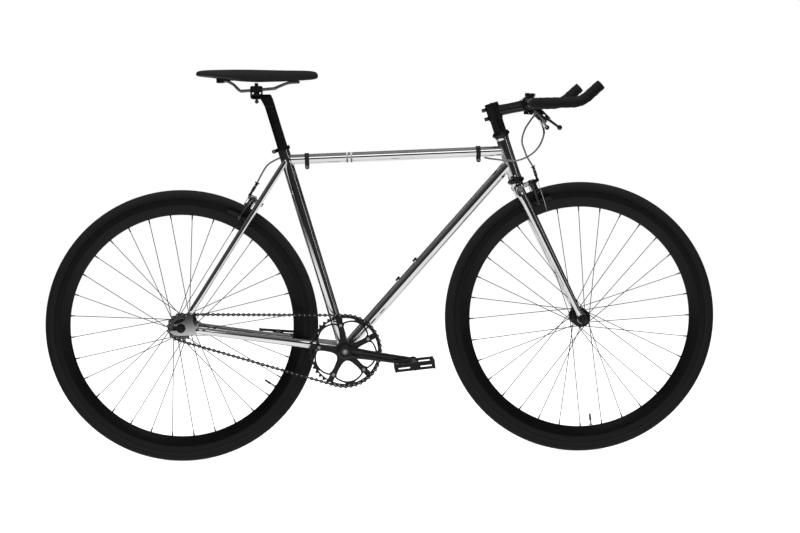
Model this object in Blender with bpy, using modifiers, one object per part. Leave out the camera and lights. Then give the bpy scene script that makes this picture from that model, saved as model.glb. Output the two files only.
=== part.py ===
"""Single-speed bicycle: chromed frame and straight fork, deep rims, bullhorn bar, two rim brakes.

Metres. +X is forward, +Y the bicycle's left, +Z up; the chain runs on the -Y side.
The origin lies on the ground midway between the two axles.
"""
import math

import bmesh
import bpy
from mathutils import Matrix, Vector

# General clearances
GAP = 0.0003
RUNNING_GAP = 0.0010

# Layout of the frame
WHEELBASE = 0.995
BOTTOM_BRACKET_DROP = 0.068
CHAINSTAY_LENGTH = 0.409
SEAT_ANGLE = math.radians(74.2)
SEAT_TUBE_ABOVE_TOP_TUBE = 0.0262
HEAD_ANGLE = math.radians(73.0)
FORK_RAKE = 0.047
FORK_LENGTH = 0.370
HEAD_TUBE_LENGTH = 0.106
TOP_TUBE_ON_SEAT_TUBE = 0.4953
SEAT_TUBE_LENGTH = TOP_TUBE_ON_SEAT_TUBE + SEAT_TUBE_ABOVE_TOP_TUBE
TOP_TUBE_ON_HEAD_TUBE = 0.071
DOWN_TUBE_ON_HEAD_TUBE = 0.041

# Frame tubes
HEAD_TUBE_RADIUS = 0.0159
SEAT_TUBE_RADIUS = 0.0143
TOP_TUBE_RADIUS = 0.0127
DOWN_TUBE_RADIUS = 0.0143
TUBE_WALL = 0.0011
BOTTOM_SHELL_RADIUS = 0.0200
BOTTOM_SHELL_HALF_WIDTH = 0.0340
BOTTOM_SHELL_WALL = 0.0030
SEATSTAY_RADIUS = 0.0072
CHAINSTAY_RADIUS = 0.0080
CHAINSTAY_FRONT_RADIUS = 0.0072
STAY_WALL = 0.0010
SEATSTAY_TOP_BELOW_SEAT_TOP = 0.0290
SEATSTAY_TOP_SETBACK = 0.0036
SEATSTAY_TOP_HALF_SPREAD = 0.0185
STAY_REAR_HALF_SPREAD = 0.0630
CHAINSTAY_KNEE_HALF_SPREAD = 0.0305
CHAINSTAY_KNEE_AHEAD_OF_AXLE = 0.2880
CHAINSTAY_FRONT_HALF_SPREAD = 0.0240
BOTTLE_BOSS_SPACING = 0.064
BOTTLE_BOSS_CENTRE = 0.2523
BOTTLE_BOSS_RADIUS = 0.0065
BOTTLE_BOSS_HEIGHT = 0.0022
BOTTLE_BOLT_RADIUS = 0.0040
BOTTLE_BOLT_HEIGHT = 0.0022

# Dropouts and axles
REAR_HUB_WIDTH = 0.120
FRONT_HUB_WIDTH = 0.100
REAR_DROPOUT_THICKNESS = 0.0060
FRONT_DROPOUT_THICKNESS = 0.0050
REAR_AXLE_RADIUS = 0.0050
FRONT_AXLE_RADIUS = 0.0045
LOCKNUT_RADIUS = 0.0085
LOCKNUT_LENGTH = 0.0080
AXLE_NUT_RADIUS = 0.0088
AXLE_NUT_LENGTH = 0.0090
AXLE_WASHER_RADIUS = 0.0115
AXLE_WASHER_THICKNESS = 0.0022
AXLE_END_LENGTH = 0.0035

# Wheels
BEAD_RADIUS = 0.3113
TYRE_HEIGHT = 0.0277
TYRE_WIDTH = 0.0280
TYRE_WALL = 0.0020
BEAD_WIDTH = 0.0038
BEAD_HALF_SPREAD = 0.0098
INNER_TUBE_RADIUS = 0.0097
INNER_TUBE_WALL = 0.0012
INNER_TUBE_BORE_SHARE = 0.62
RIM_FLANGE_HEIGHT = 0.0042
RIM_OUTER_RADIUS = BEAD_RADIUS + RIM_FLANGE_HEIGHT
RIM_DEPTH = 0.0387
RIM_WIDTH = 0.0240
RIM_FLANGE_WALL = 0.0012
RIM_TIP_HALF_WIDTH = 0.0036
RIM_WALL = 0.0016
BRAKE_TRACK_HEIGHT = 0.0140
WHEEL_SIDES = 32
INNER_TUBE_SIDES = 24
VALVE_RADIUS = 0.0030
VALVE_HEIGHT = 0.0690
VALVE_BORE_RADIUS = 0.0012
SPOKES_PER_SIDE = 16
SPOKE_RADIUS = 0.0010
SPOKE_STAGGER = 0.0004
SPOKE_LACING_ANGLE = math.radians(67.5)
SPOKE_RIM_HALF_SPREAD = 0.0012
REAR_SPOKE_START = math.radians(4.65)
FRONT_SPOKE_START = math.radians(-0.30)
RIGHT_SPOKE_TURN = -math.pi / SPOKES_PER_SIDE
REAR_VALVE_ANGLE = math.radians(-34.7)
FRONT_VALVE_ANGLE = math.radians(-84.7)
HUB_FLANGE_RADIUS = 0.0230
HUB_FLANGE_THICKNESS = 0.0026
HUB_BARREL_RADIUS = 0.0115
HUB_END_RADIUS = 0.0135
FRONT_FLANGE_SPREAD = 0.0350
REAR_FLANGE_SPREAD = 0.0340

# Drive train
CHAIN_PITCH = 0.0127
CHAIN_HALF_HEIGHT = 0.0043
CHAIN_WIDTH = 0.0080
CHAIN_SLOT_WIDTH = 0.0036
CHAIN_SLOT_ABOVE_TIP = 0.0006
CHAINRING_WRAP_POINTS = 24
SPROCKET_WRAP_POINTS = 9
CHAINRING_TEETH = 44
SPROCKET_TEETH = 16
TOOTH_HEIGHT = 0.0022
TOOTH_ROOT_DEPTH = 0.0034
TOOTHED_PLATE_THICKNESS = 0.0030
CHAIN_LINE = 0.0430
CHAINRING_INNER_RADIUS = 0.0775
CHAINRING_BOLT_CIRCLE = 0.0650
CHAINRING_BOLT_RADIUS = 0.0045
CHAINRING_NUT_HEIGHT = 0.0012
CHAINRING_ARC_HALF_WIDTH = 0.0016
CHAINRING_TAB_REACH = 0.0065
FREEWHEEL_BODY_RADIUS = 0.0200
FREEWHEEL_RING_RADIUS = 0.0262
FREEWHEEL_RING_WIDTH = 0.0110
CRANK_LENGTH = 0.170
CRANK_ANGLE = math.radians(-9.5)
CRANK_ARM_THICKNESS = 0.0120
CRANK_ARM_ROOT_HEIGHT = 0.0290
CRANK_ARM_END_HEIGHT = 0.0210
CRANK_ROOT_CENTRE = 0.0570
CRANK_EYE_CENTRE = 0.0680
CRANK_EYE_RADIUS = 0.0130
CRANK_BOSS_RADIUS = 0.0190
CRANK_BOSS_INNER_FACE = 0.0385
CRANK_BOSS_OUTER_FACE = 0.0645
SPIDER_THICKNESS = 0.0070
SPIDER_ARM_ROOT_WIDTH = 0.0200
SPIDER_ARM_TIP_WIDTH = 0.0150
SPINDLE_RADIUS = 0.0080
SPINDLE_HALF_LENGTH = 0.0640
CARTRIDGE_FLANGE_WIDTH = 0.0025
CARTRIDGE_FLANGE_RADIUS = 0.0190
PEDAL_SPINDLE_RADIUS = 0.0055
PEDAL_SPINDLE_LENGTH = 0.0930
PEDAL_LENGTH = 0.0980
PEDAL_WIDTH = 0.0900
PEDAL_HEIGHT = 0.0220
PEDAL_BARREL_RADIUS = 0.0105
PEDAL_PLATE_THICKNESS = 0.0060
PEDAL_CAGE_THICKNESS = 0.0040
PEDAL_WINDOW_HEIGHT = 0.0115
PEDAL_SHOULDER = 0.0045
PEDAL_CLEARANCE = 0.0060
PEDAL_TILT = math.radians(5.0)

# Steering
STEERER_RADIUS = 0.0127
STEERER_WALL = 0.0016
STEERER_TOP = 0.5715
CROWN_RADIUS = 0.0122
BLADE_TIP_RADIUS = 0.0072
BLADE_WALL = 0.0014
CROWN_HALF_SPREAD = 0.0340
BLADE_TOP = 0.3350
CROWN_HEIGHT = 0.3572
BLADE_TIP_HEIGHT = 0.0120
FORK_DROPOUT_RADIUS = 0.0125
HEADSET_BORE_RADIUS = 0.0132
HEADSET_SKIRT_LENGTH = 0.0080
LOWER_CUP_RADIUS = 0.0216
LOWER_STACK = 0.0130
UPPER_CUP_RADIUS = 0.0220
UPPER_STACK = 0.0155
SPACER_RADIUS = 0.0160
SPACER_COUNT = 3
STEM_CLAMP_RADIUS = 0.0178
STEM_CLAMP_BOTTOM = 0.5350
STEM_CLAMP_HEIGHT = 0.0380
STEM_ARM_RADIUS = 0.0142
STEM_ARM_HEIGHT_ON_STEERER = 0.5552
STEM_BOLT_BEHIND = 0.0240
STEM_EAR_WIDTH = 0.0180
STEM_BOLT_RADIUS = 0.0040
TOP_CAP_RADIUS = 0.0172
TOP_CAP_THICKNESS = 0.0050
TOP_CAP_PLUG_RADIUS = 0.0100
TOP_CAP_PLUG_LENGTH = 0.0120
BAR_CLAMP_RADIUS = 0.0198
BAR_CLAMP_HALF_WIDTH = 0.0220
BAR_CLAMP_EAR_DEPTH = 0.0095
FACEPLATE_ANGLE = math.radians(22.0)
FACEPLATE_BOLT_OFFSET = 0.0225

# Handlebar
BAR_AHEAD_OF_STEERING_AXIS = 0.0895
BAR_HEIGHT_ON_STEERING_AXIS = 0.5475
BAR_RADIUS = 0.0111
BAR_WALL = 0.0018
BAR_BULGE_RADIUS = 0.0127
BAR_BULGE_HALF_WIDTH = 0.0300
BAR_HALF_WIDTH = 0.2000
BAR_CORNER_RADIUS = 0.0500
BAR_LEVEL_REACH = 0.0830
BAR_RISE_RADIUS = 0.0600
BAR_RISE_ANGLE = math.radians(41.0)
BAR_REACH = 0.1520
TAPE_THICKNESS = 0.0026
TAPE_INNER_RADIUS = 0.0122
TAPE_START = 0.1050
TAPE_PLUG_LENGTH = 0.0030

# Brake levers
LEVER_PLACE = 0.0500
LEVER_DROP_ANGLE = math.radians(45.0)
LEVER_CLAMP_RADIUS = 0.0150
LEVER_CLAMP_WIDTH = 0.0120
LEVER_BODY_REACH = 0.0600
LEVER_BODY_INBOARD = 0.0120
LEVER_BODY_OUTBOARD = 0.0100
LEVER_BODY_DEPTH = 0.0170
LEVER_SLOT_DEPTH = 0.0200
LEVER_BARREL_REACH = 0.0310
LEVER_BARREL_RADIUS = 0.0038
LEVER_BARREL_LENGTH = 0.0140
LEVER_PIVOT_REACH = 0.0520
LEVER_PIVOT_RADIUS = 0.0030
LEVER_EYE_RADIUS = 0.0060
LEVER_PIN_RADIUS = 0.0020
LEVER_BLADE_LENGTH = 0.0850
LEVER_BLADE_DROP = 0.0330
LEVER_BLADE_THICKNESS = 0.0070
LEVER_BLADE_HEIGHTS = (0.0105, 0.0092, 0.0070)
LEVER_BALL_RADIUS = 0.0065
LEVER_FORK_GAP = 0.0076

# Brakes
FRONT_BRAKE_PIVOT = 0.3580
REAR_BRAKE_PIVOT = 0.3610
FRONT_BRAKE_PLANE = 0.0300
REAR_BRAKE_PLANE = 0.0120
FRONT_PAD_CENTRE = -0.0025
REAR_PAD_CENTRE = 0.0320
BRAKE_ARM_THICKNESS = 0.0070
BRAKE_BOLT_RADIUS = 0.0030
BRAKE_BOLT_HEAD_RADIUS = 0.0055
BRAKE_BOLT_HEAD_LENGTH = 0.0050
BRAKE_SPACER_RADIUS = 0.0060
BRAKE_ARM_HALF_SPREAD = 0.0330
BRAKE_CABLE_SIDE = 0.0340
BRAKE_CABLE_AHEAD = 0.0185
ADJUSTER_RADIUS = 0.0040
ADJUSTER_BORE_RADIUS = 0.0020
ADJUSTER_LENGTH = 0.0265
ADJUSTER_BASE = 0.0040
ANCHOR_BELOW_PIVOT = 0.0215
ANCHOR_RADIUS = 0.0045
BRAKE_PAD_LENGTH = 0.0500
BRAKE_PAD_HEIGHT = 0.0100
BRAKE_PAD_GAP = 0.0022
BRAKE_PAD_THICKNESS = 0.0120
BRIDGE_RADIUS = 0.0065

# Cables
HOUSING_RADIUS = 0.0023
WIRE_RADIUS = 0.0008
WIRE_END_BELOW_PIVOT = 0.0750
CLIP_WIDTH = 0.0090
CLIP_WALL = 0.0022
CLIP_BEHIND_HEAD_TUBE = 0.0705
CLIP_AHEAD_OF_SEAT_TUBE = 0.0510
CLIP_CABLE_ANGLE = math.radians(18.0)
CLIP_EAR_RADIUS = 0.0042
CABLE_SPACING = 0.0160
BOOT_LENGTH = 0.0250
CABLE_BOOT_SHARE = 1.45

# Seat; heights are above the top of the seatpost's head
SEATPOST_RADIUS = 0.0127
SEATPOST_WALL = 0.0022
SEATPOST_INSERTION = 0.1100
SEATPOST_EXPOSED = 0.1431
SEATPOST_HEAD_THICKNESS = 0.0092
SEATPOST_HEAD_DEPTH = 0.0325
SEATPOST_HEAD_HALF_WIDTH = 0.0140
SEATPOST_SETBACK = 0.0240
SEAT_CLAMP_WALL = 0.0032
SEAT_CLAMP_HEIGHT = 0.0160
SEAT_CLAMP_LIP = 0.0070
SEAT_CLAMP_BOLT_BEHIND = 0.0215
SEAT_CLAMP_BOLT_RADIUS = 0.0030
SEAT_CLAMP_BOLT_HEAD_RADIUS = 0.0052
SEAT_CLAMP_EAR_REACH = 0.0093
SEAT_CLAMP_BOLT_HEAD_RECESS = 0.0005
SADDLE_TILT_RADIUS = 0.0400
SADDLE_TILT_HEIGHT = 0.0370
SADDLE_TILT_RANGE = math.radians(4.0)
SADDLE_TAIL_BEHIND_CLAMP = 0.1477
SADDLE_LENGTH = 0.3017
SADDLE_HALF_WIDTH = 0.0720
SADDLE_TOP = 0.0622
SADDLE_SHELL_HEIGHT = 0.0325
SADDLE_SHELL_THICKNESS = 0.0030
RAIL_RADIUS = 0.0035
RAIL_HALF_SPREAD = 0.0220
RAIL_HEIGHT = 0.0115
RAIL_SLOPE = 0.0600
RAIL_HOLDER_DEPTH = 0.0180
RAIL_END_AHEAD = -0.0860
RAIL_END_HEIGHT = 0.0345
RAIL_NOSE_AHEAD = 0.1040
RAIL_END_HALF_SPREAD = 0.0280
CLAMP_LENGTH = 0.0300
CLAMP_WIDTH = 0.0580
CLAMP_PLATE_THICKNESS = 0.0060
CLAMP_BOLT_RADIUS = 0.0030
CLAMP_BOLT_TOP = 0.0288
CLAMP_BOLT_HEAD_RADIUS = 0.0056
CLAMP_NUT_RADIUS = 0.0050
CLAMP_NUT_LENGTH = 0.0180

# Directions
FORWARD = Vector((1.0, 0.0, 0.0))
LEFT = Vector((0.0, 1.0, 0.0))
UP = Vector((0.0, 0.0, 1.0))
STEER_UP = Vector((-math.cos(HEAD_ANGLE), 0.0, math.sin(HEAD_ANGLE)))
STEER_FORWARD = Vector((math.sin(HEAD_ANGLE), 0.0, math.cos(HEAD_ANGLE)))
SEAT_UP = Vector((-math.cos(SEAT_ANGLE), 0.0, math.sin(SEAT_ANGLE)))
SEAT_FORWARD = Vector((math.sin(SEAT_ANGLE), 0.0, math.cos(SEAT_ANGLE)))
CRANK_FORWARD = Vector((math.cos(CRANK_ANGLE), 0.0, math.sin(CRANK_ANGLE)))
LEVER_DROP = Vector((math.cos(LEVER_DROP_ANGLE), 0.0, -math.sin(LEVER_DROP_ANGLE)))
LEVER_PIVOT_AXIS = Vector((math.sin(LEVER_DROP_ANGLE), 0.0, math.cos(LEVER_DROP_ANGLE)))

# Points that the driving sizes give
AXLE_HEIGHT = BEAD_RADIUS + TYRE_HEIGHT
REAR_AXLE = Vector((-WHEELBASE / 2, 0.0, AXLE_HEIGHT))
FRONT_AXLE = Vector((WHEELBASE / 2, 0.0, AXLE_HEIGHT))
BOTTOM_BRACKET = REAR_AXLE + Vector((
    math.sqrt(CHAINSTAY_LENGTH ** 2 - BOTTOM_BRACKET_DROP ** 2), 0.0, -BOTTOM_BRACKET_DROP))
STEER_FOOT = FRONT_AXLE - FORK_RAKE * STEER_FORWARD
SEAT_TOP = BOTTOM_BRACKET + SEAT_TUBE_LENGTH * SEAT_UP
HEAD_TUBE_BOTTOM = FORK_LENGTH + LOWER_STACK
HEAD_TUBE_TOP = HEAD_TUBE_BOTTOM + HEAD_TUBE_LENGTH
SEATSTAY_TOP = (SEAT_TOP - SEATSTAY_TOP_BELOW_SEAT_TOP * SEAT_UP
                - SEATSTAY_TOP_SETBACK * SEAT_FORWARD)
STAY_UP = (SEATSTAY_TOP - REAR_AXLE).normalized()
STAY_REARWARD = Vector((-STAY_UP.z, 0.0, STAY_UP.x))
RIM_TIP_RADIUS = RIM_OUTER_RADIUS - RIM_DEPTH
BRAKE_RADIUS = RIM_OUTER_RADIUS - BRAKE_TRACK_HEIGHT / 2
CHAINRING_PITCH_RADIUS = CHAIN_PITCH / (2 * math.sin(math.pi / CHAINRING_TEETH))
SPROCKET_PITCH_RADIUS = CHAIN_PITCH / (2 * math.sin(math.pi / SPROCKET_TEETH))


def steer_point(along, ahead=0.0, side=0.0):
    """A point given along the steering axis, ahead of it and to the left."""
    return STEER_FOOT + along * STEER_UP + ahead * STEER_FORWARD + side * LEFT


BAR_CENTRE = steer_point(BAR_HEIGHT_ON_STEERING_AXIS, BAR_AHEAD_OF_STEERING_AXIS)


# Helpers
def clear_objects():
    for obj in list(bpy.data.objects):
        bpy.data.objects.remove(obj, do_unlink=True)


def make_collection(name):
    collection = bpy.data.collections.new(name)
    bpy.context.scene.collection.children.link(collection)
    return collection


def make_material(name, colour, roughness, metallic):
    material = bpy.data.materials.new(name)
    material.use_nodes = True
    shader = material.node_tree.nodes["Principled BSDF"]
    shader.inputs["Base Color"].default_value = (*colour, 1.0)
    shader.inputs["Roughness"].default_value = roughness
    shader.inputs["Metallic"].default_value = metallic
    material.diffuse_color = (*colour, 1.0)
    return material


def frame_matrix(origin, z_axis, x_hint=None):
    """Matrix at origin whose local Z runs along z_axis and whose local X leans to x_hint."""
    z = Vector(z_axis).normalized()
    hint = Vector(x_hint) if x_hint is not None else (FORWARD if abs(z.x) < 0.9 else UP)
    x = (hint - hint.dot(z) * z).normalized()
    y = z.cross(x)
    matrix = Matrix((x, y, z)).transposed().to_4x4()
    matrix.translation = origin
    return matrix


def add_object(data, matrix=None):
    obj = bpy.data.objects.new("shape", data)
    bpy.context.scene.collection.objects.link(obj)
    if matrix is not None:
        obj.matrix_world = matrix
    return obj


def bake(obj):
    """The object's evaluated shape as one mesh object in world space, its faces outward."""
    bpy.context.view_layer.update()
    evaluated = obj.evaluated_get(bpy.context.evaluated_depsgraph_get())
    mesh = bpy.data.meshes.new_from_object(evaluated)
    mesh.transform(obj.matrix_world)
    bm = bmesh.new()
    bm.from_mesh(mesh)
    bmesh.ops.remove_doubles(bm, verts=bm.verts, dist=1e-6)
    if bm.calc_volume(signed=True) < 0.0:
        bmesh.ops.reverse_faces(bm, faces=bm.faces)
    bm.to_mesh(mesh)
    bm.free()
    mesh.materials.clear()
    bpy.data.objects.remove(obj, do_unlink=True)
    return add_object(mesh)


def combine(target, others, operation):
    for other in others:
        modifier = target.modifiers.new("combine", "BOOLEAN")
        modifier.operation = operation
        modifier.solver = "EXACT"
        modifier.object = other
        target = bake(target)
        bpy.data.objects.remove(other, do_unlink=True)
    return target


def cut(target, *cutters):
    return combine(target, cutters, "DIFFERENCE")


def join(target, *others):
    return combine(target, others, "UNION")


def rod(start, end, radius, end_radius=None, sides=10, turn_hint=None):
    """A solid cylinder or cone between two points."""
    start = Vector(start)
    end = Vector(end)
    bm = bmesh.new()
    bmesh.ops.create_cone(bm, cap_ends=True, segments=sides, radius1=radius,
                          radius2=radius if end_radius is None else end_radius,
                          depth=(end - start).length)
    mesh = bpy.data.meshes.new("rod")
    bm.to_mesh(mesh)
    bm.free()
    return bake(add_object(mesh, frame_matrix((start + end) / 2, end - start, turn_hint)))


def block(centre, size, z_axis=UP, x_hint=FORWARD):
    """A box of the given size, its local axes along x_hint and z_axis."""
    bm = bmesh.new()
    bmesh.ops.create_cube(bm, size=1.0)
    bmesh.ops.scale(bm, vec=Vector(size), verts=bm.verts)
    mesh = bpy.data.meshes.new("block")
    bm.to_mesh(mesh)
    bm.free()
    return bake(add_object(mesh, frame_matrix(centre, z_axis, x_hint)))


def tapered_bar(start, end, start_size, end_size, x_hint):
    """A four-sided bar whose section, across x_hint and beside it, changes from end to end."""
    start = Vector(start)
    end = Vector(end)
    length = (end - start).length
    bm = bmesh.new()
    bmesh.ops.create_cube(bm, size=1.0)
    for vert in bm.verts:
        size = end_size if vert.co.z > 0.0 else start_size
        vert.co = Vector((vert.co.x * size[0], vert.co.y * size[1], vert.co.z * length))
    mesh = bpy.data.meshes.new("bar")
    bm.to_mesh(mesh)
    bm.free()
    return bake(add_object(mesh, frame_matrix((start + end) / 2, end - start, x_hint)))


def turned(profile, origin, axis, steps=24, closed=False, turn_hint=None):
    """A turned shape: (radius, height) pairs down the outer side, from the top to the bottom."""
    count = len(profile)
    edges = [(i, i + 1) for i in range(count - 1)]
    if closed:
        edges.append((count - 1, 0))
    mesh = bpy.data.meshes.new("profile")
    mesh.from_pydata([(radius, 0.0, height) for radius, height in profile], edges, [])
    obj = add_object(mesh, frame_matrix(origin, axis, turn_hint))
    modifier = obj.modifiers.new("turn", "SCREW")
    modifier.axis = "Z"
    modifier.angle = math.tau
    modifier.screw_offset = 0.0
    modifier.steps = steps
    modifier.render_steps = steps
    modifier.use_merge_vertices = True
    modifier.merge_threshold = 1e-5
    return bake(obj)


def pipe(start, end, outer, inner, sides=16, turn_hint=None):
    """A straight hollow tube that is open at both ends."""
    start = Vector(start)
    end = Vector(end)
    half = (end - start).length / 2
    profile = [(outer, half), (outer, -half), (inner, -half), (inner, half)]
    return turned(profile, (start + end) / 2, end - start, sides, True, turn_hint)


def wire(points, radius, resolution=2, radii=None):
    """A round bar along a route, with 4 + 2 * resolution sides; radii are shares of radius."""
    curve = bpy.data.curves.new("route", "CURVE")
    curve.dimensions = "3D"
    curve.bevel_depth = radius
    curve.bevel_resolution = resolution
    curve.use_fill_caps = True
    spline = curve.splines.new("POLY")
    spline.points.add(len(points) - 1)
    for index, point in enumerate(points):
        spline.points[index].co = (*point, 1.0)
        spline.points[index].radius = 1.0 if radii is None else radii[index]
    return bake(add_object(curve))


def plate(outlines, thickness, origin, normal, x_hint):
    """A flat plate: the first outline is its edge, the others are holes through it."""
    curve = bpy.data.curves.new("outline", "CURVE")
    curve.dimensions = "2D"
    curve.fill_mode = "BOTH"
    curve.extrude = thickness / 2
    for outline in outlines:
        spline = curve.splines.new("POLY")
        spline.points.add(len(outline) - 1)
        for index, (x, y) in enumerate(outline):
            spline.points[index].co = (x, y, 0.0, 1.0)
        spline.use_cyclic_u = True
    return bake(add_object(curve, frame_matrix(origin, normal, x_hint)))


def polar(radius, angle):
    return (radius * math.cos(angle), radius * math.sin(angle))


def arc(centre, radius, start, end, count):
    """Points on a flat arc, both ends included."""
    return [(centre[0] + radius * math.cos(start + (end - start) * i / (count - 1)),
             centre[1] + radius * math.sin(start + (end - start) * i / (count - 1)))
            for i in range(count)]


def smooth_route(points, spacing):
    """A smooth curve through the points, cut into steps of about the spacing."""
    nodes = [Vector(point) for point in points]
    ends = [2 * nodes[0] - nodes[1]] + nodes + [2 * nodes[-1] - nodes[-2]]
    route = [nodes[0]]
    for a, b, c, d in zip(ends, ends[1:], ends[2:], ends[3:]):
        steps = max(1, round((c - b).length / spacing))
        for t in ((step + 1) / steps for step in range(steps)):
            route.append(0.5 * (2 * b + (c - a) * t + (2 * a - 5 * b + 4 * c - d) * t ** 2
                                + (3 * b - a - 3 * c + d) * t ** 3))
    return route


# Places on the frame
def seat_point(along, ahead=0.0, side=0.0):
    """A point given up the seat tube from the bottom bracket, ahead of it and to the left."""
    return BOTTOM_BRACKET + along * SEAT_UP + ahead * SEAT_FORWARD + side * LEFT


TOP_TUBE_REAR = seat_point(TOP_TUBE_ON_SEAT_TUBE)
TOP_TUBE_FRONT = steer_point(HEAD_TUBE_BOTTOM + TOP_TUBE_ON_HEAD_TUBE)
TOP_TUBE_ALONG = (TOP_TUBE_FRONT - TOP_TUBE_REAR).normalized()
TOP_TUBE_UP = Vector((-TOP_TUBE_ALONG.z, 0.0, TOP_TUBE_ALONG.x))
DOWN_TUBE_TOP = steer_point(HEAD_TUBE_BOTTOM + DOWN_TUBE_ON_HEAD_TUBE)
DOWN_TUBE_ALONG = (DOWN_TUBE_TOP - BOTTOM_BRACKET).normalized()
DOWN_TUBE_UP = Vector((-DOWN_TUBE_ALONG.z, 0.0, DOWN_TUBE_ALONG.x))
CHAINSTAY_ALONG = (BOTTOM_BRACKET - REAR_AXLE).normalized()
SEATSTAY_END = 0.0440
CHAINSTAY_END = 0.0360
SEATSTAY_LENGTH = (SEATSTAY_TOP - REAR_AXLE).length
CABLE_OFFSET = TOP_TUBE_RADIUS + HOUSING_RADIUS + GAP
REAR_DROPOUT_FACE = REAR_HUB_WIDTH / 2
FRONT_DROPOUT_FACE = FRONT_HUB_WIDTH / 2


def top_tube_point(along, up=0.0, side=0.0):
    """A point given along the top tube from the seat tube, above its axis and to the left."""
    return TOP_TUBE_REAR + along * TOP_TUBE_ALONG + up * TOP_TUBE_UP + side * LEFT


def seatstay_point(along, side):
    """A point on a seatstay's axis; side is 1 for the left stay and -1 for the right one."""
    share = (along - SEATSTAY_END) / (SEATSTAY_LENGTH - SEATSTAY_END)
    spread = STAY_REAR_HALF_SPREAD + share * (SEATSTAY_TOP_HALF_SPREAD - STAY_REAR_HALF_SPREAD)
    return REAR_AXLE + along * STAY_UP + side * spread * LEFT


def cable_point(along):
    """A point on the housing that lies along the far side of the top tube."""
    return top_tube_point(along, -CABLE_OFFSET * math.sin(CLIP_CABLE_ANGLE),
                          CABLE_OFFSET * math.cos(CLIP_CABLE_ANGLE))


def seat_tube_cutter():
    return rod(seat_point(0.0), seat_point(SEAT_TUBE_LENGTH + SEAT_TUBE_RADIUS),
               SEAT_TUBE_RADIUS + GAP, sides=24)


def head_tube_cutter():
    return rod(steer_point(HEAD_TUBE_BOTTOM - HEAD_TUBE_RADIUS),
               steer_point(HEAD_TUBE_TOP + HEAD_TUBE_RADIUS), HEAD_TUBE_RADIUS + GAP, sides=24)


def bottom_shell_cutter():
    reach = (BOTTOM_SHELL_HALF_WIDTH + BOTTOM_SHELL_RADIUS) * LEFT
    return rod(BOTTOM_BRACKET - reach, BOTTOM_BRACKET + reach, BOTTOM_SHELL_RADIUS + GAP, sides=24)


# Frame
def head_tube():
    return pipe(steer_point(HEAD_TUBE_BOTTOM), steer_point(HEAD_TUBE_TOP),
                HEAD_TUBE_RADIUS, HEAD_TUBE_RADIUS - TUBE_WALL, 24)


def top_tube():
    shape = pipe(TOP_TUBE_REAR, TOP_TUBE_FRONT, TOP_TUBE_RADIUS, TOP_TUBE_RADIUS - TUBE_WALL)
    return cut(shape, seat_tube_cutter(), head_tube_cutter())


def down_tube():
    shape = pipe(BOTTOM_BRACKET, DOWN_TUBE_TOP, DOWN_TUBE_RADIUS, DOWN_TUBE_RADIUS - TUBE_WALL)
    shape = cut(shape, bottom_shell_cutter(), seat_tube_cutter(), head_tube_cutter())
    for offset in (-BOTTLE_BOSS_SPACING / 2, BOTTLE_BOSS_SPACING / 2):
        foot = BOTTOM_BRACKET + (BOTTLE_BOSS_CENTRE + offset) * DOWN_TUBE_ALONG
        inside = foot + (DOWN_TUBE_RADIUS - 2 * TUBE_WALL) * DOWN_TUBE_UP
        face = foot + (DOWN_TUBE_RADIUS + BOTTLE_BOSS_HEIGHT) * DOWN_TUBE_UP
        shape = join(shape, rod(inside, face, BOTTLE_BOSS_RADIUS, sides=8),
                     rod(foot + DOWN_TUBE_RADIUS * DOWN_TUBE_UP,
                         face + BOTTLE_BOLT_HEIGHT * DOWN_TUBE_UP, BOTTLE_BOLT_RADIUS, sides=6))
    return shape


def seat_tube():
    """The seat tube with the bottom bracket shell across its foot."""
    shell_end = BOTTOM_SHELL_HALF_WIDTH * LEFT
    bore_end = shell_end * 1.2
    slot_centre = seat_point(SEAT_TUBE_LENGTH - SEAT_CLAMP_HEIGHT, -SEAT_TUBE_RADIUS)
    shape = join(rod(BOTTOM_BRACKET, SEAT_TOP, SEAT_TUBE_RADIUS, sides=16),
                 rod(BOTTOM_BRACKET - shell_end, BOTTOM_BRACKET + shell_end,
                     BOTTOM_SHELL_RADIUS, sides=24))
    return cut(shape,
               rod(BOTTOM_BRACKET, seat_point(SEAT_TUBE_LENGTH + SEAT_TUBE_RADIUS),
                   SEATPOST_RADIUS + GAP, sides=24),
               rod(BOTTOM_BRACKET - bore_end, BOTTOM_BRACKET + bore_end,
                   BOTTOM_SHELL_RADIUS - BOTTOM_SHELL_WALL, sides=24),
               block(slot_centre, (SEAT_TUBE_RADIUS, 2 * RUNNING_GAP, 2.2 * SEAT_CLAMP_HEIGHT),
                     SEAT_UP, SEAT_FORWARD))


def rear_dropout(side):
    """Plate with a slot that opens to the rear, in the plane of the stays' rear ends."""
    slot = REAR_AXLE_RADIUS + GAP
    stay_end = (SEATSTAY_END - 2 * GAP) * STAY_UP
    stay_rear = stay_end + SEATSTAY_RADIUS * STAY_REARWARD
    stay_front = stay_end - SEATSTAY_RADIUS * STAY_REARWARD
    outline = [(0.042, -0.0150), (0.020, -0.0175), (-0.015, -0.0165), (-0.0245, -0.0105),
               (-0.0245, -slot)]
    outline += arc((0.0040, 0.0), slot, -math.pi / 2, math.pi / 2, 7)
    outline += [(-0.0180, slot), (-0.0175, 0.0095), (0.0000, 0.0140), (0.0110, 0.0210),
                (stay_rear.x, stay_rear.z), (stay_front.x, stay_front.z), (0.0310, 0.0160),
                (0.0330, 0.0080), (0.0440, 0.0020)]
    centre = REAR_AXLE + side * (REAR_DROPOUT_FACE + REAR_DROPOUT_THICKNESS / 2) * LEFT
    return plate([outline], REAR_DROPOUT_THICKNESS, centre, -LEFT, FORWARD)


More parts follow.
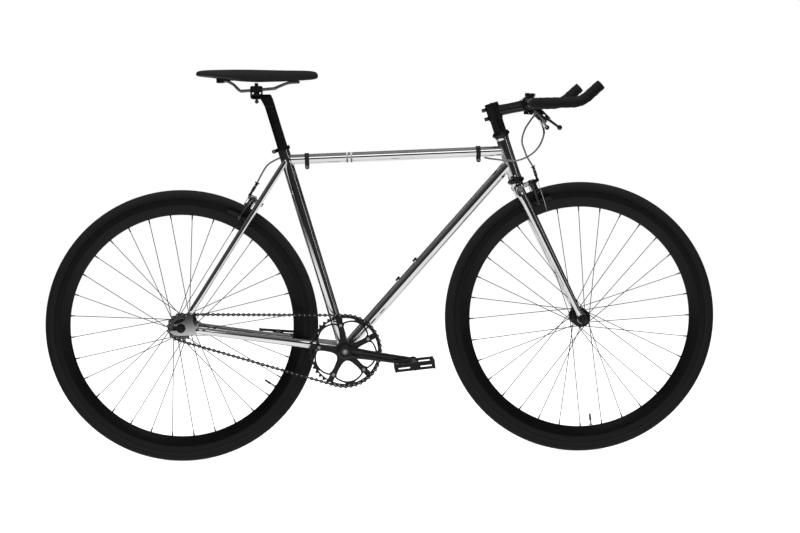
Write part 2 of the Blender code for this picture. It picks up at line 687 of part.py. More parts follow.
def chainstay_route(start, end, side):
    """Points on a chainstay's axis: it runs in from the dropout, then nearly straight."""
    def at(along, spread):
        return REAR_AXLE + along * CHAINSTAY_ALONG + side * spread * LEFT
    knee = CHAINSTAY_KNEE_AHEAD_OF_AXLE
    slope = (CHAINSTAY_KNEE_HALF_SPREAD - STAY_REAR_HALF_SPREAD) / (knee - CHAINSTAY_END)
    front = (CHAINSTAY_FRONT_HALF_SPREAD - CHAINSTAY_KNEE_HALF_SPREAD) / (CHAINSTAY_LENGTH - knee)
    softening = 0.02
    return [at(start, STAY_REAR_HALF_SPREAD + slope * (start - CHAINSTAY_END)),
            at(knee - softening, CHAINSTAY_KNEE_HALF_SPREAD - slope * softening),
            at(knee + softening, CHAINSTAY_KNEE_HALF_SPREAD + front * softening),
            at(end, CHAINSTAY_FRONT_HALF_SPREAD)]


def chainstay(side):
    taper = [1.0, 1.0, 0.96, CHAINSTAY_FRONT_RADIUS / CHAINSTAY_RADIUS]
    shape = wire(chainstay_route(CHAINSTAY_END, CHAINSTAY_LENGTH, side), CHAINSTAY_RADIUS, 3, taper)
    hollow_start = CHAINSTAY_END + 2 * CHAINSTAY_RADIUS
    shape = cut(shape, wire(chainstay_route(hollow_start, CHAINSTAY_LENGTH, side),
                            CHAINSTAY_RADIUS - STAY_WALL, 2, taper), bottom_shell_cutter())
    return join(shape, rear_dropout(side))


def seatstay(side):
    """A stay whose bore opens where it is mitred to the seat tube."""
    shape = wire([seatstay_point(SEATSTAY_END, side), seatstay_point(SEATSTAY_LENGTH, side)],
                 SEATSTAY_RADIUS, 4)
    bore = wire([seatstay_point(SEATSTAY_END + SEATSTAY_RADIUS, side),
                 seatstay_point(SEATSTAY_LENGTH - 2 * STAY_WALL, side)],
                SEATSTAY_RADIUS - STAY_WALL, 3)
    return cut(shape, seat_tube_cutter(), bore)


def brake_bolt(pivot, ahead, back_face, front_face, plane):
    """Brake bolt: a back nut, a spacer up to the first arm, the shank and a front nut."""
    arms_end = plane + 2 * BRAKE_ARM_THICKNESS + 2 * GAP
    def at(distance):
        return pivot + distance * ahead
    return join(rod(at(back_face - BRAKE_BOLT_HEAD_LENGTH),
                    at(arms_end + BRAKE_BOLT_HEAD_LENGTH), BRAKE_BOLT_RADIUS),
                rod(at(back_face - BRAKE_BOLT_HEAD_LENGTH), at(back_face + RUNNING_GAP),
                    BRAKE_BOLT_HEAD_RADIUS, sides=6),
                rod(at(front_face - RUNNING_GAP), at(plane - GAP), BRAKE_SPACER_RADIUS),
                rod(at(arms_end), at(arms_end + BRAKE_BOLT_HEAD_LENGTH),
                    BRAKE_BOLT_HEAD_RADIUS, sides=6))


def brake_bridge():
    """The bridge between the seatstays, with the rear brake's bolt through it."""
    left = seatstay_point(REAR_BRAKE_PIVOT, 1)
    right = seatstay_point(REAR_BRAKE_PIVOT, -1)
    pivot = (left + right) / 2
    shape = rod(right, left, BRIDGE_RADIUS)
    for side in (-1, 1):
        shape = cut(shape, rod(seatstay_point(SEATSTAY_END, side),
                               seatstay_point(SEATSTAY_LENGTH, side),
                               SEATSTAY_RADIUS + GAP, sides=24))
    return join(shape, brake_bolt(pivot, STAY_REARWARD, -BRIDGE_RADIUS, BRIDGE_RADIUS,
                                  REAR_BRAKE_PLANE))


def headset_cup(face, outward, stack, radius, skirt_side_gap):
    """A pressed cup: its flange stands off the head tube, its skirt goes inside."""
    skirt = HEAD_TUBE_RADIUS - TUBE_WALL - GAP
    bore = HEADSET_BORE_RADIUS
    profile = [(radius * 0.86, stack - skirt_side_gap), (radius, stack * 0.60),
               (HEAD_TUBE_RADIUS + RUNNING_GAP, GAP), (skirt, GAP), (skirt, -HEADSET_SKIRT_LENGTH),
               (bore, -HEADSET_SKIRT_LENGTH), (bore, stack - skirt_side_gap)]
    return turned(profile, face, outward, 16, True)


def headset_upper_cup():
    return headset_cup(steer_point(HEAD_TUBE_TOP), STEER_UP, UPPER_STACK, UPPER_CUP_RADIUS, 0.0)


def headset_lower_cup():
    return headset_cup(steer_point(HEAD_TUBE_BOTTOM), -STEER_UP, LOWER_STACK, LOWER_CUP_RADIUS, GAP)


def seat_clamp():
    """Collar round the top of the seat tube, split behind, with its cross bolt."""
    bottom = SEAT_TUBE_LENGTH - SEAT_CLAMP_HEIGHT + SEAT_CLAMP_LIP
    top = SEAT_TUBE_LENGTH + SEAT_CLAMP_LIP
    inner = SEAT_TUBE_RADIUS + GAP
    outer = inner + SEAT_CLAMP_WALL
    lip = SEATPOST_RADIUS + GAP
    height = top - bottom
    step = height - SEAT_CLAMP_LIP + GAP
    profile = [(outer, height), (outer, 0.0), (inner, 0.0), (inner, step), (lip, step), (lip, height)]
    ring = turned(profile, seat_point(bottom), SEAT_UP, 20, True)
    ear_size = (SEAT_CLAMP_BOLT_BEHIND - inner + SEAT_CLAMP_BOLT_HEAD_RADIUS,
                3 * SEAT_CLAMP_WALL, height * 0.7)
    ear_centre = seat_point(bottom + height * 0.35, -inner - RUNNING_GAP - ear_size[0] / 2)
    shape = join(ring, block(ear_centre, ear_size, SEAT_UP, SEAT_FORWARD))
    slot = block(seat_point(bottom + height / 2, -SEAT_CLAMP_BOLT_BEHIND),
                 (2 * (SEAT_CLAMP_BOLT_BEHIND - lip) + 2 * GAP, 2 * RUNNING_GAP, 2 * height),
                 SEAT_UP, SEAT_FORWARD)
    bolt_centre = seat_point(bottom + height * 0.35, -SEAT_CLAMP_BOLT_BEHIND)
    shape = cut(shape, slot)
    reach = SEAT_CLAMP_EAR_REACH * LEFT
    head = (1.5 * SEAT_CLAMP_WALL - SEAT_CLAMP_BOLT_HEAD_RECESS) * LEFT
    return join(shape, rod(bolt_centre - reach, bolt_centre + reach, SEAT_CLAMP_BOLT_RADIUS),
                rod(bolt_centre - reach, bolt_centre - head, SEAT_CLAMP_BOLT_HEAD_RADIUS),
                rod(bolt_centre + head, bolt_centre + reach, SEAT_CLAMP_BOLT_HEAD_RADIUS))


def clip_place(front):
    """Distance along the top tube to the front clip or to the rear one."""
    if front:
        return (TOP_TUBE_FRONT - TOP_TUBE_REAR).length - CLIP_BEHIND_HEAD_TUBE
    return CLIP_AHEAD_OF_SEAT_TUBE


def cable_clip(along):
    """Band round the top tube that holds the housing, with its screw below."""
    half = CLIP_WIDTH / 2 * TOP_TUBE_ALONG
    centre = top_tube_point(along)
    tube = TOP_TUBE_RADIUS + GAP
    housing = HOUSING_RADIUS + GAP
    eye = top_tube_point(along, -tube - CLIP_WALL - CLIP_EAR_RADIUS)
    eye_reach = (CLIP_EAR_RADIUS + 2 * RUNNING_GAP) * LEFT
    shape = join(rod(centre - half, centre + half, tube + CLIP_WALL, sides=16),
                 rod(cable_point(along) - half, cable_point(along) + half, housing + CLIP_WALL),
                 block((centre + eye) / 2 - (tube / 2) * TOP_TUBE_UP,
                       (CLIP_WIDTH * 0.8, CLIP_WIDTH * 0.8, 2 * CLIP_EAR_RADIUS),
                       TOP_TUBE_UP, TOP_TUBE_ALONG),
                 rod(eye - eye_reach, eye + eye_reach, CLIP_EAR_RADIUS))
    return cut(shape, rod(centre - 2 * half, centre + 2 * half, tube, sides=16),
               rod(cable_point(along) - 2 * half, cable_point(along) + 2 * half, housing, sides=8))


def axle(centre, radius, hub_width, dropout_thickness):
    """A threaded axle with its locknuts, and its washers and nuts outside the dropouts."""
    face = hub_width / 2
    plate_end = face + dropout_thickness + GAP
    washer_end = plate_end + AXLE_WASHER_THICKNESS
    nut_end = washer_end + AXLE_NUT_LENGTH
    half = [(LOCKNUT_RADIUS, face - LOCKNUT_LENGTH), (LOCKNUT_RADIUS, face - GAP),
            (radius, face - GAP), (radius, plate_end), (AXLE_WASHER_RADIUS, plate_end),
            (AXLE_WASHER_RADIUS, washer_end), (AXLE_NUT_RADIUS, washer_end),
            (AXLE_NUT_RADIUS, nut_end), (radius, nut_end), (radius, nut_end + AXLE_END_LENGTH),
            (0.0, nut_end + AXLE_END_LENGTH)]
    profile = ([(r, h) for r, h in reversed(half)] + [(radius, face - LOCKNUT_LENGTH)]
               + [(radius, LOCKNUT_LENGTH - face)] + [(r, -h) for r, h in half])
    return turned(profile, centre, LEFT, 6)


def bottom_bracket_cartridge():
    body = BOTTOM_SHELL_RADIUS - BOTTOM_SHELL_WALL - GAP
    bore = SPINDLE_RADIUS + 2 * GAP
    inner = BOTTOM_SHELL_HALF_WIDTH + GAP
    outer = inner + CARTRIDGE_FLANGE_WIDTH
    half = [(bore, outer), (CARTRIDGE_FLANGE_RADIUS, outer), (CARTRIDGE_FLANGE_RADIUS, inner),
            (body, inner)]
    profile = half + [(r, -h) for r, h in reversed(half)]
    return turned(profile, BOTTOM_BRACKET, LEFT, 12, True)


# Wheels
WHEEL_TURN_HINT = -UP
TYRE_CENTRE_RADIUS = AXLE_HEIGHT - TYRE_WIDTH / 2
SPOKE_INNER_RADIUS = HUB_FLANGE_RADIUS + GAP + SPOKE_RADIUS


def wheel_point(centre, radius, angle, side=0.0):
    """A point of a wheel; the angle turns from forward to upward."""
    return centre + radius * Vector((math.cos(angle), 0.0, math.sin(angle))) + side * LEFT


def mirrored(half):
    """A closed outline from its half at positive heights, first and last points inward."""
    return half + [(radius, -height) for radius, height in reversed(half)]


def tyre(centre):
    outer = TYRE_WIDTH / 2
    inner = outer - TYRE_WALL
    foot = BEAD_HALF_SPREAD - BEAD_WIDTH
    outer_angle = math.pi - math.asin(BEAD_HALF_SPREAD / outer)
    inner_angle = math.pi - math.asin(foot / inner)
    middle = (TYRE_CENTRE_RADIUS, 0.0)
    profile = (arc(middle, outer, outer_angle, -outer_angle, 6)
               + [(BEAD_RADIUS, -BEAD_HALF_SPREAD), (BEAD_RADIUS, -foot)]
               + arc(middle, inner, -inner_angle, inner_angle, 5)
               + [(BEAD_RADIUS, foot), (BEAD_RADIUS, BEAD_HALF_SPREAD)])
    return turned(profile, centre, LEFT, WHEEL_SIDES, True, WHEEL_TURN_HINT)


def rim(centre, valve_angle):
    """A deep rim with an air space, which the valve's hole opens."""
    edge = RIM_WIDTH / 2
    inner_edge = edge - RIM_FLANGE_WALL
    seat = BEAD_RADIUS - GAP
    track = RIM_OUTER_RADIUS - BRAKE_TRACK_HEIGHT
    half = [(RIM_TIP_RADIUS, RIM_TIP_HALF_WIDTH), (track, edge), (RIM_OUTER_RADIUS, edge),
            (RIM_OUTER_RADIUS, inner_edge), (seat, inner_edge)]
    space = [(RIM_TIP_RADIUS + 3.0 * RIM_WALL, 0.0), (seat - RIM_WALL, 1.5 * RIM_WALL - edge),
             (seat - RIM_WALL, edge - 1.5 * RIM_WALL)]
    shape = cut(turned(mirrored(half), centre, LEFT, WHEEL_SIDES, True, WHEEL_TURN_HINT),
                turned(space, centre, LEFT, WHEEL_SIDES, True, WHEEL_TURN_HINT))
    hole = rod(wheel_point(centre, RIM_TIP_RADIUS - RIM_WALL, valve_angle),
               wheel_point(centre, RIM_OUTER_RADIUS + RIM_WALL, valve_angle), VALVE_RADIUS + GAP)
    return cut(shape, hole)


def inner_tube(centre, valve_angle):
    """An air tube with its valve; the valve's bore opens the air space."""
    middle = (TYRE_CENTRE_RADIUS, 0.0)
    def ring(radius, sides):
        points = [polar(radius, math.tau * i / sides) for i in range(sides)]
        profile = [(middle[0] + x, y) for x, y in reversed(points)]
        return turned(profile, centre, LEFT, INNER_TUBE_SIDES, True, WHEEL_TURN_HINT)
    wall_radius = INNER_TUBE_RADIUS * INNER_TUBE_BORE_SHARE
    base = TYRE_CENTRE_RADIUS - INNER_TUBE_RADIUS
    tip = base - VALVE_HEIGHT
    stem = rod(wheel_point(centre, tip, valve_angle),
               wheel_point(centre, base + 3 * INNER_TUBE_WALL, valve_angle), VALVE_RADIUS, sides=8)
    bore = rod(wheel_point(centre, tip - VALVE_RADIUS, valve_angle),
               wheel_point(centre, TYRE_CENTRE_RADIUS, valve_angle), VALVE_BORE_RADIUS, sides=6)
    return cut(join(ring(INNER_TUBE_RADIUS, 5), stem), ring(wall_radius, 3), bore)


def rod_set(ends, radius, sides, turn_hint=None):
    """Separate rods of one size in one mesh, ready to be joined to what they share."""
    bm = bmesh.new()
    for start, end in ends:
        matrix = frame_matrix((start + end) / 2, end - start, turn_hint)
        bmesh.ops.create_cone(bm, cap_ends=True, segments=sides, radius1=radius, radius2=radius,
                              depth=(end - start).length, matrix=matrix)
    mesh = bpy.data.meshes.new("rods")
    bm.to_mesh(mesh)
    bm.free()
    return bake(add_object(mesh))


def spoke_outer_radius(angle):
    """Distance from the axle to a spoke's outer end, just inside the rim's faceted inner face."""
    facet = math.tau / WHEEL_SIDES
    off_middle = angle % facet - facet / 2
    return RIM_TIP_RADIUS * math.cos(facet / 2) / math.cos(off_middle) - 2 * GAP


def spokes(centre, side, flange_spread, start_angle):
    """One flange's spokes: half lead and half trail, and each crosses three others.

    The right flange's spokes meet the rim midway between the left one's.
    """
    step = 2 * math.tau / SPOKES_PER_SIDE
    start_angle += RIGHT_SPOKE_TURN if side < 0 else 0.0
    def half_set(rim_start, lacing, spread):
        angles = [rim_start + step * i for i in range(SPOKES_PER_SIDE // 2)]
        return rod_set([(wheel_point(centre, SPOKE_INNER_RADIUS, angle + lacing, side * spread),
                         wheel_point(centre, spoke_outer_radius(angle), angle,
                                     side * SPOKE_RIM_HALF_SPREAD)) for angle in angles],
                       SPOKE_RADIUS, 3, LEFT)
    return join(half_set(start_angle, -SPOKE_LACING_ANGLE, flange_spread + SPOKE_STAGGER),
                half_set(start_angle + step / 2, SPOKE_LACING_ANGLE, flange_spread - SPOKE_STAGGER))


def hub_side(flange_spread, end):
    """Outer profile of a hub from its end to its barrel, as (radius, height) pairs."""
    outer = flange_spread + HUB_FLANGE_THICKNESS / 2
    inner = flange_spread - HUB_FLANGE_THICKNESS / 2
    return [(HUB_END_RADIUS, end), (HUB_END_RADIUS, outer + RUNNING_GAP),
            (HUB_FLANGE_RADIUS, outer), (HUB_FLANGE_RADIUS, inner),
            (HUB_BARREL_RADIUS, inner - HUB_FLANGE_THICKNESS)]


def front_hub():
    end = FRONT_HUB_WIDTH / 2 - LOCKNUT_LENGTH - GAP
    bore = FRONT_AXLE_RADIUS + GAP
    return turned(mirrored([(bore, end)] + hub_side(FRONT_FLANGE_SPREAD, end)),
                  FRONT_AXLE, LEFT, 12, True)


def rear_hub():
    """The rear hub, whose right end carries the freewheel's body."""
    end = REAR_HUB_WIDTH / 2 - LOCKNUT_LENGTH - GAP
    bore = REAR_AXLE_RADIUS + GAP
    flange_face = REAR_FLANGE_SPREAD + HUB_FLANGE_THICKNESS / 2
    left = [(bore, end)] + hub_side(REAR_FLANGE_SPREAD, end)
    right = [(FREEWHEEL_BODY_RADIUS, -flange_face - RUNNING_GAP), (FREEWHEEL_BODY_RADIUS, -end),
             (bore, -end)]
    barrel = hub_side(REAR_FLANGE_SPREAD, end)[:1:-1]
    profile = left + [(radius, -height) for radius, height in barrel] + right
    return turned(profile, REAR_AXLE, LEFT, 16, True)


# Drive train
SPIDER_INNER_FACE = CHAIN_LINE + TOOTHED_PLATE_THICKNESS / 2 + GAP
SPIDER_ARMS = 5
SPIDER_STEP = math.tau / SPIDER_ARMS


def crank_plane(side_distance):
    """Origin of a flat outline about the bottom bracket, to the right of the frame."""
    return BOTTOM_BRACKET - side_distance * LEFT


def toothed_outline(teeth, pitch_radius, gap_angle, tooth_width):
    """Edge of a chain wheel with a gap at gap_angle; a tooth's width is a share of its step."""
    step = math.tau / teeth
    tip = pitch_radius + TOOTH_HEIGHT
    root = pitch_radius - TOOTH_ROOT_DEPTH
    outline = []
    for tooth in range(teeth):
        middle = gap_angle + (tooth + 0.5) * step
        outline.append(polar(root, middle - 0.5 * step))
        outline += [polar(tip, middle + share * step) for share in
                    ((0.0,) if tooth_width == 0.0 else (-tooth_width / 2, tooth_width / 2))]
    return outline


def chain_angles():
    """Angles at which the chain leaves both wheels, above and below."""
    line = math.atan2(CHAINSTAY_ALONG.z, CHAINSTAY_ALONG.x)
    lean = math.acos((SPROCKET_PITCH_RADIUS - CHAINRING_PITCH_RADIUS) / CHAINSTAY_LENGTH)
    return line + lean, line - lean


def chain_path():
    """Points and outward angles round the chain's closed path, two on each straight run."""
    above, below = chain_angles()
    path = []
    for centre, radius, start, end, count in (
            (BOTTOM_BRACKET, CHAINRING_PITCH_RADIUS, above, below, CHAINRING_WRAP_POINTS),
            (REAR_AXLE, SPROCKET_PITCH_RADIUS, below, above - math.tau, SPROCKET_WRAP_POINTS)):
        for x, z in arc((centre.x, centre.z), radius, start, end, count):
            path.append(((x, z), math.atan2(z - centre.z, x - centre.x)))
    return path


def chain():
    """The roller chain as one closed band, slotted where the teeth enter it."""
    def edge(sign):
        offsets = [(point, polar(sign * CHAIN_HALF_HEIGHT, angle)) for point, angle in chain_path()]
        return [(point[0] + x, point[1] + z) for point, (x, z) in offsets]
    shape = plate([edge(1), edge(-1)], CHAIN_WIDTH, -CHAIN_LINE * LEFT, -LEFT, FORWARD)
    half_slot = CHAIN_SLOT_WIDTH / 2 * LEFT
    for centre, radius in ((BOTTOM_BRACKET, CHAINRING_PITCH_RADIUS),
                           (REAR_AXLE, SPROCKET_PITCH_RADIUS)):
        middle = centre - CHAIN_LINE * LEFT
        reach = radius + TOOTH_HEIGHT + CHAIN_SLOT_ABOVE_TIP
        shape = cut(shape, rod(middle - half_slot, middle + half_slot, reach, sides=36))
    return shape


def chainring():
    """Toothed ring: tabs at the five bolts and thin arcs between them that touch the ring."""
    start, _ = chain_angles()
    strip = CHAINRING_ARC_HALF_WIDTH
    def arc_radius(turn):
        rise = CHAINRING_INNER_RADIUS - CHAINRING_BOLT_CIRCLE - RUNNING_GAP
        return (CHAINRING_BOLT_CIRCLE + RUNNING_GAP / 2
                + rise * math.sin(turn / SPIDER_STEP * math.pi))
    outlines = [toothed_outline(CHAINRING_TEETH, CHAINRING_PITCH_RADIUS, start, 0.0)]
    opening = []
    windows = []
    degrees = [math.radians(value) for value in (9.0, 16.0, 26.0)]
    tab_end = CHAINRING_BOLT_CIRCLE - CHAINRING_TAB_REACH
    for index in range(SPIDER_ARMS):
        arm = CRANK_ANGLE + SPIDER_STEP * (index + 0.5)
        opening += [polar(tab_end + 0.002, arm - math.radians(7.0)),
                    polar(tab_end, arm - math.radians(4.5)), polar(tab_end, arm + math.radians(4.5)),
                    polar(tab_end + 0.002, arm + math.radians(7.0))]
        opening += [polar(arc_radius(turn) - strip, arm + turn) for turn in degrees]
        opening += [polar(arc_radius(turn) - strip, arm + SPIDER_STEP - turn)
                    for turn in reversed(degrees)]
        for sign in (1, -1):
            turns = [math.radians(value) for value in (8.5, 14.0, 20.5)]
            inner = [polar(arc_radius(turn) + strip, arm + sign * turn) for turn in turns]
            outer = [polar(CHAINRING_INNER_RADIUS, arm + sign * math.radians(value))
                     for value in (22.5, 8.0)]
            windows.append(inner + outer)
    outlines.append(opening)
    outlines += windows
    for index in range(SPIDER_ARMS):
        x, y = polar(CHAINRING_BOLT_CIRCLE, CRANK_ANGLE + SPIDER_STEP * (index + 0.5))
        outlines.append([(x + dx, y + dy) for dx, dy in
                         (polar(CHAINRING_BOLT_RADIUS + 3 * GAP, math.tau * i / 6)
                          for i in range(6))])
    return plate(outlines, TOOTHED_PLATE_THICKNESS, crank_plane(CHAIN_LINE), -LEFT, FORWARD)


def freewheel_sprocket():
    above, _ = chain_angles()
    centre = REAR_AXLE - CHAIN_LINE * LEFT
    inner = FREEWHEEL_BODY_RADIUS + RUNNING_GAP
    seat = (inner + FREEWHEEL_RING_RADIUS) / 2
    hole = [polar(seat, math.tau * i / 8) for i in range(8)]
    teeth = plate([toothed_outline(SPROCKET_TEETH, SPROCKET_PITCH_RADIUS, above, 0.24), hole],
                  TOOTHED_PLATE_THICKNESS, centre, -LEFT, FORWARD)
    half = FREEWHEEL_RING_WIDTH / 2
    ring = turned([(FREEWHEEL_RING_RADIUS, half), (FREEWHEEL_RING_RADIUS, -half),
                   (inner, -half), (inner, half)], centre, LEFT, 12, True)
    return join(teeth, ring)


def crank_spindle():
    return rod(BOTTOM_BRACKET - SPINDLE_HALF_LENGTH * LEFT, BOTTOM_BRACKET + SPINDLE_HALF_LENGTH * LEFT,
               SPINDLE_RADIUS, sides=16)


def crank_eye(side, distance):
    """A point on the pedal's axis, at a distance from the frame's middle plane."""
    return BOTTOM_BRACKET - side * CRANK_LENGTH * CRANK_FORWARD + side * distance * LEFT


def crank_arm(side):
    """Boss, arm, eye and the pedal's spindle; side is 1 on the left and -1 on the right."""
    def at(along, distance):
        return BOTTOM_BRACKET - side * along * CRANK_FORWARD + side * distance * LEFT
    eye_face = CRANK_EYE_CENTRE + CRANK_ARM_THICKNESS / 2
    shape = join(rod(at(0.0, CRANK_BOSS_INNER_FACE), at(0.0, CRANK_BOSS_OUTER_FACE),
                     CRANK_BOSS_RADIUS, sides=16),
                 tapered_bar(at(0.0, CRANK_ROOT_CENTRE), at(CRANK_LENGTH, CRANK_EYE_CENTRE),
                             (CRANK_ARM_ROOT_HEIGHT, CRANK_ARM_THICKNESS),
                             (CRANK_ARM_END_HEIGHT, CRANK_ARM_THICKNESS), UP),
                 rod(at(CRANK_LENGTH, eye_face - CRANK_ARM_THICKNESS), at(CRANK_LENGTH, eye_face),
                     CRANK_EYE_RADIUS, sides=12),
                 rod(at(CRANK_LENGTH, CRANK_EYE_CENTRE),
                     at(CRANK_LENGTH, eye_face + PEDAL_SHOULDER), PEDAL_SPINDLE_RADIUS * 1.3),
                 rod(at(CRANK_LENGTH, CRANK_EYE_CENTRE),
                     at(CRANK_LENGTH, eye_face + PEDAL_SPINDLE_LENGTH), PEDAL_SPINDLE_RADIUS))
    return cut(shape, rod(at(0.0, 0.0), at(0.0, CRANK_BOSS_OUTER_FACE + CRANK_BOSS_RADIUS),
                          SPINDLE_RADIUS + GAP, sides=16))


def spider():
    """Five arms that carry the chainring, with the bolts through their ends."""
    outline = []
    root = SPIDER_ARM_ROOT_WIDTH / 2
    tip = SPIDER_ARM_TIP_WIDTH / 2
    end = CHAINRING_BOLT_CIRCLE + tip
    for index in range(SPIDER_ARMS):
        arm = CRANK_ANGLE + SPIDER_STEP * (index + 0.5)
        corners = [(CRANK_BOSS_RADIUS + 0.008, -root), (CHAINRING_BOLT_CIRCLE - tip, -tip),
                   (end - 0.003, -tip), (end, -tip / 2), (end, tip / 2), (end - 0.003, tip),
                   (CHAINRING_BOLT_CIRCLE - tip, tip), (CRANK_BOSS_RADIUS + 0.008, root)]
        for along, across in corners:
            outline.append((along * math.cos(arm) - across * math.sin(arm),
                            along * math.sin(arm) + across * math.cos(arm)))
    return plate([outline], SPIDER_THICKNESS,
                 crank_plane(SPIDER_INNER_FACE + SPIDER_THICKNESS / 2), -LEFT, FORWARD)


def crank_right():
    inner_nut = CHAIN_LINE - TOOTHED_PLATE_THICKNESS / 2 - GAP
    outer_face = SPIDER_INNER_FACE + SPIDER_THICKNESS
    def set_at(start, end):
        angles = [CRANK_ANGLE + SPIDER_STEP * (index + 0.5) for index in range(SPIDER_ARMS)]
        return [(wheel_point(BOTTOM_BRACKET, CHAINRING_BOLT_CIRCLE, angle, -start),
                 wheel_point(BOTTOM_BRACKET, CHAINRING_BOLT_CIRCLE, angle, -end))
                for angle in angles]
    bolts = rod_set(set_at(inner_nut - CHAINRING_NUT_HEIGHT, outer_face + RUNNING_GAP),
                    CHAINRING_BOLT_RADIUS, 6)
    bore = rod(crank_plane(0.0), crank_plane(CRANK_BOSS_OUTER_FACE + CRANK_BOSS_RADIUS),
               SPINDLE_RADIUS + GAP, sides=16)
    return cut(join(crank_arm(-1), spider(), bolts), bore)


def pedal(side, tilt):
    """A cage pedal: barrel, two pierced end plates and two cage plates."""
    inner = CRANK_EYE_CENTRE + CRANK_ARM_THICKNESS / 2 + PEDAL_CLEARANCE
    outer = inner + PEDAL_WIDTH
    along = Vector((math.cos(tilt), 0.0, math.sin(tilt)))
    above = Vector((-math.sin(tilt), 0.0, math.cos(tilt)))
    def at(x, distance, z):
        return crank_eye(side, distance) + x * along + z * above
    def box(x, distance, z, size):
        return block(at(x, distance, z), size, above, along)
    middle = (inner + outer) / 2
    cage_x = (PEDAL_LENGTH - PEDAL_CAGE_THICKNESS) / 2
    cage_size = (PEDAL_CAGE_THICKNESS, PEDAL_WIDTH - 2 * RUNNING_GAP, PEDAL_HEIGHT)
    plate_size = (2 * cage_x, PEDAL_PLATE_THICKNESS, PEDAL_HEIGHT - 2 * RUNNING_GAP)
    shape = join(box(0.0, inner + PEDAL_PLATE_THICKNESS / 2, 0.0, plate_size),
                 box(cage_x, middle, 0.0, cage_size),
                 box(0.0, outer - PEDAL_PLATE_THICKNESS / 2, 0.0, plate_size),
                 box(-cage_x, middle, 0.0, cage_size),
                 rod(at(0.0, inner - RUNNING_GAP, 0.0), at(0.0, outer + 2 * RUNNING_GAP, 0.0),
                     PEDAL_BARREL_RADIUS))
    window_start = PEDAL_BARREL_RADIUS + 2 * RUNNING_GAP
    window_end = PEDAL_LENGTH / 2 - 2 * PEDAL_CAGE_THICKNESS
    for x in (-1, 1):
        shape = cut(shape, box(x * (window_start + window_end) / 2, middle, 0.0,
                               (window_end - window_start, 1.2 * PEDAL_WIDTH, PEDAL_WINDOW_HEIGHT)))
    return cut(shape, rod(at(0.0, inner - PEDAL_CLEARANCE, 0.0),
                          at(0.0, inner - PEDAL_CLEARANCE + PEDAL_SPINDLE_LENGTH + GAP, 0.0),
                          PEDAL_SPINDLE_RADIUS + GAP, sides=12))


# Steering
CROWN_BASE = CROWN_HEIGHT - CROWN_RADIUS
BLADE_TIP_SPREAD = FRONT_DROPOUT_FACE + FRONT_DROPOUT_THICKNESS / 2
UPPER_CUP_TOP = HEAD_TUBE_TOP + UPPER_STACK
STEM_CLAMP_TOP = STEM_CLAMP_BOTTOM + STEM_CLAMP_HEIGHT
FACE_NORMAL = math.cos(FACEPLATE_ANGLE) * STEER_FORWARD - math.sin(FACEPLATE_ANGLE) * STEER_UP
FACE_ALONG = math.sin(FACEPLATE_ANGLE) * STEER_FORWARD + math.cos(FACEPLATE_ANGLE) * STEER_UP


def blade_point(along, side):
    """A point on the fork's centre line, which leans forward by the rake down to the axle."""
    ahead = FORK_RAKE * max(0.0, 1.0 - along / CROWN_BASE)
    return steer_point(along, ahead, side)


def fork_route(tip_height):
    """Up one blade, over the crown and down the other."""
    share = (tip_height - BLADE_TIP_HEIGHT) / (BLADE_TOP - BLADE_TIP_HEIGHT)
    tip_side = BLADE_TIP_SPREAD + share * (CROWN_HALF_SPREAD - BLADE_TIP_SPREAD)
    crown = [blade_point(BLADE_TOP + (CROWN_HEIGHT - BLADE_TOP) * math.sin(turn),
                         CROWN_HALF_SPREAD * math.cos(turn))
             for turn in (math.pi * i / 6 for i in range(7))]
    return [blade_point(tip_height, tip_side)] + crown + [blade_point(tip_height, -tip_side)]


def fork_dropout(side):
    """Plate round the axle with a slot that opens downward."""
    slot = FRONT_AXLE_RADIUS + GAP
    radius = FORK_DROPOUT_RADIUS
    lip = math.asin(slot / radius)
    shoulder = math.radians(15.0)
    outline = (arc((0.0, 0.0), radius, lip - math.pi / 2, shoulder, 5)
               + [(0.0070, 0.0200), (0.0040, 0.0280), (-0.0080, 0.0280), (-0.0090, 0.0200)]
               + arc((0.0, 0.0), radius, math.pi - shoulder, 1.5 * math.pi - lip, 5)
               + arc((0.0, 0.0), slot, math.pi, 0.0, 7))
    centre = FRONT_AXLE + side * BLADE_TIP_SPREAD * LEFT
    return plate([outline], FRONT_DROPOUT_THICKNESS, centre, -LEFT, STEER_FORWARD)


def fork():
    """Hollow blades and crown in one sweep, the steerer, the dropouts and the brake bolt."""
    taper = [BLADE_TIP_RADIUS / CROWN_RADIUS] + [1.0] * 7 + [BLADE_TIP_RADIUS / CROWN_RADIUS]
    shape = join(wire(fork_route(BLADE_TIP_HEIGHT), CROWN_RADIUS, 3, taper),
                 rod(steer_point(CROWN_HEIGHT), steer_point(FORK_LENGTH), HEAD_TUBE_RADIUS, sides=16),
                 rod(steer_point(CROWN_HEIGHT), steer_point(STEERER_TOP), STEERER_RADIUS, sides=16))
    shape = cut(shape, wire(fork_route(BLADE_TIP_HEIGHT + BLADE_TIP_RADIUS),
                            CROWN_RADIUS - BLADE_WALL, 2, taper),
                rod(steer_point(CROWN_HEIGHT - BLADE_WALL), steer_point(STEERER_TOP + STEERER_RADIUS),
                    STEERER_RADIUS - STEERER_WALL, sides=12))
    return join(shape, fork_dropout(1), fork_dropout(-1),
                brake_bolt(steer_point(FRONT_BRAKE_PIVOT), STEER_FORWARD, -CROWN_RADIUS,
                           CROWN_RADIUS, FRONT_BRAKE_PLANE))


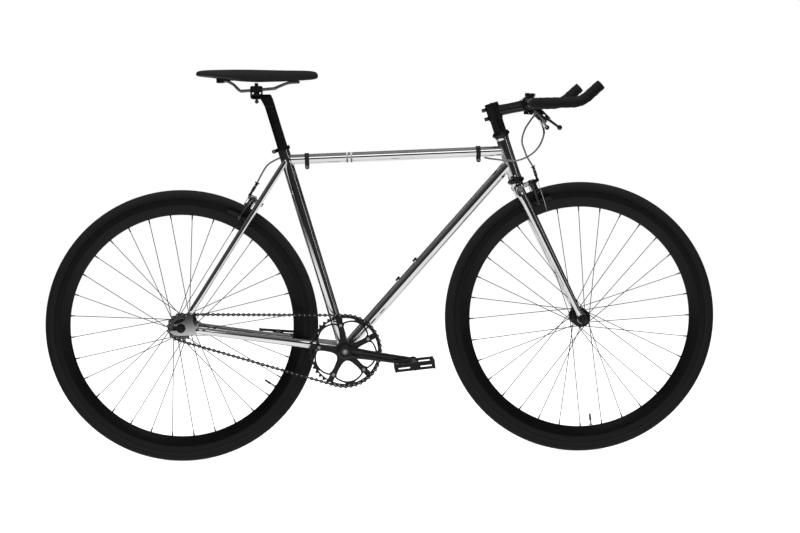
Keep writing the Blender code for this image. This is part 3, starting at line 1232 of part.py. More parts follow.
def spacer_stack():
    """Spacers on the steerer, with a fine groove at each joint."""
    bottom = UPPER_CUP_TOP + GAP
    height = STEM_CLAMP_BOTTOM - GAP - bottom
    inner = STEERER_RADIUS + GAP
    groove = RUNNING_GAP / 2
    profile = [(SPACER_RADIUS, height)]
    for index in range(1, SPACER_COUNT):
        joint = height * (1 - index / SPACER_COUNT)
        profile += [(SPACER_RADIUS, joint + groove), (SPACER_RADIUS - groove, joint),
                    (SPACER_RADIUS, joint - groove)]
    profile += [(SPACER_RADIUS, 0.0), (inner, 0.0), (inner, height)]
    return turned(profile, steer_point(bottom), STEER_UP, 16, True)


def faceplate_ends(start, end):
    """Ends of the four bolts that hold the bar, between two distances ahead of the bar."""
    return [(BAR_CENTRE + up * FACEPLATE_BOLT_OFFSET * FACE_ALONG
             + side * BAR_CLAMP_HALF_WIDTH * 0.6 * LEFT + start * FACE_NORMAL,
             BAR_CENTRE + up * FACEPLATE_BOLT_OFFSET * FACE_ALONG
             + side * BAR_CLAMP_HALF_WIDTH * 0.6 * LEFT + end * FACE_NORMAL)
            for up in (-1, 1) for side in (-1, 1)]


def bar_clamp(ear_start, ear_end):
    """The clamp round the bar, with ears above and below between two distances ahead."""
    reach = BAR_CLAMP_HALF_WIDTH * LEFT
    ear_middle = (ear_start + ear_end) / 2 * FACE_NORMAL
    shape = rod(BAR_CENTRE - reach, BAR_CENTRE + reach, BAR_CLAMP_RADIUS, sides=16)
    ear_size = (ear_end - ear_start, 2 * BAR_CLAMP_HALF_WIDTH - 4 * RUNNING_GAP,
                2 * (FACEPLATE_BOLT_OFFSET + STEM_BOLT_RADIUS))
    shape = join(shape, block(BAR_CENTRE + ear_middle, ear_size, FACE_ALONG, FACE_NORMAL))
    return cut(shape, rod(BAR_CENTRE - 2 * reach, BAR_CENTRE + 2 * reach,
                          BAR_BULGE_RADIUS + GAP, sides=16))


def half_space(sign):
    """A large block on one side of the plane that splits the bar clamp."""
    size = 4 * BAR_CLAMP_RADIUS
    return block(BAR_CENTRE + sign * (size / 2 - GAP) * FACE_NORMAL, (size, size, size),
                 FACE_ALONG, FACE_NORMAL)


def stem():
    """Steerer clamp, arm and the rear half of the bar clamp."""
    ear = BAR_CLAMP_EAR_DEPTH
    shape = cut(bar_clamp(-ear, ear), half_space(1))
    shape = join(rod(steer_point(STEM_CLAMP_BOTTOM), steer_point(STEM_CLAMP_TOP),
                     STEM_CLAMP_RADIUS, sides=16),
                 rod(steer_point(STEM_ARM_HEIGHT_ON_STEERER, STEM_CLAMP_RADIUS / 2),
                     BAR_CENTRE - (BAR_CLAMP_RADIUS - STEM_BOLT_RADIUS) * STEER_FORWARD,
                     STEM_ARM_RADIUS, sides=12),
                 shape)
    for height in (STEM_CLAMP_BOTTOM + 2.2 * STEM_BOLT_RADIUS,
                   STEM_CLAMP_TOP - 1.6 * STEM_BOLT_RADIUS):
        ear_depth = STEM_BOLT_BEHIND - STEERER_RADIUS + STEM_BOLT_RADIUS
        middle = -STEERER_RADIUS - ear_depth / 2
        bolt = STEM_EAR_WIDTH / 2 + RUNNING_GAP
        shape = join(shape, block(steer_point(height, middle),
                                  (ear_depth, STEM_EAR_WIDTH, 2 * STEM_BOLT_RADIUS),
                                  STEER_UP, STEER_FORWARD),
                     rod(steer_point(height, -STEM_BOLT_BEHIND, -bolt),
                         steer_point(height, -STEM_BOLT_BEHIND, bolt), STEM_BOLT_RADIUS * 0.8))
    slot_depth = STEM_BOLT_BEHIND - STEERER_RADIUS
    return cut(shape,
               rod(steer_point(STEM_CLAMP_BOTTOM - STEM_BOLT_RADIUS),
                   steer_point(STEM_CLAMP_TOP + STEM_BOLT_RADIUS), STEERER_RADIUS + GAP, sides=16),
               block(steer_point(STEM_CLAMP_BOTTOM + STEM_CLAMP_HEIGHT / 2,
                                 -STEERER_RADIUS - slot_depth / 4),
                     (slot_depth / 2, 2 * RUNNING_GAP, 2 * STEM_CLAMP_HEIGHT),
                     STEER_UP, STEER_FORWARD),
               rod(BAR_CENTRE - 2 * BAR_CLAMP_HALF_WIDTH * LEFT,
                   BAR_CENTRE + 2 * BAR_CLAMP_HALF_WIDTH * LEFT, BAR_BULGE_RADIUS + GAP, sides=16),
               rod_set(faceplate_ends(-ear - RUNNING_GAP, ear), STEM_BOLT_RADIUS * 0.7 + 2 * GAP, 8))


def stem_faceplate():
    """Front half of the bar clamp with its four bolts."""
    ear = BAR_CLAMP_EAR_DEPTH
    shape = cut(bar_clamp(-ear, ear), half_space(-1))
    return join(shape, rod_set(faceplate_ends(-ear, ear + STEM_BOLT_RADIUS / 2),
                               STEM_BOLT_RADIUS * 0.7, 8),
                rod_set(faceplate_ends(ear - RUNNING_GAP, ear + STEM_BOLT_RADIUS),
                        STEM_BOLT_RADIUS, 8))


def top_cap():
    base = STEM_CLAMP_TOP + GAP
    bolt = STEM_BOLT_RADIUS
    return turned([(0.0, TOP_CAP_THICKNESS + RUNNING_GAP), (bolt, TOP_CAP_THICKNESS + RUNNING_GAP),
                   (bolt, TOP_CAP_THICKNESS), (TOP_CAP_RADIUS - RUNNING_GAP, TOP_CAP_THICKNESS),
                   (TOP_CAP_RADIUS, TOP_CAP_THICKNESS - RUNNING_GAP), (TOP_CAP_RADIUS, 0.0),
                   (TOP_CAP_PLUG_RADIUS, 0.0), (TOP_CAP_PLUG_RADIUS, -TOP_CAP_PLUG_LENGTH),
                   (0.0, -TOP_CAP_PLUG_LENGTH)], steer_point(base), STEER_UP, 16)


# Handlebar
def bar_side(side, start, overrun=0.0):
    """Points from a distance beside the stem, round the corner and up to the bar's end."""
    def at(ahead, out, above):
        return BAR_CENTRE + ahead * FORWARD + side * out * LEFT + above * UP
    corner = BAR_HALF_WIDTH - BAR_CORNER_RADIUS
    rise_ahead = BAR_LEVEL_REACH + BAR_RISE_RADIUS * math.sin(BAR_RISE_ANGLE)
    rise_up = BAR_RISE_RADIUS * (1 - math.cos(BAR_RISE_ANGLE))
    last = BAR_REACH - rise_ahead
    points = [at(0.0, start, 0.0)]
    points += [at(BAR_CORNER_RADIUS * (1 - math.cos(turn)), corner + BAR_CORNER_RADIUS * math.sin(turn),
                  0.0) for turn in (math.pi / 2 * i / 5 for i in range(6))]
    points += [at(BAR_LEVEL_REACH + BAR_RISE_RADIUS * math.sin(turn), BAR_HALF_WIDTH,
                  BAR_RISE_RADIUS * (1 - math.cos(turn)))
               for turn in (BAR_RISE_ANGLE * i / 3 for i in range(4))]
    points.append(at(BAR_REACH, BAR_HALF_WIDTH, rise_up + last * math.tan(BAR_RISE_ANGLE)))
    if overrun:
        points[-1] += overrun * (points[-1] - points[-2]).normalized()
    return points


def handlebar():
    route = bar_side(1, 0.0)[:0:-1] + bar_side(-1, 0.0)[1:]
    shape = join(wire(route, BAR_RADIUS, 2),
                 rod(BAR_CENTRE - BAR_BULGE_HALF_WIDTH * LEFT,
                     BAR_CENTRE + BAR_BULGE_HALF_WIDTH * LEFT, BAR_BULGE_RADIUS, sides=16))
    beyond = BAR_RADIUS
    inner = bar_side(1, 0.0, beyond)[:0:-1] + bar_side(-1, 0.0, beyond)[1:]
    return cut(shape, wire(inner, BAR_RADIUS - BAR_WALL, 1))


def bar_tape(side):
    """Wound tape as a sleeve over the bar, closed by the plug in the bar's end."""
    sleeve = wire(bar_side(side, TAPE_START, TAPE_PLUG_LENGTH), BAR_RADIUS + TAPE_THICKNESS, 2)
    return cut(sleeve, wire(bar_side(side, TAPE_START - BAR_RADIUS, GAP), TAPE_INNER_RADIUS, 2))


def lever_point(side, reach, out=0.0, off=0.0):
    """A point below the bar: along the lever's drop, outward, and off along the pivot's axis."""
    return (BAR_CENTRE + side * (LEVER_PLACE + out) * LEFT + reach * LEVER_DROP
            + off * LEVER_PIVOT_AXIS)


def brake_lever_body(side):
    """Clamp round the bar, the body that hangs ahead of it, cable barrel and pivot pin."""
    inboard = -LEVER_BODY_INBOARD
    width = LEVER_BODY_INBOARD + LEVER_BODY_OUTBOARD
    middle = (LEVER_BODY_OUTBOARD - LEVER_BODY_INBOARD) / 2
    half_clamp = side * LEVER_CLAMP_WIDTH / 2 * LEFT
    ring_centre = lever_point(side, 0.0)
    shape = join(rod(ring_centre - half_clamp, ring_centre + half_clamp, LEVER_CLAMP_RADIUS, sides=14),
                 tapered_bar(lever_point(side, LEVER_CLAMP_RADIUS - RUNNING_GAP, middle),
                             lever_point(side, LEVER_BODY_REACH, middle),
                             (width, LEVER_BODY_DEPTH), (width * 0.9, LEVER_BODY_DEPTH * 0.9), LEFT),
                 rod(lever_point(side, LEVER_BARREL_REACH, inboard + RUNNING_GAP),
                     lever_point(side, LEVER_BARREL_REACH, inboard - LEVER_BARREL_LENGTH),
                     LEVER_BARREL_RADIUS))
    slot = block(lever_point(side, LEVER_BODY_REACH, 0.0),
                 (3 * width, LEVER_FORK_GAP, 2 * LEVER_SLOT_DEPTH), LEVER_DROP, LEFT)
    shape = cut(shape, slot, rod(ring_centre - 2 * half_clamp, ring_centre + 2 * half_clamp,
                                 BAR_RADIUS + GAP, sides=16))
    pin = LEVER_BODY_DEPTH * 0.4
    return join(shape, rod(lever_point(side, LEVER_PIVOT_REACH, 0.0, -pin),
                           lever_point(side, LEVER_PIVOT_REACH, 0.0, pin), LEVER_PIN_RADIUS, sides=8))


def brake_lever(side):
    """Blade that turns on the pin, bent outward, with a ball at its tip."""
    half = LEVER_BLADE_THICKNESS / 2
    bend = (LEVER_BLADE_LENGTH * 0.35, LEVER_BLADE_DROP * 0.22)
    root, waist, end = LEVER_BLADE_HEIGHTS
    reach = LEVER_PIVOT_REACH
    tip = lever_point(side, reach + LEVER_BLADE_DROP, LEVER_BLADE_LENGTH)
    shape = join(rod(lever_point(side, reach, 0.0, -half), lever_point(side, reach, 0.0, half),
                     LEVER_EYE_RADIUS, sides=12),
                 tapered_bar(lever_point(side, reach), lever_point(side, reach + bend[1], bend[0]),
                             (LEVER_BLADE_THICKNESS, root), (LEVER_BLADE_THICKNESS, waist),
                             LEVER_PIVOT_AXIS),
                 tapered_bar(lever_point(side, reach + bend[1] - RUNNING_GAP / 2, bend[0] - 2 * RUNNING_GAP), tip,
                             (LEVER_BLADE_THICKNESS, waist), (LEVER_BLADE_THICKNESS * 0.8, end),
                             LEVER_PIVOT_AXIS))
    bm = bmesh.new()
    bmesh.ops.create_uvsphere(bm, u_segments=8, v_segments=6, radius=LEVER_BALL_RADIUS,
                              matrix=Matrix.Translation(tip))
    mesh = bpy.data.meshes.new("ball")
    bm.to_mesh(mesh)
    bm.free()
    return cut(join(shape, bake(add_object(mesh))),
               rod(lever_point(side, reach, 0.0, -2 * half), lever_point(side, reach, 0.0, 2 * half),
                   LEVER_PIN_RADIUS + GAP, sides=12))


# Brakes
class Calliper:
    """Where a brake sits: its bolt's axis, the wheel it grips, and the side its cable is on."""

    def __init__(self, wheel_centre, up, ahead, side, pivot, plane, pad_centre):
        self.up = up
        self.ahead = ahead
        self.side = side
        self.wheel_centre = wheel_centre
        self.pivot = pivot
        self.plane = plane
        self.lean = math.asin(pad_centre / BRAKE_RADIUS)
        self.pad_drop = (pivot - wheel_centre).dot(up) - BRAKE_RADIUS * math.cos(self.lean)

    def point(self, across, above, forward):
        return self.pivot + across * self.side + above * self.up + forward * self.ahead

    def pad_point(self, across):
        radial = math.cos(self.lean) * self.up + math.sin(self.lean) * self.ahead
        return self.wheel_centre + BRAKE_RADIUS * radial + across * self.side

    def pad_along(self):
        return math.cos(self.lean) * self.ahead - math.sin(self.lean) * self.up


def front_calliper():
    return Calliper(FRONT_AXLE, STEER_UP, STEER_FORWARD, LEFT, steer_point(FRONT_BRAKE_PIVOT),
                    FRONT_BRAKE_PLANE, FRONT_PAD_CENTRE)


def rear_calliper():
    return Calliper(REAR_AXLE, STAY_UP, STAY_REARWARD, -LEFT, REAR_AXLE + REAR_BRAKE_PIVOT * STAY_UP,
                    REAR_BRAKE_PLANE, REAR_PAD_CENTRE)


def arm_outline(drop, hand, crossing):
    """Edge of a calliper arm: hand is the pad's side; a crossing arm reaches past the pivot."""
    outer = BRAKE_ARM_HALF_SPREAD
    inner = outer - 0.0085
    leg = [(inner, -drop - 0.0060), (inner, -drop + 0.0080), (inner - 0.0040, -0.0300),
           (inner - 0.0065, -0.0140), (0.0060, -0.0072)]
    back = [(outer + 0.0070, 0.0010), (outer + 0.0045, -0.0140), (outer + 0.0020, -0.0320),
            (outer, -drop - 0.0060)]
    if crossing:
        cable = BRAKE_CABLE_SIDE
        across = [(-0.0080, -0.0072), (-0.0205, -0.0180), (-cable + 0.0050, -ANCHOR_BELOW_PIVOT - 0.0050),
                  (-cable - 0.0055, -ANCHOR_BELOW_PIVOT - 0.0050),
                  (-cable - 0.0055, -ANCHOR_BELOW_PIVOT + 0.0050), (-0.0280, -0.0095),
                  (-0.0160, 0.0025), (-0.0070, 0.0072), (0.0060, 0.0085), (0.0220, 0.0070)]
    else:
        across = [(-0.0070, -0.0072), (-0.0092, 0.0), (-0.0070, 0.0072), (0.0060, 0.0085),
                  (0.0260, 0.0100), (outer + 0.0055, 0.0090)]
    return [(hand * x, y) for x, y in leg + across + back]


def brake_arm(calliper, hand):
    """One arm with its pad; hand is 1 for the arm whose end crosses over to the cable."""
    crossing = hand == 1
    start = calliper.plane + (BRAKE_ARM_THICKNESS + GAP if crossing else 0.0)
    middle = start + BRAKE_ARM_THICKNESS / 2
    edge = RIM_WIDTH / 2 + BRAKE_PAD_GAP
    cable = -BRAKE_CABLE_SIDE
    cable_ahead = calliper.plane + BRAKE_CABLE_AHEAD
    outline = arm_outline(calliper.pad_drop, hand, crossing)
    arm = plate([outline], BRAKE_ARM_THICKNESS, calliper.point(0.0, 0.0, middle),
                calliper.ahead, calliper.side)
    pad = block(calliper.pad_point(hand * (edge + BRAKE_PAD_THICKNESS / 2)),
                (BRAKE_PAD_LENGTH, BRAKE_PAD_THICKNESS, BRAKE_PAD_HEIGHT),
                calliper.pad_along().cross(calliper.side), calliper.pad_along())
    pad_bolt = rod(calliper.point(hand * (edge + BRAKE_PAD_THICKNESS / 2), -calliper.pad_drop, middle),
                   calliper.point(hand * (BRAKE_ARM_HALF_SPREAD + 3 * RUNNING_GAP),
                                  -calliper.pad_drop, middle), BRAKE_BOLT_RADIUS)
    shape = join(arm, pad, pad_bolt)
    if crossing:
        top = cable_ahead - WIRE_RADIUS - GAP
        shape = join(shape, rod(calliper.point(cable, -ANCHOR_BELOW_PIVOT, middle),
                                calliper.point(cable, -ANCHOR_BELOW_PIVOT, top), ANCHOR_RADIUS))
    else:
        depth = cable_ahead + ADJUSTER_RADIUS - middle
        shape = join(shape, block(calliper.point(cable, ADJUSTER_BASE, middle + depth / 2),
                                  (1.9 * ADJUSTER_RADIUS, depth, 1.9 * ADJUSTER_RADIUS),
                                  calliper.up, calliper.side),
                     rod(calliper.point(cable, ADJUSTER_BASE, cable_ahead),
                         calliper.point(cable, ADJUSTER_BASE + ADJUSTER_LENGTH, cable_ahead),
                         ADJUSTER_RADIUS, sides=10))
        shape = cut(shape, rod(calliper.point(cable, -ADJUSTER_LENGTH, cable_ahead),
                               calliper.point(cable, 2 * ADJUSTER_LENGTH, cable_ahead),
                               ADJUSTER_BORE_RADIUS, sides=8))
    return cut(shape, rod(calliper.point(0.0, 0.0, calliper.plane - BRAKE_ARM_THICKNESS),
                          calliper.point(0.0, 0.0, calliper.plane + 3 * BRAKE_ARM_THICKNESS),
                          BRAKE_BOLT_RADIUS + GAP, sides=12))


# Cables
def cable(sections, calliper, boot_length):
    """Housing along smooth sections with straight runs between them, and the wire beyond it."""
    ahead = calliper.plane + BRAKE_CABLE_AHEAD
    top = ADJUSTER_BASE + ADJUSTER_LENGTH + GAP
    def at(above):
        return calliper.point(-BRAKE_CABLE_SIDE, above, ahead)
    sections[-1].append(at(top + 3 * HOUSING_RADIUS))
    points = [point for section in sections for point in smooth_route(section, CABLE_SPACING)]
    points.append(at(top))
    radii = []
    travelled = 0.0
    for index, point in enumerate(points):
        travelled += (point - points[index - 1]).length if index else 0.0
        radii.append(CABLE_BOOT_SHARE if travelled < boot_length else 1.0)
    housing = wire(points, HOUSING_RADIUS, 1, radii)
    inner = rod(at(top + HOUSING_RADIUS), at(-WIRE_END_BELOW_PIVOT), WIRE_RADIUS, sides=6)
    return join(housing, inner)


def lever_exit(side, beyond):
    """A point beyond the end of a lever's cable barrel, towards the stem."""
    return lever_point(side, LEVER_BARREL_REACH, -LEVER_BODY_INBOARD - LEVER_BARREL_LENGTH - beyond)


def front_brake_cable():
    """From the left lever, behind the rear brake's cable, to the front brake."""
    return cable([[lever_exit(1, GAP), lever_exit(1, 2 * HOUSING_RADIUS)],
                  [steer_point(0.5085, 0.0840, 0.0090), steer_point(0.4894, 0.0600, 0.0000),
                   steer_point(0.4649, 0.0431, -0.0160), steer_point(0.4370, 0.0415, -0.0260),
                   steer_point(0.4217, 0.0425, -0.0300)]], front_calliper(), 0.0)


def rear_brake_cable():
    """From the right lever, beside the head tube, along the top tube and down to the brake."""
    seat = TOP_TUBE_ON_SEAT_TUBE
    calliper = rear_calliper()
    to_frame = [steer_point(0.5085, 0.1005, -0.0150), steer_point(0.4880, 0.1035, -0.0115),
                steer_point(0.4716, 0.1035, -0.0120), steer_point(0.4602, 0.0981, -0.0140),
                steer_point(0.4444, 0.0851, -0.0165), steer_point(0.4319, 0.0674, -0.0190),
                steer_point(0.4244, 0.0447, -0.0215), steer_point(0.4231, 0.0175, -0.0215),
                steer_point(0.4302, -0.0068, -0.0195), steer_point(0.4383, -0.0237, -0.0130),
                top_tube_point(clip_place(1) + 0.0232, -0.0168, 0.0060),
                top_tube_point(clip_place(1) + 0.0155, -0.0122, 0.0122),
                cable_point(clip_place(1) + CLIP_WIDTH)]
    to_brake = [cable_point(clip_place(0) - CLIP_WIDTH), seat_point(seat - 0.0066, 0.0232, 0.0165),
                seat_point(seat + 0.0015, 0.0062, 0.0182), seat_point(seat + 0.0064, -0.0033, 0.0188)]
    to_brake += [calliper.point(-side, above, ahead) for above, ahead, side in
                 ((0.1228, 0.0160, 0.0190), (0.0930, 0.0320, 0.0240), (0.0630, 0.0330, 0.0290))]
    return cable([[lever_exit(-1, GAP), lever_exit(-1, 2 * HOUSING_RADIUS)], to_frame, to_brake],
                 calliper, BOOT_LENGTH)


# Seat
SEAT_HEAD = seat_point(SEAT_TUBE_LENGTH + SEATPOST_EXPOSED)


def saddle_point(ahead, side, above):
    """A point ahead of the saddle clamp, to the left, and above the top of the post's head."""
    return SEAT_HEAD + (ahead - SEATPOST_SETBACK) * FORWARD + side * LEFT + above * UP


def tilt_cylinder(radius, half_width):
    """A cylinder about the axis on which the saddle tilts."""
    return rod(saddle_point(0.0, -half_width, SADDLE_TILT_HEIGHT),
               saddle_point(0.0, half_width, SADDLE_TILT_HEIGHT), radius, sides=48)


def post_axis_ahead(above):
    """How far the post's axis lies ahead of the saddle clamp at a height."""
    return SEATPOST_SETBACK + above * SEAT_UP.x / SEAT_UP.z


def seatpost():
    """Hollow post with a head set back from it, hollowed on top for the clamp's lower half."""
    depth = SEATPOST_HEAD_DEPTH
    neck = post_axis_ahead(-depth)
    half = CLAMP_LENGTH / 2 + RUNNING_GAP
    lower = SADDLE_TILT_RADIUS + SEATPOST_HEAD_THICKNESS
    start = -math.pi / 2 - math.asin(0.9 * half / lower)
    end = -math.pi / 2 + math.asin(0.6 * half / lower)
    outline = ([(post_axis_ahead(0.0) + SEATPOST_RADIUS + RUNNING_GAP, 0.0), (-half, 0.0)]
               + arc((0.0, SADDLE_TILT_HEIGHT), lower, start, end, 6)
               + [(neck - SEATPOST_RADIUS, -depth), (neck + SEATPOST_RADIUS, -depth),
                  (neck + SEATPOST_RADIUS + RUNNING_GAP, -depth / 3)])
    head = plate([outline], 2 * SEATPOST_HEAD_HALF_WIDTH, saddle_point(0.0, 0.0, 0.0), -LEFT, FORWARD)
    length = SEAT_TUBE_LENGTH + SEATPOST_EXPOSED
    shape = join(head, rod(seat_point(SEAT_TUBE_LENGTH - SEATPOST_INSERTION),
                           seat_point(length - 0.8 * depth), SEATPOST_RADIUS, sides=20))
    swing = (SADDLE_TILT_RADIUS + depth) * math.sin(SADDLE_TILT_RANGE)
    return cut(shape, tilt_cylinder(SADDLE_TILT_RADIUS + GAP, CLAMP_WIDTH),
               block(saddle_point(0.0, 0.0, -depth / 2),
                     (2 * (CLAMP_BOLT_RADIUS + RUNNING_GAP + swing),
                      2 * (CLAMP_BOLT_RADIUS + 2 * GAP), 2 * depth)),
               rod(seat_point(SEAT_TUBE_LENGTH - 2 * SEATPOST_INSERTION),
                   seat_point(length - 1.4 * depth), SEATPOST_RADIUS - SEATPOST_WALL, sides=16))


def rail_height(ahead):
    return RAIL_HEIGHT + RAIL_SLOPE * ahead


def rail_grooves():
    """Room for both rails where the clamp holds them."""
    reach = CLAMP_LENGTH
    return [rod(saddle_point(-reach, side * RAIL_HALF_SPREAD, rail_height(-reach)),
                saddle_point(reach, side * RAIL_HALF_SPREAD, rail_height(reach)),
                RAIL_RADIUS + 2 * GAP, sides=12) for side in (-1, 1)]


def saddle_clamp():
    """Rocking lower half, plate over the rails, and the bolt that holds both on the post."""
    middle = rail_height(0.0)
    top = middle + RAIL_RADIUS + CLAMP_PLATE_THICKNESS
    depth = middle - RUNNING_GAP + SADDLE_TILT_RADIUS - SADDLE_TILT_HEIGHT
    lower = combine(block(saddle_point(0.0, 0.0, middle - RUNNING_GAP - depth / 2),
                          (CLAMP_LENGTH, CLAMP_WIDTH, depth)),
                    [tilt_cylinder(SADDLE_TILT_RADIUS, CLAMP_WIDTH)], "INTERSECT")
    window = 0.3 * CLAMP_LENGTH
    for ahead in (-window, window):
        lower = cut(lower, rod(saddle_point(ahead, -CLAMP_WIDTH, middle - 2.3 * RAIL_RADIUS),
                               saddle_point(ahead, CLAMP_WIDTH, middle - 2.3 * RAIL_RADIUS),
                               0.75 * RAIL_RADIUS))
    upper = block(saddle_point(0.0, 0.0, (top + middle + RUNNING_GAP) / 2),
                  (CLAMP_LENGTH, CLAMP_WIDTH, top - middle - RUNNING_GAP))
    nut = SADDLE_TILT_HEIGHT - (SADDLE_TILT_RADIUS + SEATPOST_HEAD_THICKNESS + GAP
                                + CLAMP_NUT_RADIUS)
    shape = join(cut(lower, *rail_grooves()),
                 rod(saddle_point(0.0, 0.0, nut), saddle_point(0.0, 0.0, CLAMP_BOLT_TOP),
                     CLAMP_BOLT_RADIUS))
    return join(shape, cut(upper, *rail_grooves()),
                rod(saddle_point(0.0, 0.0, top - RUNNING_GAP), saddle_point(0.0, 0.0, CLAMP_BOLT_TOP),
                    CLAMP_BOLT_HEAD_RADIUS),
                rod(saddle_point(0.0, -CLAMP_NUT_LENGTH / 2, nut),
                    saddle_point(0.0, CLAMP_NUT_LENGTH / 2, nut), CLAMP_NUT_RADIUS))




def saddle_rails():
    """One bar: up and back into the shell's holder on each side, joined under the nose."""
    reach = 1.3 * CLAMP_LENGTH
    nose = SADDLE_SHELL_HEIGHT - GAP - RAIL_RADIUS
    front = RAIL_NOSE_AHEAD
    half = [(RAIL_END_AHEAD, RAIL_END_HALF_SPREAD, RAIL_END_HEIGHT),
            (RAIL_END_AHEAD + 0.0130, RAIL_END_HALF_SPREAD, RAIL_END_HEIGHT),
            (-1.9 * CLAMP_LENGTH, RAIL_HALF_SPREAD + 0.0030, RAIL_END_HEIGHT - 0.0085),
            (-1.45 * CLAMP_LENGTH, RAIL_HALF_SPREAD + 0.0010, rail_height(-reach) + 0.0030),
            (-reach, RAIL_HALF_SPREAD, rail_height(-reach)),
            (reach, RAIL_HALF_SPREAD, rail_height(reach)),
            (reach + 0.0080, 0.96 * RAIL_HALF_SPREAD, rail_height(reach) + 0.0015),
            (0.0740, 0.68 * RAIL_HALF_SPREAD, nose - 0.0085),
            (front - 0.0100, 0.45 * RAIL_HALF_SPREAD, nose - 0.0010),
            (front - 0.0020, 0.30 * RAIL_HALF_SPREAD, nose)]
    route = [saddle_point(x, y, z) for x, y, z in half]
    route += [saddle_point(front, 0.0, nose)]
    route += [saddle_point(x, -y, z) for x, y, z in reversed(half)]
    return wire(route, RAIL_RADIUS, 2)


def loft(rings):
    """A closed shape skinned over rings that all have the same number of points."""
    count = len(rings[0])
    faces = [tuple(range(count))[::-1]]
    for index in range(len(rings) - 1):
        base = index * count
        for step in range(count):
            after = (step + 1) % count
            faces.append((base + step, base + after, base + count + after, base + count + step))
    faces.append(tuple(range((len(rings) - 1) * count, len(rings) * count)))
    mesh = bpy.data.meshes.new("loft")
    mesh.from_pydata([point for ring in rings for point in ring], [], faces)
    return add_object(mesh)


def shell_stations(margin, floor):
    """Rings of the shell, larger by a margin; floor is how deep it goes below its own base."""
    stations = ((0.030, 0.60, 0.0150), (0.120, 0.76, 0.0118), (0.225, 0.76, 0.0065),
                (0.355, 0.50, 0.0022), (0.490, 0.31, 0.0), (0.690, 0.20, 0.0),
                (0.900, 0.16, 0.0020), (0.965, 0.11, 0.0045))
    rings = []
    for index, (share, width, rise) in enumerate(stations):
        end = -margin if index == 0 else margin if index == len(stations) - 1 else 0.0
        ahead = SADDLE_LENGTH * share - SADDLE_TAIL_BEHIND_CLAMP + end
        half = SADDLE_HALF_WIDTH * width + margin
        low = SADDLE_SHELL_HEIGHT + rise - floor
        high = SADDLE_SHELL_HEIGHT + rise + SADDLE_SHELL_THICKNESS + margin
        rings.append([saddle_point(ahead, -half, low), saddle_point(ahead, half, low),
                      saddle_point(ahead, half, high), saddle_point(ahead, -half, high)])
    return rings


def saddle_shell():
    """Stiff base under the cover, with the holder for the rails' rear ends."""
    holder_front = RAIL_END_AHEAD + 0.0065
    centre = saddle_point(holder_front - RAIL_HOLDER_DEPTH / 2, 0.0, RAIL_END_HEIGHT + 0.0015)
    holder = block(centre, (RAIL_HOLDER_DEPTH, 2 * (RAIL_END_HALF_SPREAD + 2 * RAIL_RADIUS),
                            3.2 * RAIL_RADIUS))
    shape = join(bake(loft(shell_stations(0.0, 0.0))), holder)
    for side in (-1, 1):
        shape = cut(shape, rod(saddle_point(RAIL_END_AHEAD - GAP, side * RAIL_END_HALF_SPREAD,
                                            RAIL_END_HEIGHT),
                               saddle_point(holder_front + RAIL_HOLDER_DEPTH,
                                            side * RAIL_END_HALF_SPREAD, RAIL_END_HEIGHT),
                               RAIL_RADIUS + GAP, sides=10))
    return shape


def saddle_cover():
    """Padded cover: crowned, wide at the tail, narrow at the nose, hollow for the shell."""
    stations = ((-0.004, 0.46, -0.0040, -0.0100, -0.0140), (0.030, 0.96, 0.0004, -0.0095, -0.0160),
                (0.140, 1.14, 0.0012, -0.0110, -0.0195), (0.270, 0.96, 0.0012, -0.0150, -0.0265),
                (0.420, 0.52, 0.0008, -0.0170, -0.0335), (0.620, 0.33, -0.0020, -0.0175, -0.0335),
                (0.820, 0.285, -0.0040, -0.0175, -0.0315), (0.960, 0.24, -0.0050, -0.0185, -0.0290),
                (1.000, 0.13, -0.0120, -0.0195, -0.0250))
    rings = []
    for share, width, crown, edge, base in stations:
        ahead = SADDLE_LENGTH * share - SADDLE_TAIL_BEHIND_CLAMP
        half = SADDLE_HALF_WIDTH * width
        section = ((0.0, crown), (0.66 * half, crown - 0.0012), (half, edge), (0.86 * half, base),
                   (0.0, base + 0.0010), (-0.86 * half, base), (-half, edge),
                   (-0.66 * half, crown - 0.0012))
        rings.append([saddle_point(ahead, side, SADDLE_TOP + above) for side, above in section])
    shape = loft(rings)
    modifier = shape.modifiers.new("soften", "SUBSURF")
    modifier.levels = 1
    modifier.render_levels = 1
    return cut(bake(shape), bake(loft(shell_stations(GAP, SADDLE_SHELL_HEIGHT))))


# Assembly
COLLECTION = "single_speed_bicycle"
SHARP_ANGLE = math.radians(35.0)

FINISHES = {
    "chrome": ((0.86, 0.86, 0.85), 0.06, 1.0),
    "black_paint": ((0.012, 0.012, 0.013), 0.22, 0.0),
    "black_anodised": ((0.020, 0.020, 0.021), 0.34, 0.6),
    "polished_steel": ((0.72, 0.72, 0.71), 0.22, 1.0),
    "dark_steel": ((0.14, 0.14, 0.14), 0.38, 0.9),
    "chain_steel": ((0.20, 0.19, 0.18), 0.40, 0.9),
    "tyre_rubber": ((0.022, 0.022, 0.022), 0.78, 0.0),
    "tube_rubber": ((0.030, 0.030, 0.030), 0.62, 0.0),
    "bar_tape": ((0.018, 0.018, 0.019), 0.60, 0.0),
    "housing": ((0.42, 0.42, 0.41), 0.40, 0.0),
    "saddle_vinyl": ((0.020, 0.020, 0.021), 0.46, 0.0),
    "black_plastic": ((0.025, 0.025, 0.026), 0.45, 0.0),
}


def make_axis(name, place, collection, parent=None):
    """An empty on a joint's axis, carried by the empty of the body that it turns on."""
    empty = bpy.data.objects.new(name, None)
    empty.empty_display_size = 0.05
    collection.objects.link(empty)
    empty.location = place
    bpy.context.view_layer.update()
    if parent is not None:
        empty.parent = parent
        empty.matrix_parent_inverse = parent.matrix_world.inverted()
    return empty


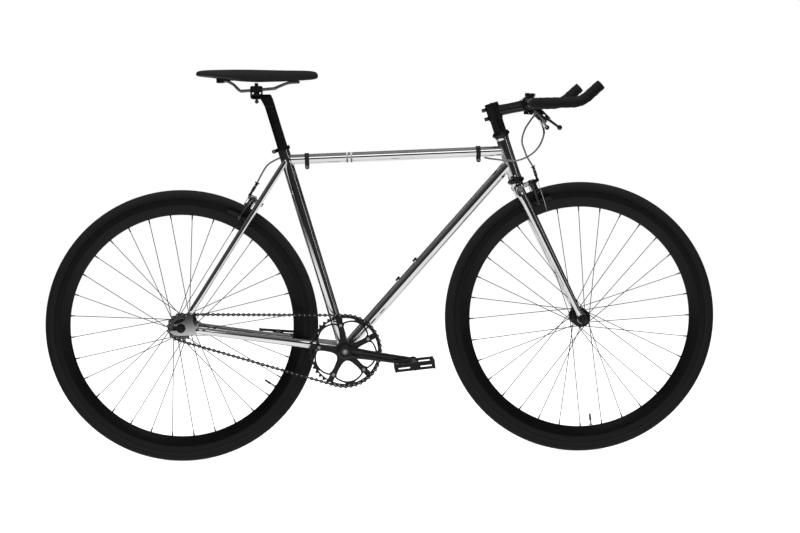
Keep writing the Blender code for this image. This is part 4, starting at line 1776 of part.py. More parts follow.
def add_part(name, shape, material, collection, parent=None):
    """Gives a finished shape its name, finish, shading, collection and carrier."""
    shape.name = name
    shape.data.name = name
    shape.data.materials.append(material)
    shape.data.shade_smooth()
    shape.data.set_sharp_from_angle(angle=SHARP_ANGLE)
    for owner in list(shape.users_collection):
        owner.objects.unlink(shape)
    collection.objects.link(shape)
    if parent is not None:
        shape.parent = parent
        shape.matrix_parent_inverse = parent.matrix_world.inverted()


def build():
    clear_objects()
    collection = make_collection(COLLECTION)
    finish = {name: make_material(name, *values) for name, values in FINISHES.items()}
    pedal_eye = CRANK_LENGTH * CRANK_FORWARD
    steering = make_axis("steering_axis", steer_point(HEAD_TUBE_TOP), collection)
    front_wheel = make_axis("front_wheel_axis", FRONT_AXLE, collection, steering)
    rear_wheel = make_axis("rear_wheel_axis", REAR_AXLE, collection)
    freewheel = make_axis("freewheel_axis", REAR_AXLE, collection)
    cranks = make_axis("crank_axis", BOTTOM_BRACKET, collection)
    right_pedal = make_axis("right_pedal_axis", BOTTOM_BRACKET + pedal_eye, collection, cranks)
    left_pedal = make_axis("left_pedal_axis", BOTTOM_BRACKET - pedal_eye, collection, cranks)
    right_lever = make_axis("right_lever_axis", lever_point(-1, LEVER_PIVOT_REACH), collection, steering)
    left_lever = make_axis("left_lever_axis", lever_point(1, LEVER_PIVOT_REACH), collection, steering)
    front_brake = make_axis("front_brake_axis", steer_point(FRONT_BRAKE_PIVOT), collection, steering)
    rear_brake = make_axis("rear_brake_axis", rear_calliper().pivot, collection)
    post = make_axis("seatpost_axis", SEAT_TOP, collection)
    tilt = make_axis("saddle_tilt_axis", saddle_point(0.0, 0.0, SADDLE_TILT_HEIGHT), collection, post)

    parts = (
        ("head_tube", head_tube, (), "chrome", None),
        ("top_tube", top_tube, (), "chrome", None),
        ("down_tube", down_tube, (), "chrome", None),
        ("seat_tube", seat_tube, (), "chrome", None),
        ("chainstay_right", chainstay, (-1,), "chrome", None),
        ("chainstay_left", chainstay, (1,), "chrome", None),
        ("seatstay_right", seatstay, (-1,), "chrome", None),
        ("seatstay_left", seatstay, (1,), "chrome", None),
        ("brake_bridge", brake_bridge, (), "chrome", None),
        ("headset_upper_cup", headset_upper_cup, (), "black_anodised", None),
        ("headset_lower_cup", headset_lower_cup, (), "black_anodised", None),
        ("seat_clamp", seat_clamp, (), "black_anodised", None),
        ("cable_clip_front", cable_clip, (clip_place(1),), "black_plastic", None),
        ("cable_clip_rear", cable_clip, (clip_place(0),), "black_plastic", None),
        ("rear_brake_cable", rear_brake_cable, (), "housing", None),
        ("bottom_bracket_cartridge", bottom_bracket_cartridge, (), "dark_steel", None),
        ("rear_axle", axle, (REAR_AXLE, REAR_AXLE_RADIUS, REAR_HUB_WIDTH, REAR_DROPOUT_THICKNESS),
         "polished_steel", None),
        ("fork", fork, (), "chrome", steering),
        ("spacer_stack", spacer_stack, (), "black_anodised", steering),
        ("stem", stem, (), "black_anodised", steering),
        ("stem_faceplate", stem_faceplate, (), "black_anodised", steering),
        ("top_cap", top_cap, (), "black_anodised", steering),
        ("handlebar", handlebar, (), "polished_steel", steering),
        ("bar_tape_right", bar_tape, (-1,), "bar_tape", steering),
        ("bar_tape_left", bar_tape, (1,), "bar_tape", steering),
        ("brake_lever_body_right", brake_lever_body, (-1,), "black_paint", steering),
        ("brake_lever_body_left", brake_lever_body, (1,), "black_paint", steering),
        ("brake_lever_right", brake_lever, (-1,), "black_paint", right_lever),
        ("brake_lever_left", brake_lever, (1,), "black_paint", left_lever),
        ("front_brake_cable", front_brake_cable, (), "housing", steering),
        ("front_axle", axle, (FRONT_AXLE, FRONT_AXLE_RADIUS, FRONT_HUB_WIDTH,
                              FRONT_DROPOUT_THICKNESS), "polished_steel", steering),
        ("front_brake_arm_right", brake_arm, (front_calliper(), -1), "black_paint", front_brake),
        ("front_brake_arm_left", brake_arm, (front_calliper(), 1), "black_paint", front_brake),
        ("rear_brake_arm_left", brake_arm, (rear_calliper(), -1), "black_paint", rear_brake),
        ("rear_brake_arm_right", brake_arm, (rear_calliper(), 1), "black_paint", rear_brake),
        ("front_tyre", tyre, (FRONT_AXLE,), "tyre_rubber", front_wheel),
        ("front_rim", rim, (FRONT_AXLE, FRONT_VALVE_ANGLE), "black_paint", front_wheel),
        ("front_inner_tube", inner_tube, (FRONT_AXLE, FRONT_VALVE_ANGLE), "tube_rubber", front_wheel),
        ("front_spokes_right", spokes, (FRONT_AXLE, -1, FRONT_FLANGE_SPREAD, FRONT_SPOKE_START),
         "dark_steel", front_wheel),
        ("front_spokes_left", spokes, (FRONT_AXLE, 1, FRONT_FLANGE_SPREAD, FRONT_SPOKE_START),
         "dark_steel", front_wheel),
        ("front_hub", front_hub, (), "black_anodised", front_wheel),
        ("rear_tyre", tyre, (REAR_AXLE,), "tyre_rubber", rear_wheel),
        ("rear_rim", rim, (REAR_AXLE, REAR_VALVE_ANGLE), "black_paint", rear_wheel),
        ("rear_inner_tube", inner_tube, (REAR_AXLE, REAR_VALVE_ANGLE), "tube_rubber", rear_wheel),
        ("rear_spokes_right", spokes, (REAR_AXLE, -1, REAR_FLANGE_SPREAD, REAR_SPOKE_START),
         "dark_steel", rear_wheel),
        ("rear_spokes_left", spokes, (REAR_AXLE, 1, REAR_FLANGE_SPREAD, REAR_SPOKE_START),
         "dark_steel", rear_wheel),
        ("rear_hub", rear_hub, (), "black_anodised", rear_wheel),
        ("freewheel_sprocket", freewheel_sprocket, (), "dark_steel", freewheel),
        ("crank_spindle", crank_spindle, (), "dark_steel", cranks),
        ("crank_right", crank_right, (), "black_anodised", cranks),
        ("chainring", chainring, (), "black_anodised", cranks),
        ("crank_left", crank_arm, (1,), "black_anodised", cranks),
        ("chain", chain, (), "chain_steel", None),
        ("pedal_right", pedal, (-1, PEDAL_TILT), "black_plastic", right_pedal),
        ("pedal_left", pedal, (1, -PEDAL_TILT), "black_plastic", left_pedal),
        ("seatpost", seatpost, (), "black_anodised", post),
        ("saddle_clamp", saddle_clamp, (), "black_anodised", tilt),
        ("saddle_rails", saddle_rails, (), "dark_steel", tilt),
        ("saddle_shell", saddle_shell, (), "black_plastic", tilt),
        ("saddle_cover", saddle_cover, (), "saddle_vinyl", tilt),
    )
    for name, make, values, look, parent in parts:
        add_part(name, make(*values), finish[look], collection, parent)
    bpy.context.view_layer.update()


build()
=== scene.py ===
"""Looks of a single-speed bicycle: detailed pieces and materials over its jointed frame.

Metres. +X is forward, +Y the bicycle's left, +Z up; the origin is on the ground midway
between the axles.
"""
import logging
import math
from dataclasses import dataclass
from enum import Enum
from functools import partial
from typing import Callable, Sequence

import bmesh
import bpy
from mathutils import Matrix, Vector


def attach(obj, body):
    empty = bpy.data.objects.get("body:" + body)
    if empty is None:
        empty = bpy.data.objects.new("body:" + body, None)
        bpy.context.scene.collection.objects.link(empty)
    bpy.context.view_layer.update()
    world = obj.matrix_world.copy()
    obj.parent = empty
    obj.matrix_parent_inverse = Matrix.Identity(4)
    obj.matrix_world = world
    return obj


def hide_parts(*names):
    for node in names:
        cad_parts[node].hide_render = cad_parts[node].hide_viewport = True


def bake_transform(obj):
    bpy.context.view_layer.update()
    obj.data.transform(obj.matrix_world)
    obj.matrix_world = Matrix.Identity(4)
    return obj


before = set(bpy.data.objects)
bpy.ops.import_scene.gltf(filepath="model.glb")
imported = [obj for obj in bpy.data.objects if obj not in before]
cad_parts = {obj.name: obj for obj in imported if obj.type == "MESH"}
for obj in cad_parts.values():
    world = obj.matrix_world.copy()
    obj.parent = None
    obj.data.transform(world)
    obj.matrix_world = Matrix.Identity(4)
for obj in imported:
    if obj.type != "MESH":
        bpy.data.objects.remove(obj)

LOG = logging.getLogger("bicycle")
GAP = 0.0003
SHARP = math.radians(32.0)
FORWARD = Vector((1.0, 0.0, 0.0))
LEFT = Vector((0.0, 1.0, 0.0))
UP = Vector((0.0, 0.0, 1.0))
Pair = tuple[float, float]
Triple = tuple[float, float, float]


class Body(str, Enum):
    """Bodies of the frame that pieces ride on."""

    FRAME = "frame"
    STEERING = "steering"
    FRONT_WHEEL = "front_wheel"
    REAR_WHEEL = "rear_wheel"
    FREEWHEEL = "freewheel"
    CRANKS = "cranks"
    PEDAL_RIGHT = "pedal_right"
    PEDAL_LEFT = "pedal_left"
    SEATPOST = "seatpost"
    SADDLE = "saddle"


class Side(Enum):
    """Sides of the bicycle; the value is the sign of +Y."""

    LEFT = 1
    RIGHT = -1

    @property
    def label(self) -> str:
        """Lower-case name used in node names."""
        return self.name.lower()


# Layout
@dataclass(frozen=True)
class Axis:
    """A line in the bicycle's middle plane, with the direction square to it."""

    foot: Vector
    along: Vector
    square: Vector
    length: float = 0.0

    @classmethod
    def leaning(cls, foot: Vector, angle: float) -> "Axis":
        """Line that rises rearward at an angle to the ground; square to it is ahead."""
        c, s = math.cos(angle), math.sin(angle)
        return cls(foot, Vector((-c, 0.0, s)), Vector((s, 0.0, c)))

    @classmethod
    def between(cls, start: Vector, end: Vector) -> "Axis":
        """Line through two points; square to it is a quarter turn, from forward to upward.

        Args:
            start: Where the line starts.
            end: Where it ends.
        Returns:
            The line, with its length.
        """
        run = end - start
        along = run.normalized()
        return cls(start, along, Vector((-along.z, 0.0, along.x)), run.length)

    @property
    def end(self) -> Vector:
        """Far end of the line."""
        return self.at(self.length)

    def at(self, along: float, square: float = 0.0, side: float = 0.0) -> Vector:
        """Point along the line, off it in its square direction and to the left."""
        return self.foot + along * self.along + square * self.square + side * LEFT


@dataclass(frozen=True)
class Layout:
    """Places on the bicycle that every sub-assembly shares."""

    wheelbase: float = 0.995
    axle_height: float = 0.339
    bracket_drop: float = 0.068
    chainstay: float = 0.409
    seat_angle: float = math.radians(74.2)
    head_angle: float = math.radians(73.0)
    fork_rake: float = 0.047
    fork_length: float = 0.370
    lower_stack: float = 0.0130
    upper_stack: float = 0.0155
    head_tube: float = 0.106
    seat_tube: float = 0.5215
    top_on_seat: float = 0.4953
    top_on_head: float = 0.071
    down_on_head: float = 0.041
    stay_top_below: float = 0.0290
    stay_top_setback: float = 0.0036
    stay_start: float = 0.0440
    stay_rear_spread: float = 0.0630
    stay_top_spread: float = 0.0185
    bar_ahead: float = 0.0895
    bar_height: float = 0.5475
    post_exposed: float = 0.1431
    post_setback: float = 0.0240
    clip_rear: float = 0.0510
    clip_front_inset: float = 0.0705
    cable_off_top: float = 0.0156
    cable_turn: float = math.radians(18.0)

    @property
    def rear_axle(self) -> Vector:
        """Centre of the rear axle."""
        return Vector((-self.wheelbase / 2, 0.0, self.axle_height))

    @property
    def front_axle(self) -> Vector:
        """Centre of the front axle."""
        return Vector((self.wheelbase / 2, 0.0, self.axle_height))

    @property
    def bracket(self) -> Vector:
        """Centre of the bottom bracket."""
        reach = math.sqrt(self.chainstay ** 2 - self.bracket_drop ** 2)
        return self.rear_axle + Vector((reach, 0.0, -self.bracket_drop))

    @property
    def head_bottom(self) -> float:
        """Height of the head tube's foot on the steering axis."""
        return self.fork_length + self.lower_stack

    @property
    def head_top(self) -> float:
        """Height of the head tube's top on the steering axis."""
        return self.head_bottom + self.head_tube

    @property
    def steer(self) -> Axis:
        """Steering axis, from beside the front axle upward."""
        ahead = Vector((math.sin(self.head_angle), 0.0, math.cos(self.head_angle)))
        return Axis.leaning(self.front_axle - self.fork_rake * ahead, self.head_angle)

    @property
    def seat(self) -> Axis:
        """Seat tube's axis, from the bottom bracket upward."""
        return Axis.leaning(self.bracket, self.seat_angle)

    @property
    def top(self) -> Axis:
        """Top tube's axis, from the seat tube forward."""
        front = self.steer.at(self.head_bottom + self.top_on_head)
        return Axis.between(self.seat.at(self.top_on_seat), front)

    @property
    def down(self) -> Axis:
        """Down tube's axis, from the bottom bracket to the head tube."""
        return Axis.between(self.bracket, self.steer.at(self.head_bottom + self.down_on_head))

    @property
    def low_stay(self) -> Axis:
        """Middle line of the chainstays, from the rear axle forward."""
        return Axis.between(self.rear_axle, self.bracket)

    @property
    def high_stay(self) -> Axis:
        """Middle line of the seatstays, from the rear axle upward; square to it is behind."""
        top = self.seat.at(self.seat_tube - self.stay_top_below, -self.stay_top_setback)
        return Axis.between(self.rear_axle, top)

    def seatstay(self, along: float, side: int) -> Vector:
        """Point on a seatstay's axis.

        Args:
            along: Distance from the rear axle along the stays' middle line.
            side: 1 for the left stay, -1 for the right one.
        Returns:
            The point.
        """
        line = self.high_stay
        share = (along - self.stay_start) / (line.length - self.stay_start)
        return line.at(along, 0.0, side * mix(self.stay_rear_spread, self.stay_top_spread, share))

    @property
    def bar_centre(self) -> Vector:
        """Middle of the handlebar."""
        return self.steer.at(self.bar_height, self.bar_ahead)

    @property
    def clip_front(self) -> float:
        """Place of the front cable clip along the top tube."""
        return self.top.length - self.clip_front_inset

    @property
    def cable_off(self) -> Pair:
        """How far the rear cable lies above and to the left of the top tube's axis."""
        return (-self.cable_off_top * math.sin(self.cable_turn),
                self.cable_off_top * math.cos(self.cable_turn))

    def saddle(self, ahead: float, side: float, above: float) -> Vector:
        """Point ahead of the saddle clamp, to the left, above the post's head."""
        head = self.seat.at(self.seat_tube + self.post_exposed)
        return head + (ahead - self.post_setback) * FORWARD + side * LEFT + above * UP


PLACE = Layout()


# Shapes
def mix(start: float, end: float, share: float) -> float:
    """Value at a share of the way from start to end."""
    return start + (end - start) * share


def spaced(start: float, end: float, count: int) -> list[float]:
    """Evenly spaced values, both ends included."""
    return [start + (end - start) * k / (count - 1) for k in range(count)]


def turns(count: int) -> list[float]:
    """Evenly spaced angles of a full turn."""
    return [math.tau * k / count for k in range(count)]


def polar(radius: float, angle: float, centre: Pair = (0.0, 0.0)) -> Pair:
    """Flat point at a radius and an angle from a centre."""
    return centre[0] + radius * math.cos(angle), centre[1] + radius * math.sin(angle)


def arc(centre: Pair, radius: float, start: float, end: float, count: int) -> list[Pair]:
    """Flat points on an arc, both ends included."""
    return [polar(radius, turn, centre) for turn in spaced(start, end, count)]


def disc(radius: float, count: int, centre: Pair = (0.0, 0.0)) -> list[Pair]:
    """Round outline about a centre."""
    return [polar(radius, turn, centre) for turn in turns(count)]


def mirrored(half: Sequence[Pair], x: int = 1, y: int = -1) -> list[Pair]:
    """The points, then their mirror images in reverse order; x and y are the signs."""
    return [*half, *((x * px, y * py) for px, py in reversed(half))]


def sleeve(inner: float, outer: float, low: float, high: float, edge: Pair) -> list[Pair]:
    """Outline of a turned ring whose outer edges are broken.

    Args:
        inner: Radius of the bore.
        outer: Radius of the outside.
        low: Height of one end.
        high: Height of the other end.
        edge: How far a broken edge reaches inward and along.
    Returns:
        Radius and height of each point.
    """
    across, along = edge
    return [(inner, low), (outer - across, low), (outer, low + along),
            (outer, high - along), (outer - across, high), (inner, high)]


def rounded(width: float, height: float, radius: float, steps: int = 3) -> list[Pair]:
    """Rectangle about the origin with round corners.

    Args:
        width: Size along x.
        height: Size along y.
        radius: Radius of the corners.
        steps: Straight steps in each corner.
    Returns:
        Counter-clockwise points.
    """
    x, y = width / 2 - radius, height / 2 - radius
    outline: list[Pair] = []
    for index, (sx, sy) in enumerate(((1, 1), (-1, 1), (-1, -1), (1, -1))):
        start = index * math.pi / 2
        outline += arc((sx * x, sy * y), radius, start, start + math.pi / 2, steps + 1)
    return outline


def corner_cut(points: list[Pair], times: int) -> list[Pair]:
    """Rounds a closed outline by cutting its corners.

    Args:
        points: Corners of the outline.
        times: How often the corners are cut.
    Returns:
        The rounder outline.
    """
    for turn in range(times):
        share = 0.14 if turn == 0 else 0.25
        rounder: list[Pair] = []
        for (ax, ay), (bx, by) in zip(points, points[1:] + points[:1]):
            rounder += [(mix(ax, bx, share), mix(ay, by, share)),
                        (mix(bx, ax, share), mix(by, ay, share))]
        points = rounder
    return points


def wheel_point(centre: Vector, radius: float, angle: float, side: float = 0.0) -> Vector:
    """Point of a wheel; the angle turns from forward to upward."""
    return centre + radius * Vector((math.cos(angle), 0.0, math.sin(angle))) + side * LEFT


def curve_through(points: Sequence[Vector], spacing: float) -> list[Vector]:
    """Smooth curve through points.

    Args:
        points: Points that the curve passes.
        spacing: Rough distance between the points of the curve.
    Returns:
        Points along the curve.
    """
    ends = [2 * points[0] - points[1], *points, 2 * points[-1] - points[-2]]
    route = [Vector(points[0])]
    for a, b, c, d in zip(ends, ends[1:], ends[2:], ends[3:]):
        steps = max(1, round((c - b).length / spacing))
        for t in ((step + 1) / steps for step in range(steps)):
            route.append(0.5 * (2 * b + (c - a) * t + (2 * a - 5 * b + 4 * c - d) * t ** 2
                                + (3 * b - a - 3 * c + d) * t ** 3))
    return route


def refined(points: Sequence[Vector], spacing: float) -> list[Vector]:
    """The same line with more points.

    Args:
        points: Points along the line.
        spacing: Greatest distance between the new points.
    Returns:
        Points along the line, without doubled ones.
    """
    route = [points[0]]
    for a, b in zip(points, points[1:]):
        length = (b - a).length
        if length < 1e-5:
            continue
        steps = max(1, math.ceil(length / spacing))
        route += [a.lerp(b, (k + 1) / steps) for k in range(steps)]
    return route


def axes(z_axis: Vector, x_hint: Vector | None = None) -> tuple[Vector, Vector, Vector]:
    """Right-handed axes about a direction.

    Args:
        z_axis: Direction of the third axis.
        x_hint: Direction that the first axis leans to.
    Returns:
        The three axes.
    """
    z = Vector(z_axis).normalized()
    hint = Vector(x_hint) if x_hint is not None else (FORWARD if abs(z.x) < 0.9 else UP)
    x = (hint - hint.dot(z) * z).normalized()
    return x, z.cross(x), z


def ring(centre: Vector, x: Vector, y: Vector, count: int) -> list[Vector]:
    """Points round an ellipse whose half axes are x and y."""
    return [centre + math.cos(turn) * x + math.sin(turn) * y for turn in turns(count)]


class Shape:
    """A surface in the making, to which closed forms are added one by one."""

    def __init__(self) -> None:
        """Starts with an empty surface."""
        self.points: list[Vector] = []
        self.faces: list[tuple[int, ...]] = []

    def rings(self, rings: Sequence[Sequence[Vector]], closed: bool = False) -> "Shape":
        """Skin over rings with equal counts; open ends get flat caps.

        Args:
            rings: Rows of points, each a closed loop.
            closed: True if the last ring joins the first.
        Returns:
            The shape itself.
        """
        base, count = len(self.points), len(rings[0])
        for row in rings:
            self.points += row
        pairs = len(rings) if closed else len(rings) - 1
        for index in range(pairs):
            low = base + index * count
            high = base + (index + 1) % len(rings) * count
            for step in range(count):
                after = (step + 1) % count
                self.faces.append((low + step, low + after, high + after, high + step))
        if not closed:
            last = base + (len(rings) - 1) * count
            self.faces.append(tuple(base + i for i in reversed(range(count))))
            self.faces.append(tuple(last + i for i in range(count)))
        return self

    def tube(self, path: Sequence[Vector],
             radius: float | Sequence[float] | Callable[[float, float], float],
             sides: int = 20, hint: Vector | None = None) -> "Shape":
        """Round tube along a path.

        Args:
            path: Points on the axis.
            radius: One radius, one for each point, or a function that gives it from the
                distance travelled and the angle round.
            sides: Number of sides.
            hint: Direction that the first ring's start leans to.
        Returns:
            The shape itself.
        """
        last, travelled, rows = len(path) - 1, 0.0, []
        x, _, _ = axes(path[1] - path[0], hint)
        for i, point in enumerate(path):
            along = (path[min(i + 1, last)] - path[max(i - 1, 0)]).normalized()
            x = (x - x.dot(along) * along).normalized()
            y = along.cross(x)
            travelled += (point - path[i - 1]).length if i else 0.0
            if callable(radius):
                rows.append([point + radius(travelled, t) * (math.cos(t) * x + math.sin(t) * y)
                             for t in turns(sides)])
            else:
                size = radius[i] if isinstance(radius, (list, tuple)) else radius
                rows.append(ring(point, size * x, size * y, sides))
        return self.rings(rows)

    def rod(self, start: Vector, end: Vector, radius: float, sides: int = 20,
            edge: float = 0.0, end_radius: float | None = None) -> "Shape":
        """Straight rod or cone.

        Args:
            start: Middle of the first face.
            end: Middle of the last face.
            radius: Radius of the rod, or of a cone's start.
            sides: Number of sides.
            edge: Chamfer of the end edges.
            end_radius: Radius of a cone's end.
        Returns:
            The shape itself.
        """
        last = radius if end_radius is None else end_radius
        if edge <= 0.0:
            return self.tube([start, end], [radius, last], sides)
        along = (end - start).normalized() * edge
        return self.tube([start, start + along, end - along, end],
                         [radius - edge, radius, last, last - edge], sides)

    def rods(self, at: Callable[[float], Vector], *parts: tuple[float, float, float, int, float]
             ) -> "Shape":
        """Rods in line.

        Args:
            at: Gives a point from its distance along the line.
            parts: Start, end, radius, sides and chamfer of each rod.
        Returns:
            The shape itself.
        """
        for start, end, radius, sides, edge in parts:
            self.rod(at(start), at(end), radius, sides, edge)
        return self

    def turned(self, profile: Sequence[Pair], centre: Vector, axis: Vector,
               steps: int = 48) -> "Shape":
        """Solid of revolution.

        Args:
            profile: Closed outline as radius and height.
            centre: Point on the axis at height nought.
            axis: Direction of the height.
            steps: Number of sides round.
        Returns:
            The shape itself.
        """
        x, y, z = axes(axis)
        rows = [[centre + r * (math.cos(turn) * x + math.sin(turn) * y) + h * z
                 for r, h in profile] for turn in turns(steps)]
        return self.rings(rows, closed=True)

    def prism(self, outline: Sequence[Pair], thickness: float, centre: Vector, normal: Vector,
              x_axis: Vector, edge: float = 0.0005) -> "Shape":
        """Flat outline given thickness, with broken edges.

        Args:
            outline: Counter-clockwise points about the centre.
            thickness: Thickness along the normal.
            centre: Middle of the solid.
            normal: Direction of the thickness.
            x_axis: Direction of the outline's first coordinate.
            edge: Chamfer of the rims.
        Returns:
            The shape itself.
        """
        x, y, z = axes(normal, x_axis)
        inner = []
        for (ax, ay), (px, py), (bx, by) in zip([outline[-1], *outline], outline,
                                                [*outline[1:], outline[0]]):
            before = Vector((ay - py, px - ax)).normalized()
            after = Vector((py - by, bx - px)).normalized()
            turn = before + after
            turn = turn / max(0.5, turn.dot(before)) if turn.length > 1e-9 else before
            inner.append((px + edge * turn.x, py + edge * turn.y))
        half = thickness / 2
        return self.rings([[centre + px * x + py * y + height * z for px, py in flat]
                           for flat, height in ((inner, -half), (outline, edge - half),
                                                (outline, half - edge), (inner, half))])

    def block(self, centre: Vector, size: Triple, up: Vector = UP, ahead: Vector = FORWARD,
              corner: float = 0.0012) -> "Shape":
        """Block with round vertical edges and broken rims; size is ahead, across and up."""
        return self.prism(rounded(size[0], size[1], corner), size[2], centre, up, ahead,
                          min(0.0005, corner / 2))

    def ball(self, centre: Vector, radius: float, axis: Vector, steps: int) -> "Shape":
        """Ball made of rings about an axis.

        Args:
            centre: Middle of the ball.
            radius: Its radius.
            axis: Direction through its ends.
            steps: Number of sides round.
        Returns:
            The shape itself.
        """
        x, y, z = axes(axis)
        rows = []
        for turn in spaced(0.0, math.pi, steps // 2 + 1)[1:-1]:
            size = radius * math.sin(turn)
            rows.append(ring(centre - radius * math.cos(turn) * z, size * x, size * y, steps))
        return self.rings(rows)

    def plate(self, outlines: Sequence[Sequence[Pair]], thickness: float, centre: Vector,
              normal: Vector, x_axis: Vector, edge: float = 0.0003) -> "Shape":
        """Plate with holes and broken edges.

        Args:
            outlines: Nested outlines; inner ones are holes.
            thickness: Thickness along the normal.
            centre: Middle of the plate, at the outlines' origin.
            normal: Direction of the thickness.
            x_axis: Direction of the outlines' first coordinate.
            edge: Chamfer of the rims.
        Returns:
            The shape itself.
        """
        curve = bpy.data.curves.new("plate", "CURVE")
        curve.dimensions, curve.fill_mode = "2D", "BOTH"
        curve.extrude, curve.offset = thickness / 2 - edge, -edge
        curve.bevel_depth, curve.bevel_resolution = edge, 0
        for outline in outlines:
            spline = curve.splines.new("POLY")
            spline.points.add(len(outline) - 1)
            for point, (px, py) in zip(spline.points, outline):
                point.co = (px, py, 0.0, 1.0)
            spline.use_cyclic_u = True
        source = bpy.data.objects.new("plate", curve)
        bpy.context.scene.collection.objects.link(source)
        bpy.context.view_layer.update()
        data = bpy.data.meshes.new_from_object(
            source.evaluated_get(bpy.context.evaluated_depsgraph_get()))
        x, y, z = axes(normal, x_axis)
        base = len(self.points)
        self.points += [centre + v.co.x * x + v.co.y * y + v.co.z * z for v in data.vertices]
        self.faces += [tuple(base + i for i in polygon.vertices) for polygon in data.polygons]
        bpy.data.objects.remove(source, do_unlink=True)
        bpy.data.curves.remove(curve)
        bpy.data.meshes.remove(data)
        return self

    def mesh(self, name: str, sharp: float = SHARP) -> bpy.types.Object:
        """Turns the surface into a shaded object with outward faces.

        Args:
            name: Name of the object.
            sharp: Angle from which an edge shows sharp.
        Returns:
            The object, in the scene.
        """
        data = bpy.data.meshes.new(name)
        data.from_pydata(self.points, [], self.faces)
        bm = bmesh.new()
        bm.from_mesh(data)
        bmesh.ops.recalc_face_normals(bm, faces=bm.faces)
        bm.to_mesh(data)
        bm.free()
        data.shade_smooth()
        data.set_sharp_from_angle(angle=sharp)
        obj = bpy.data.objects.new(name, data)
        bpy.context.scene.collection.objects.link(obj)
        return obj


# Finishes
class Nodes:
    """A node tree with a short way to add nodes and to fill their inputs."""

    def __init__(self, tree: bpy.types.NodeTree) -> None:
        """Keeps the tree."""
        self.tree = tree

    def add(self, kind: str, inputs: dict[str | int, object] | None = None,
            **values: object) -> bpy.types.Node:
        """New node.

        Args:
            kind: Type of the node.
            inputs: A socket or a value for each input, by name or number.
            values: Properties of the node, set before its inputs.
        Returns:
            The node.
        """
        node = self.tree.nodes.new(kind)
        for key, value in values.items():
            setattr(node, key, value)
        self.fill(node, inputs or {})
        return node

    def fill(self, node: bpy.types.Node, inputs: dict[str | int, object]) -> None:
        """Links each input that is given a socket and sets each that is given a value."""
        for key, value in inputs.items():
            if isinstance(value, bpy.types.NodeSocket):
                self.tree.links.new(value, node.inputs[key])
            else:
                node.inputs[key].default_value = value

    def maths(self, operation: str, first: bpy.types.NodeSocket,
              second: bpy.types.NodeSocket | float) -> bpy.types.NodeSocket:
        """Result of an operation on two values."""
        return self.add("ShaderNodeMath", {0: first, 1: second}, operation=operation).outputs[0]


class Effect(Enum):
    """Surface effects that a finish can use."""

    SATIN = "satin"
    PORES = "pores"
    STREAKS = "streaks"


class EffectGroup(Nodes):
    """A shader node group that varies colour and roughness and gives a fine relief."""

    inputs = {"Colour": "NodeSocketColor", "Roughness": "NodeSocketFloat",
              "Scale": "NodeSocketFloat", "Depth": "NodeSocketFloat",
              "Variation": "NodeSocketFloat"}
    outputs = {"Colour": "NodeSocketColor", "Roughness": "NodeSocketFloat",
               "Normal": "NodeSocketVector"}
    streak_scale = (0.12, 1.0, 1.0)
    broad_share = 0.06
    tint_share = 0.8

    def __init__(self, effect: Effect) -> None:
        """Makes the group with its sockets and wires the effect between them.

        Args:
            effect: The effect.
        """
        super().__init__(bpy.data.node_groups.new(f"{effect.value}_surface", "ShaderNodeTree"))
        for way, sockets in (("INPUT", self.inputs), ("OUTPUT", self.outputs)):
            for name, kind in sockets.items():
                self.tree.interface.new_socket(name=name, in_out=way, socket_type=kind)
        given = self.add("NodeGroupInput").outputs
        self.add("NodeGroupOutput", self.surface(effect, given))

    def surface(self, effect: Effect, given: bpy.types.NodeOutputs
                ) -> dict[str, bpy.types.NodeSocket]:
        """Wires the texture of the effect.

        Args:
            effect: The effect.
            given: Sockets of the values that a material gives the group.
        Returns:
            The socket that feeds each of the group's outputs.
        """
        where = self.add("ShaderNodeTexCoord").outputs["Object"]
        if effect is Effect.STREAKS:
            where = self.add("ShaderNodeMapping", {"Vector": where, "Scale": self.streak_scale}
                             ).outputs["Vector"]
        broad = self.add("ShaderNodeTexNoise", {
            "Vector": where, "Detail": 3.0,
            "Scale": self.maths("MULTIPLY", given["Scale"], self.broad_share)})
        if effect is Effect.PORES:
            relief = self.add("ShaderNodeTexVoronoi", {"Vector": where, "Scale": given["Scale"]},
                              feature="SMOOTH_F1").outputs["Distance"]
        else:
            relief = self.add("ShaderNodeTexNoise", {"Vector": where, "Scale": given["Scale"],
                                                     "Detail": 2.0}).outputs["Fac"]
        swing = self.maths("MULTIPLY", self.maths("SUBTRACT", broad.outputs["Fac"], 0.5),
                           given["Variation"])
        bright = self.maths("ADD", self.maths("MULTIPLY", swing, self.tint_share), 1.0)
        tint = self.add("ShaderNodeHueSaturation", {"Color": given["Colour"], "Value": bright})
        bump = self.add("ShaderNodeBump", {"Height": relief, "Distance": given["Depth"],
                                           "Strength": 1.0})
        rough = self.maths("MULTIPLY", given["Roughness"], self.maths("ADD", swing, 1.0))
        return {"Colour": tint.outputs["Color"], "Roughness": rough,
                "Normal": bump.outputs["Normal"]}


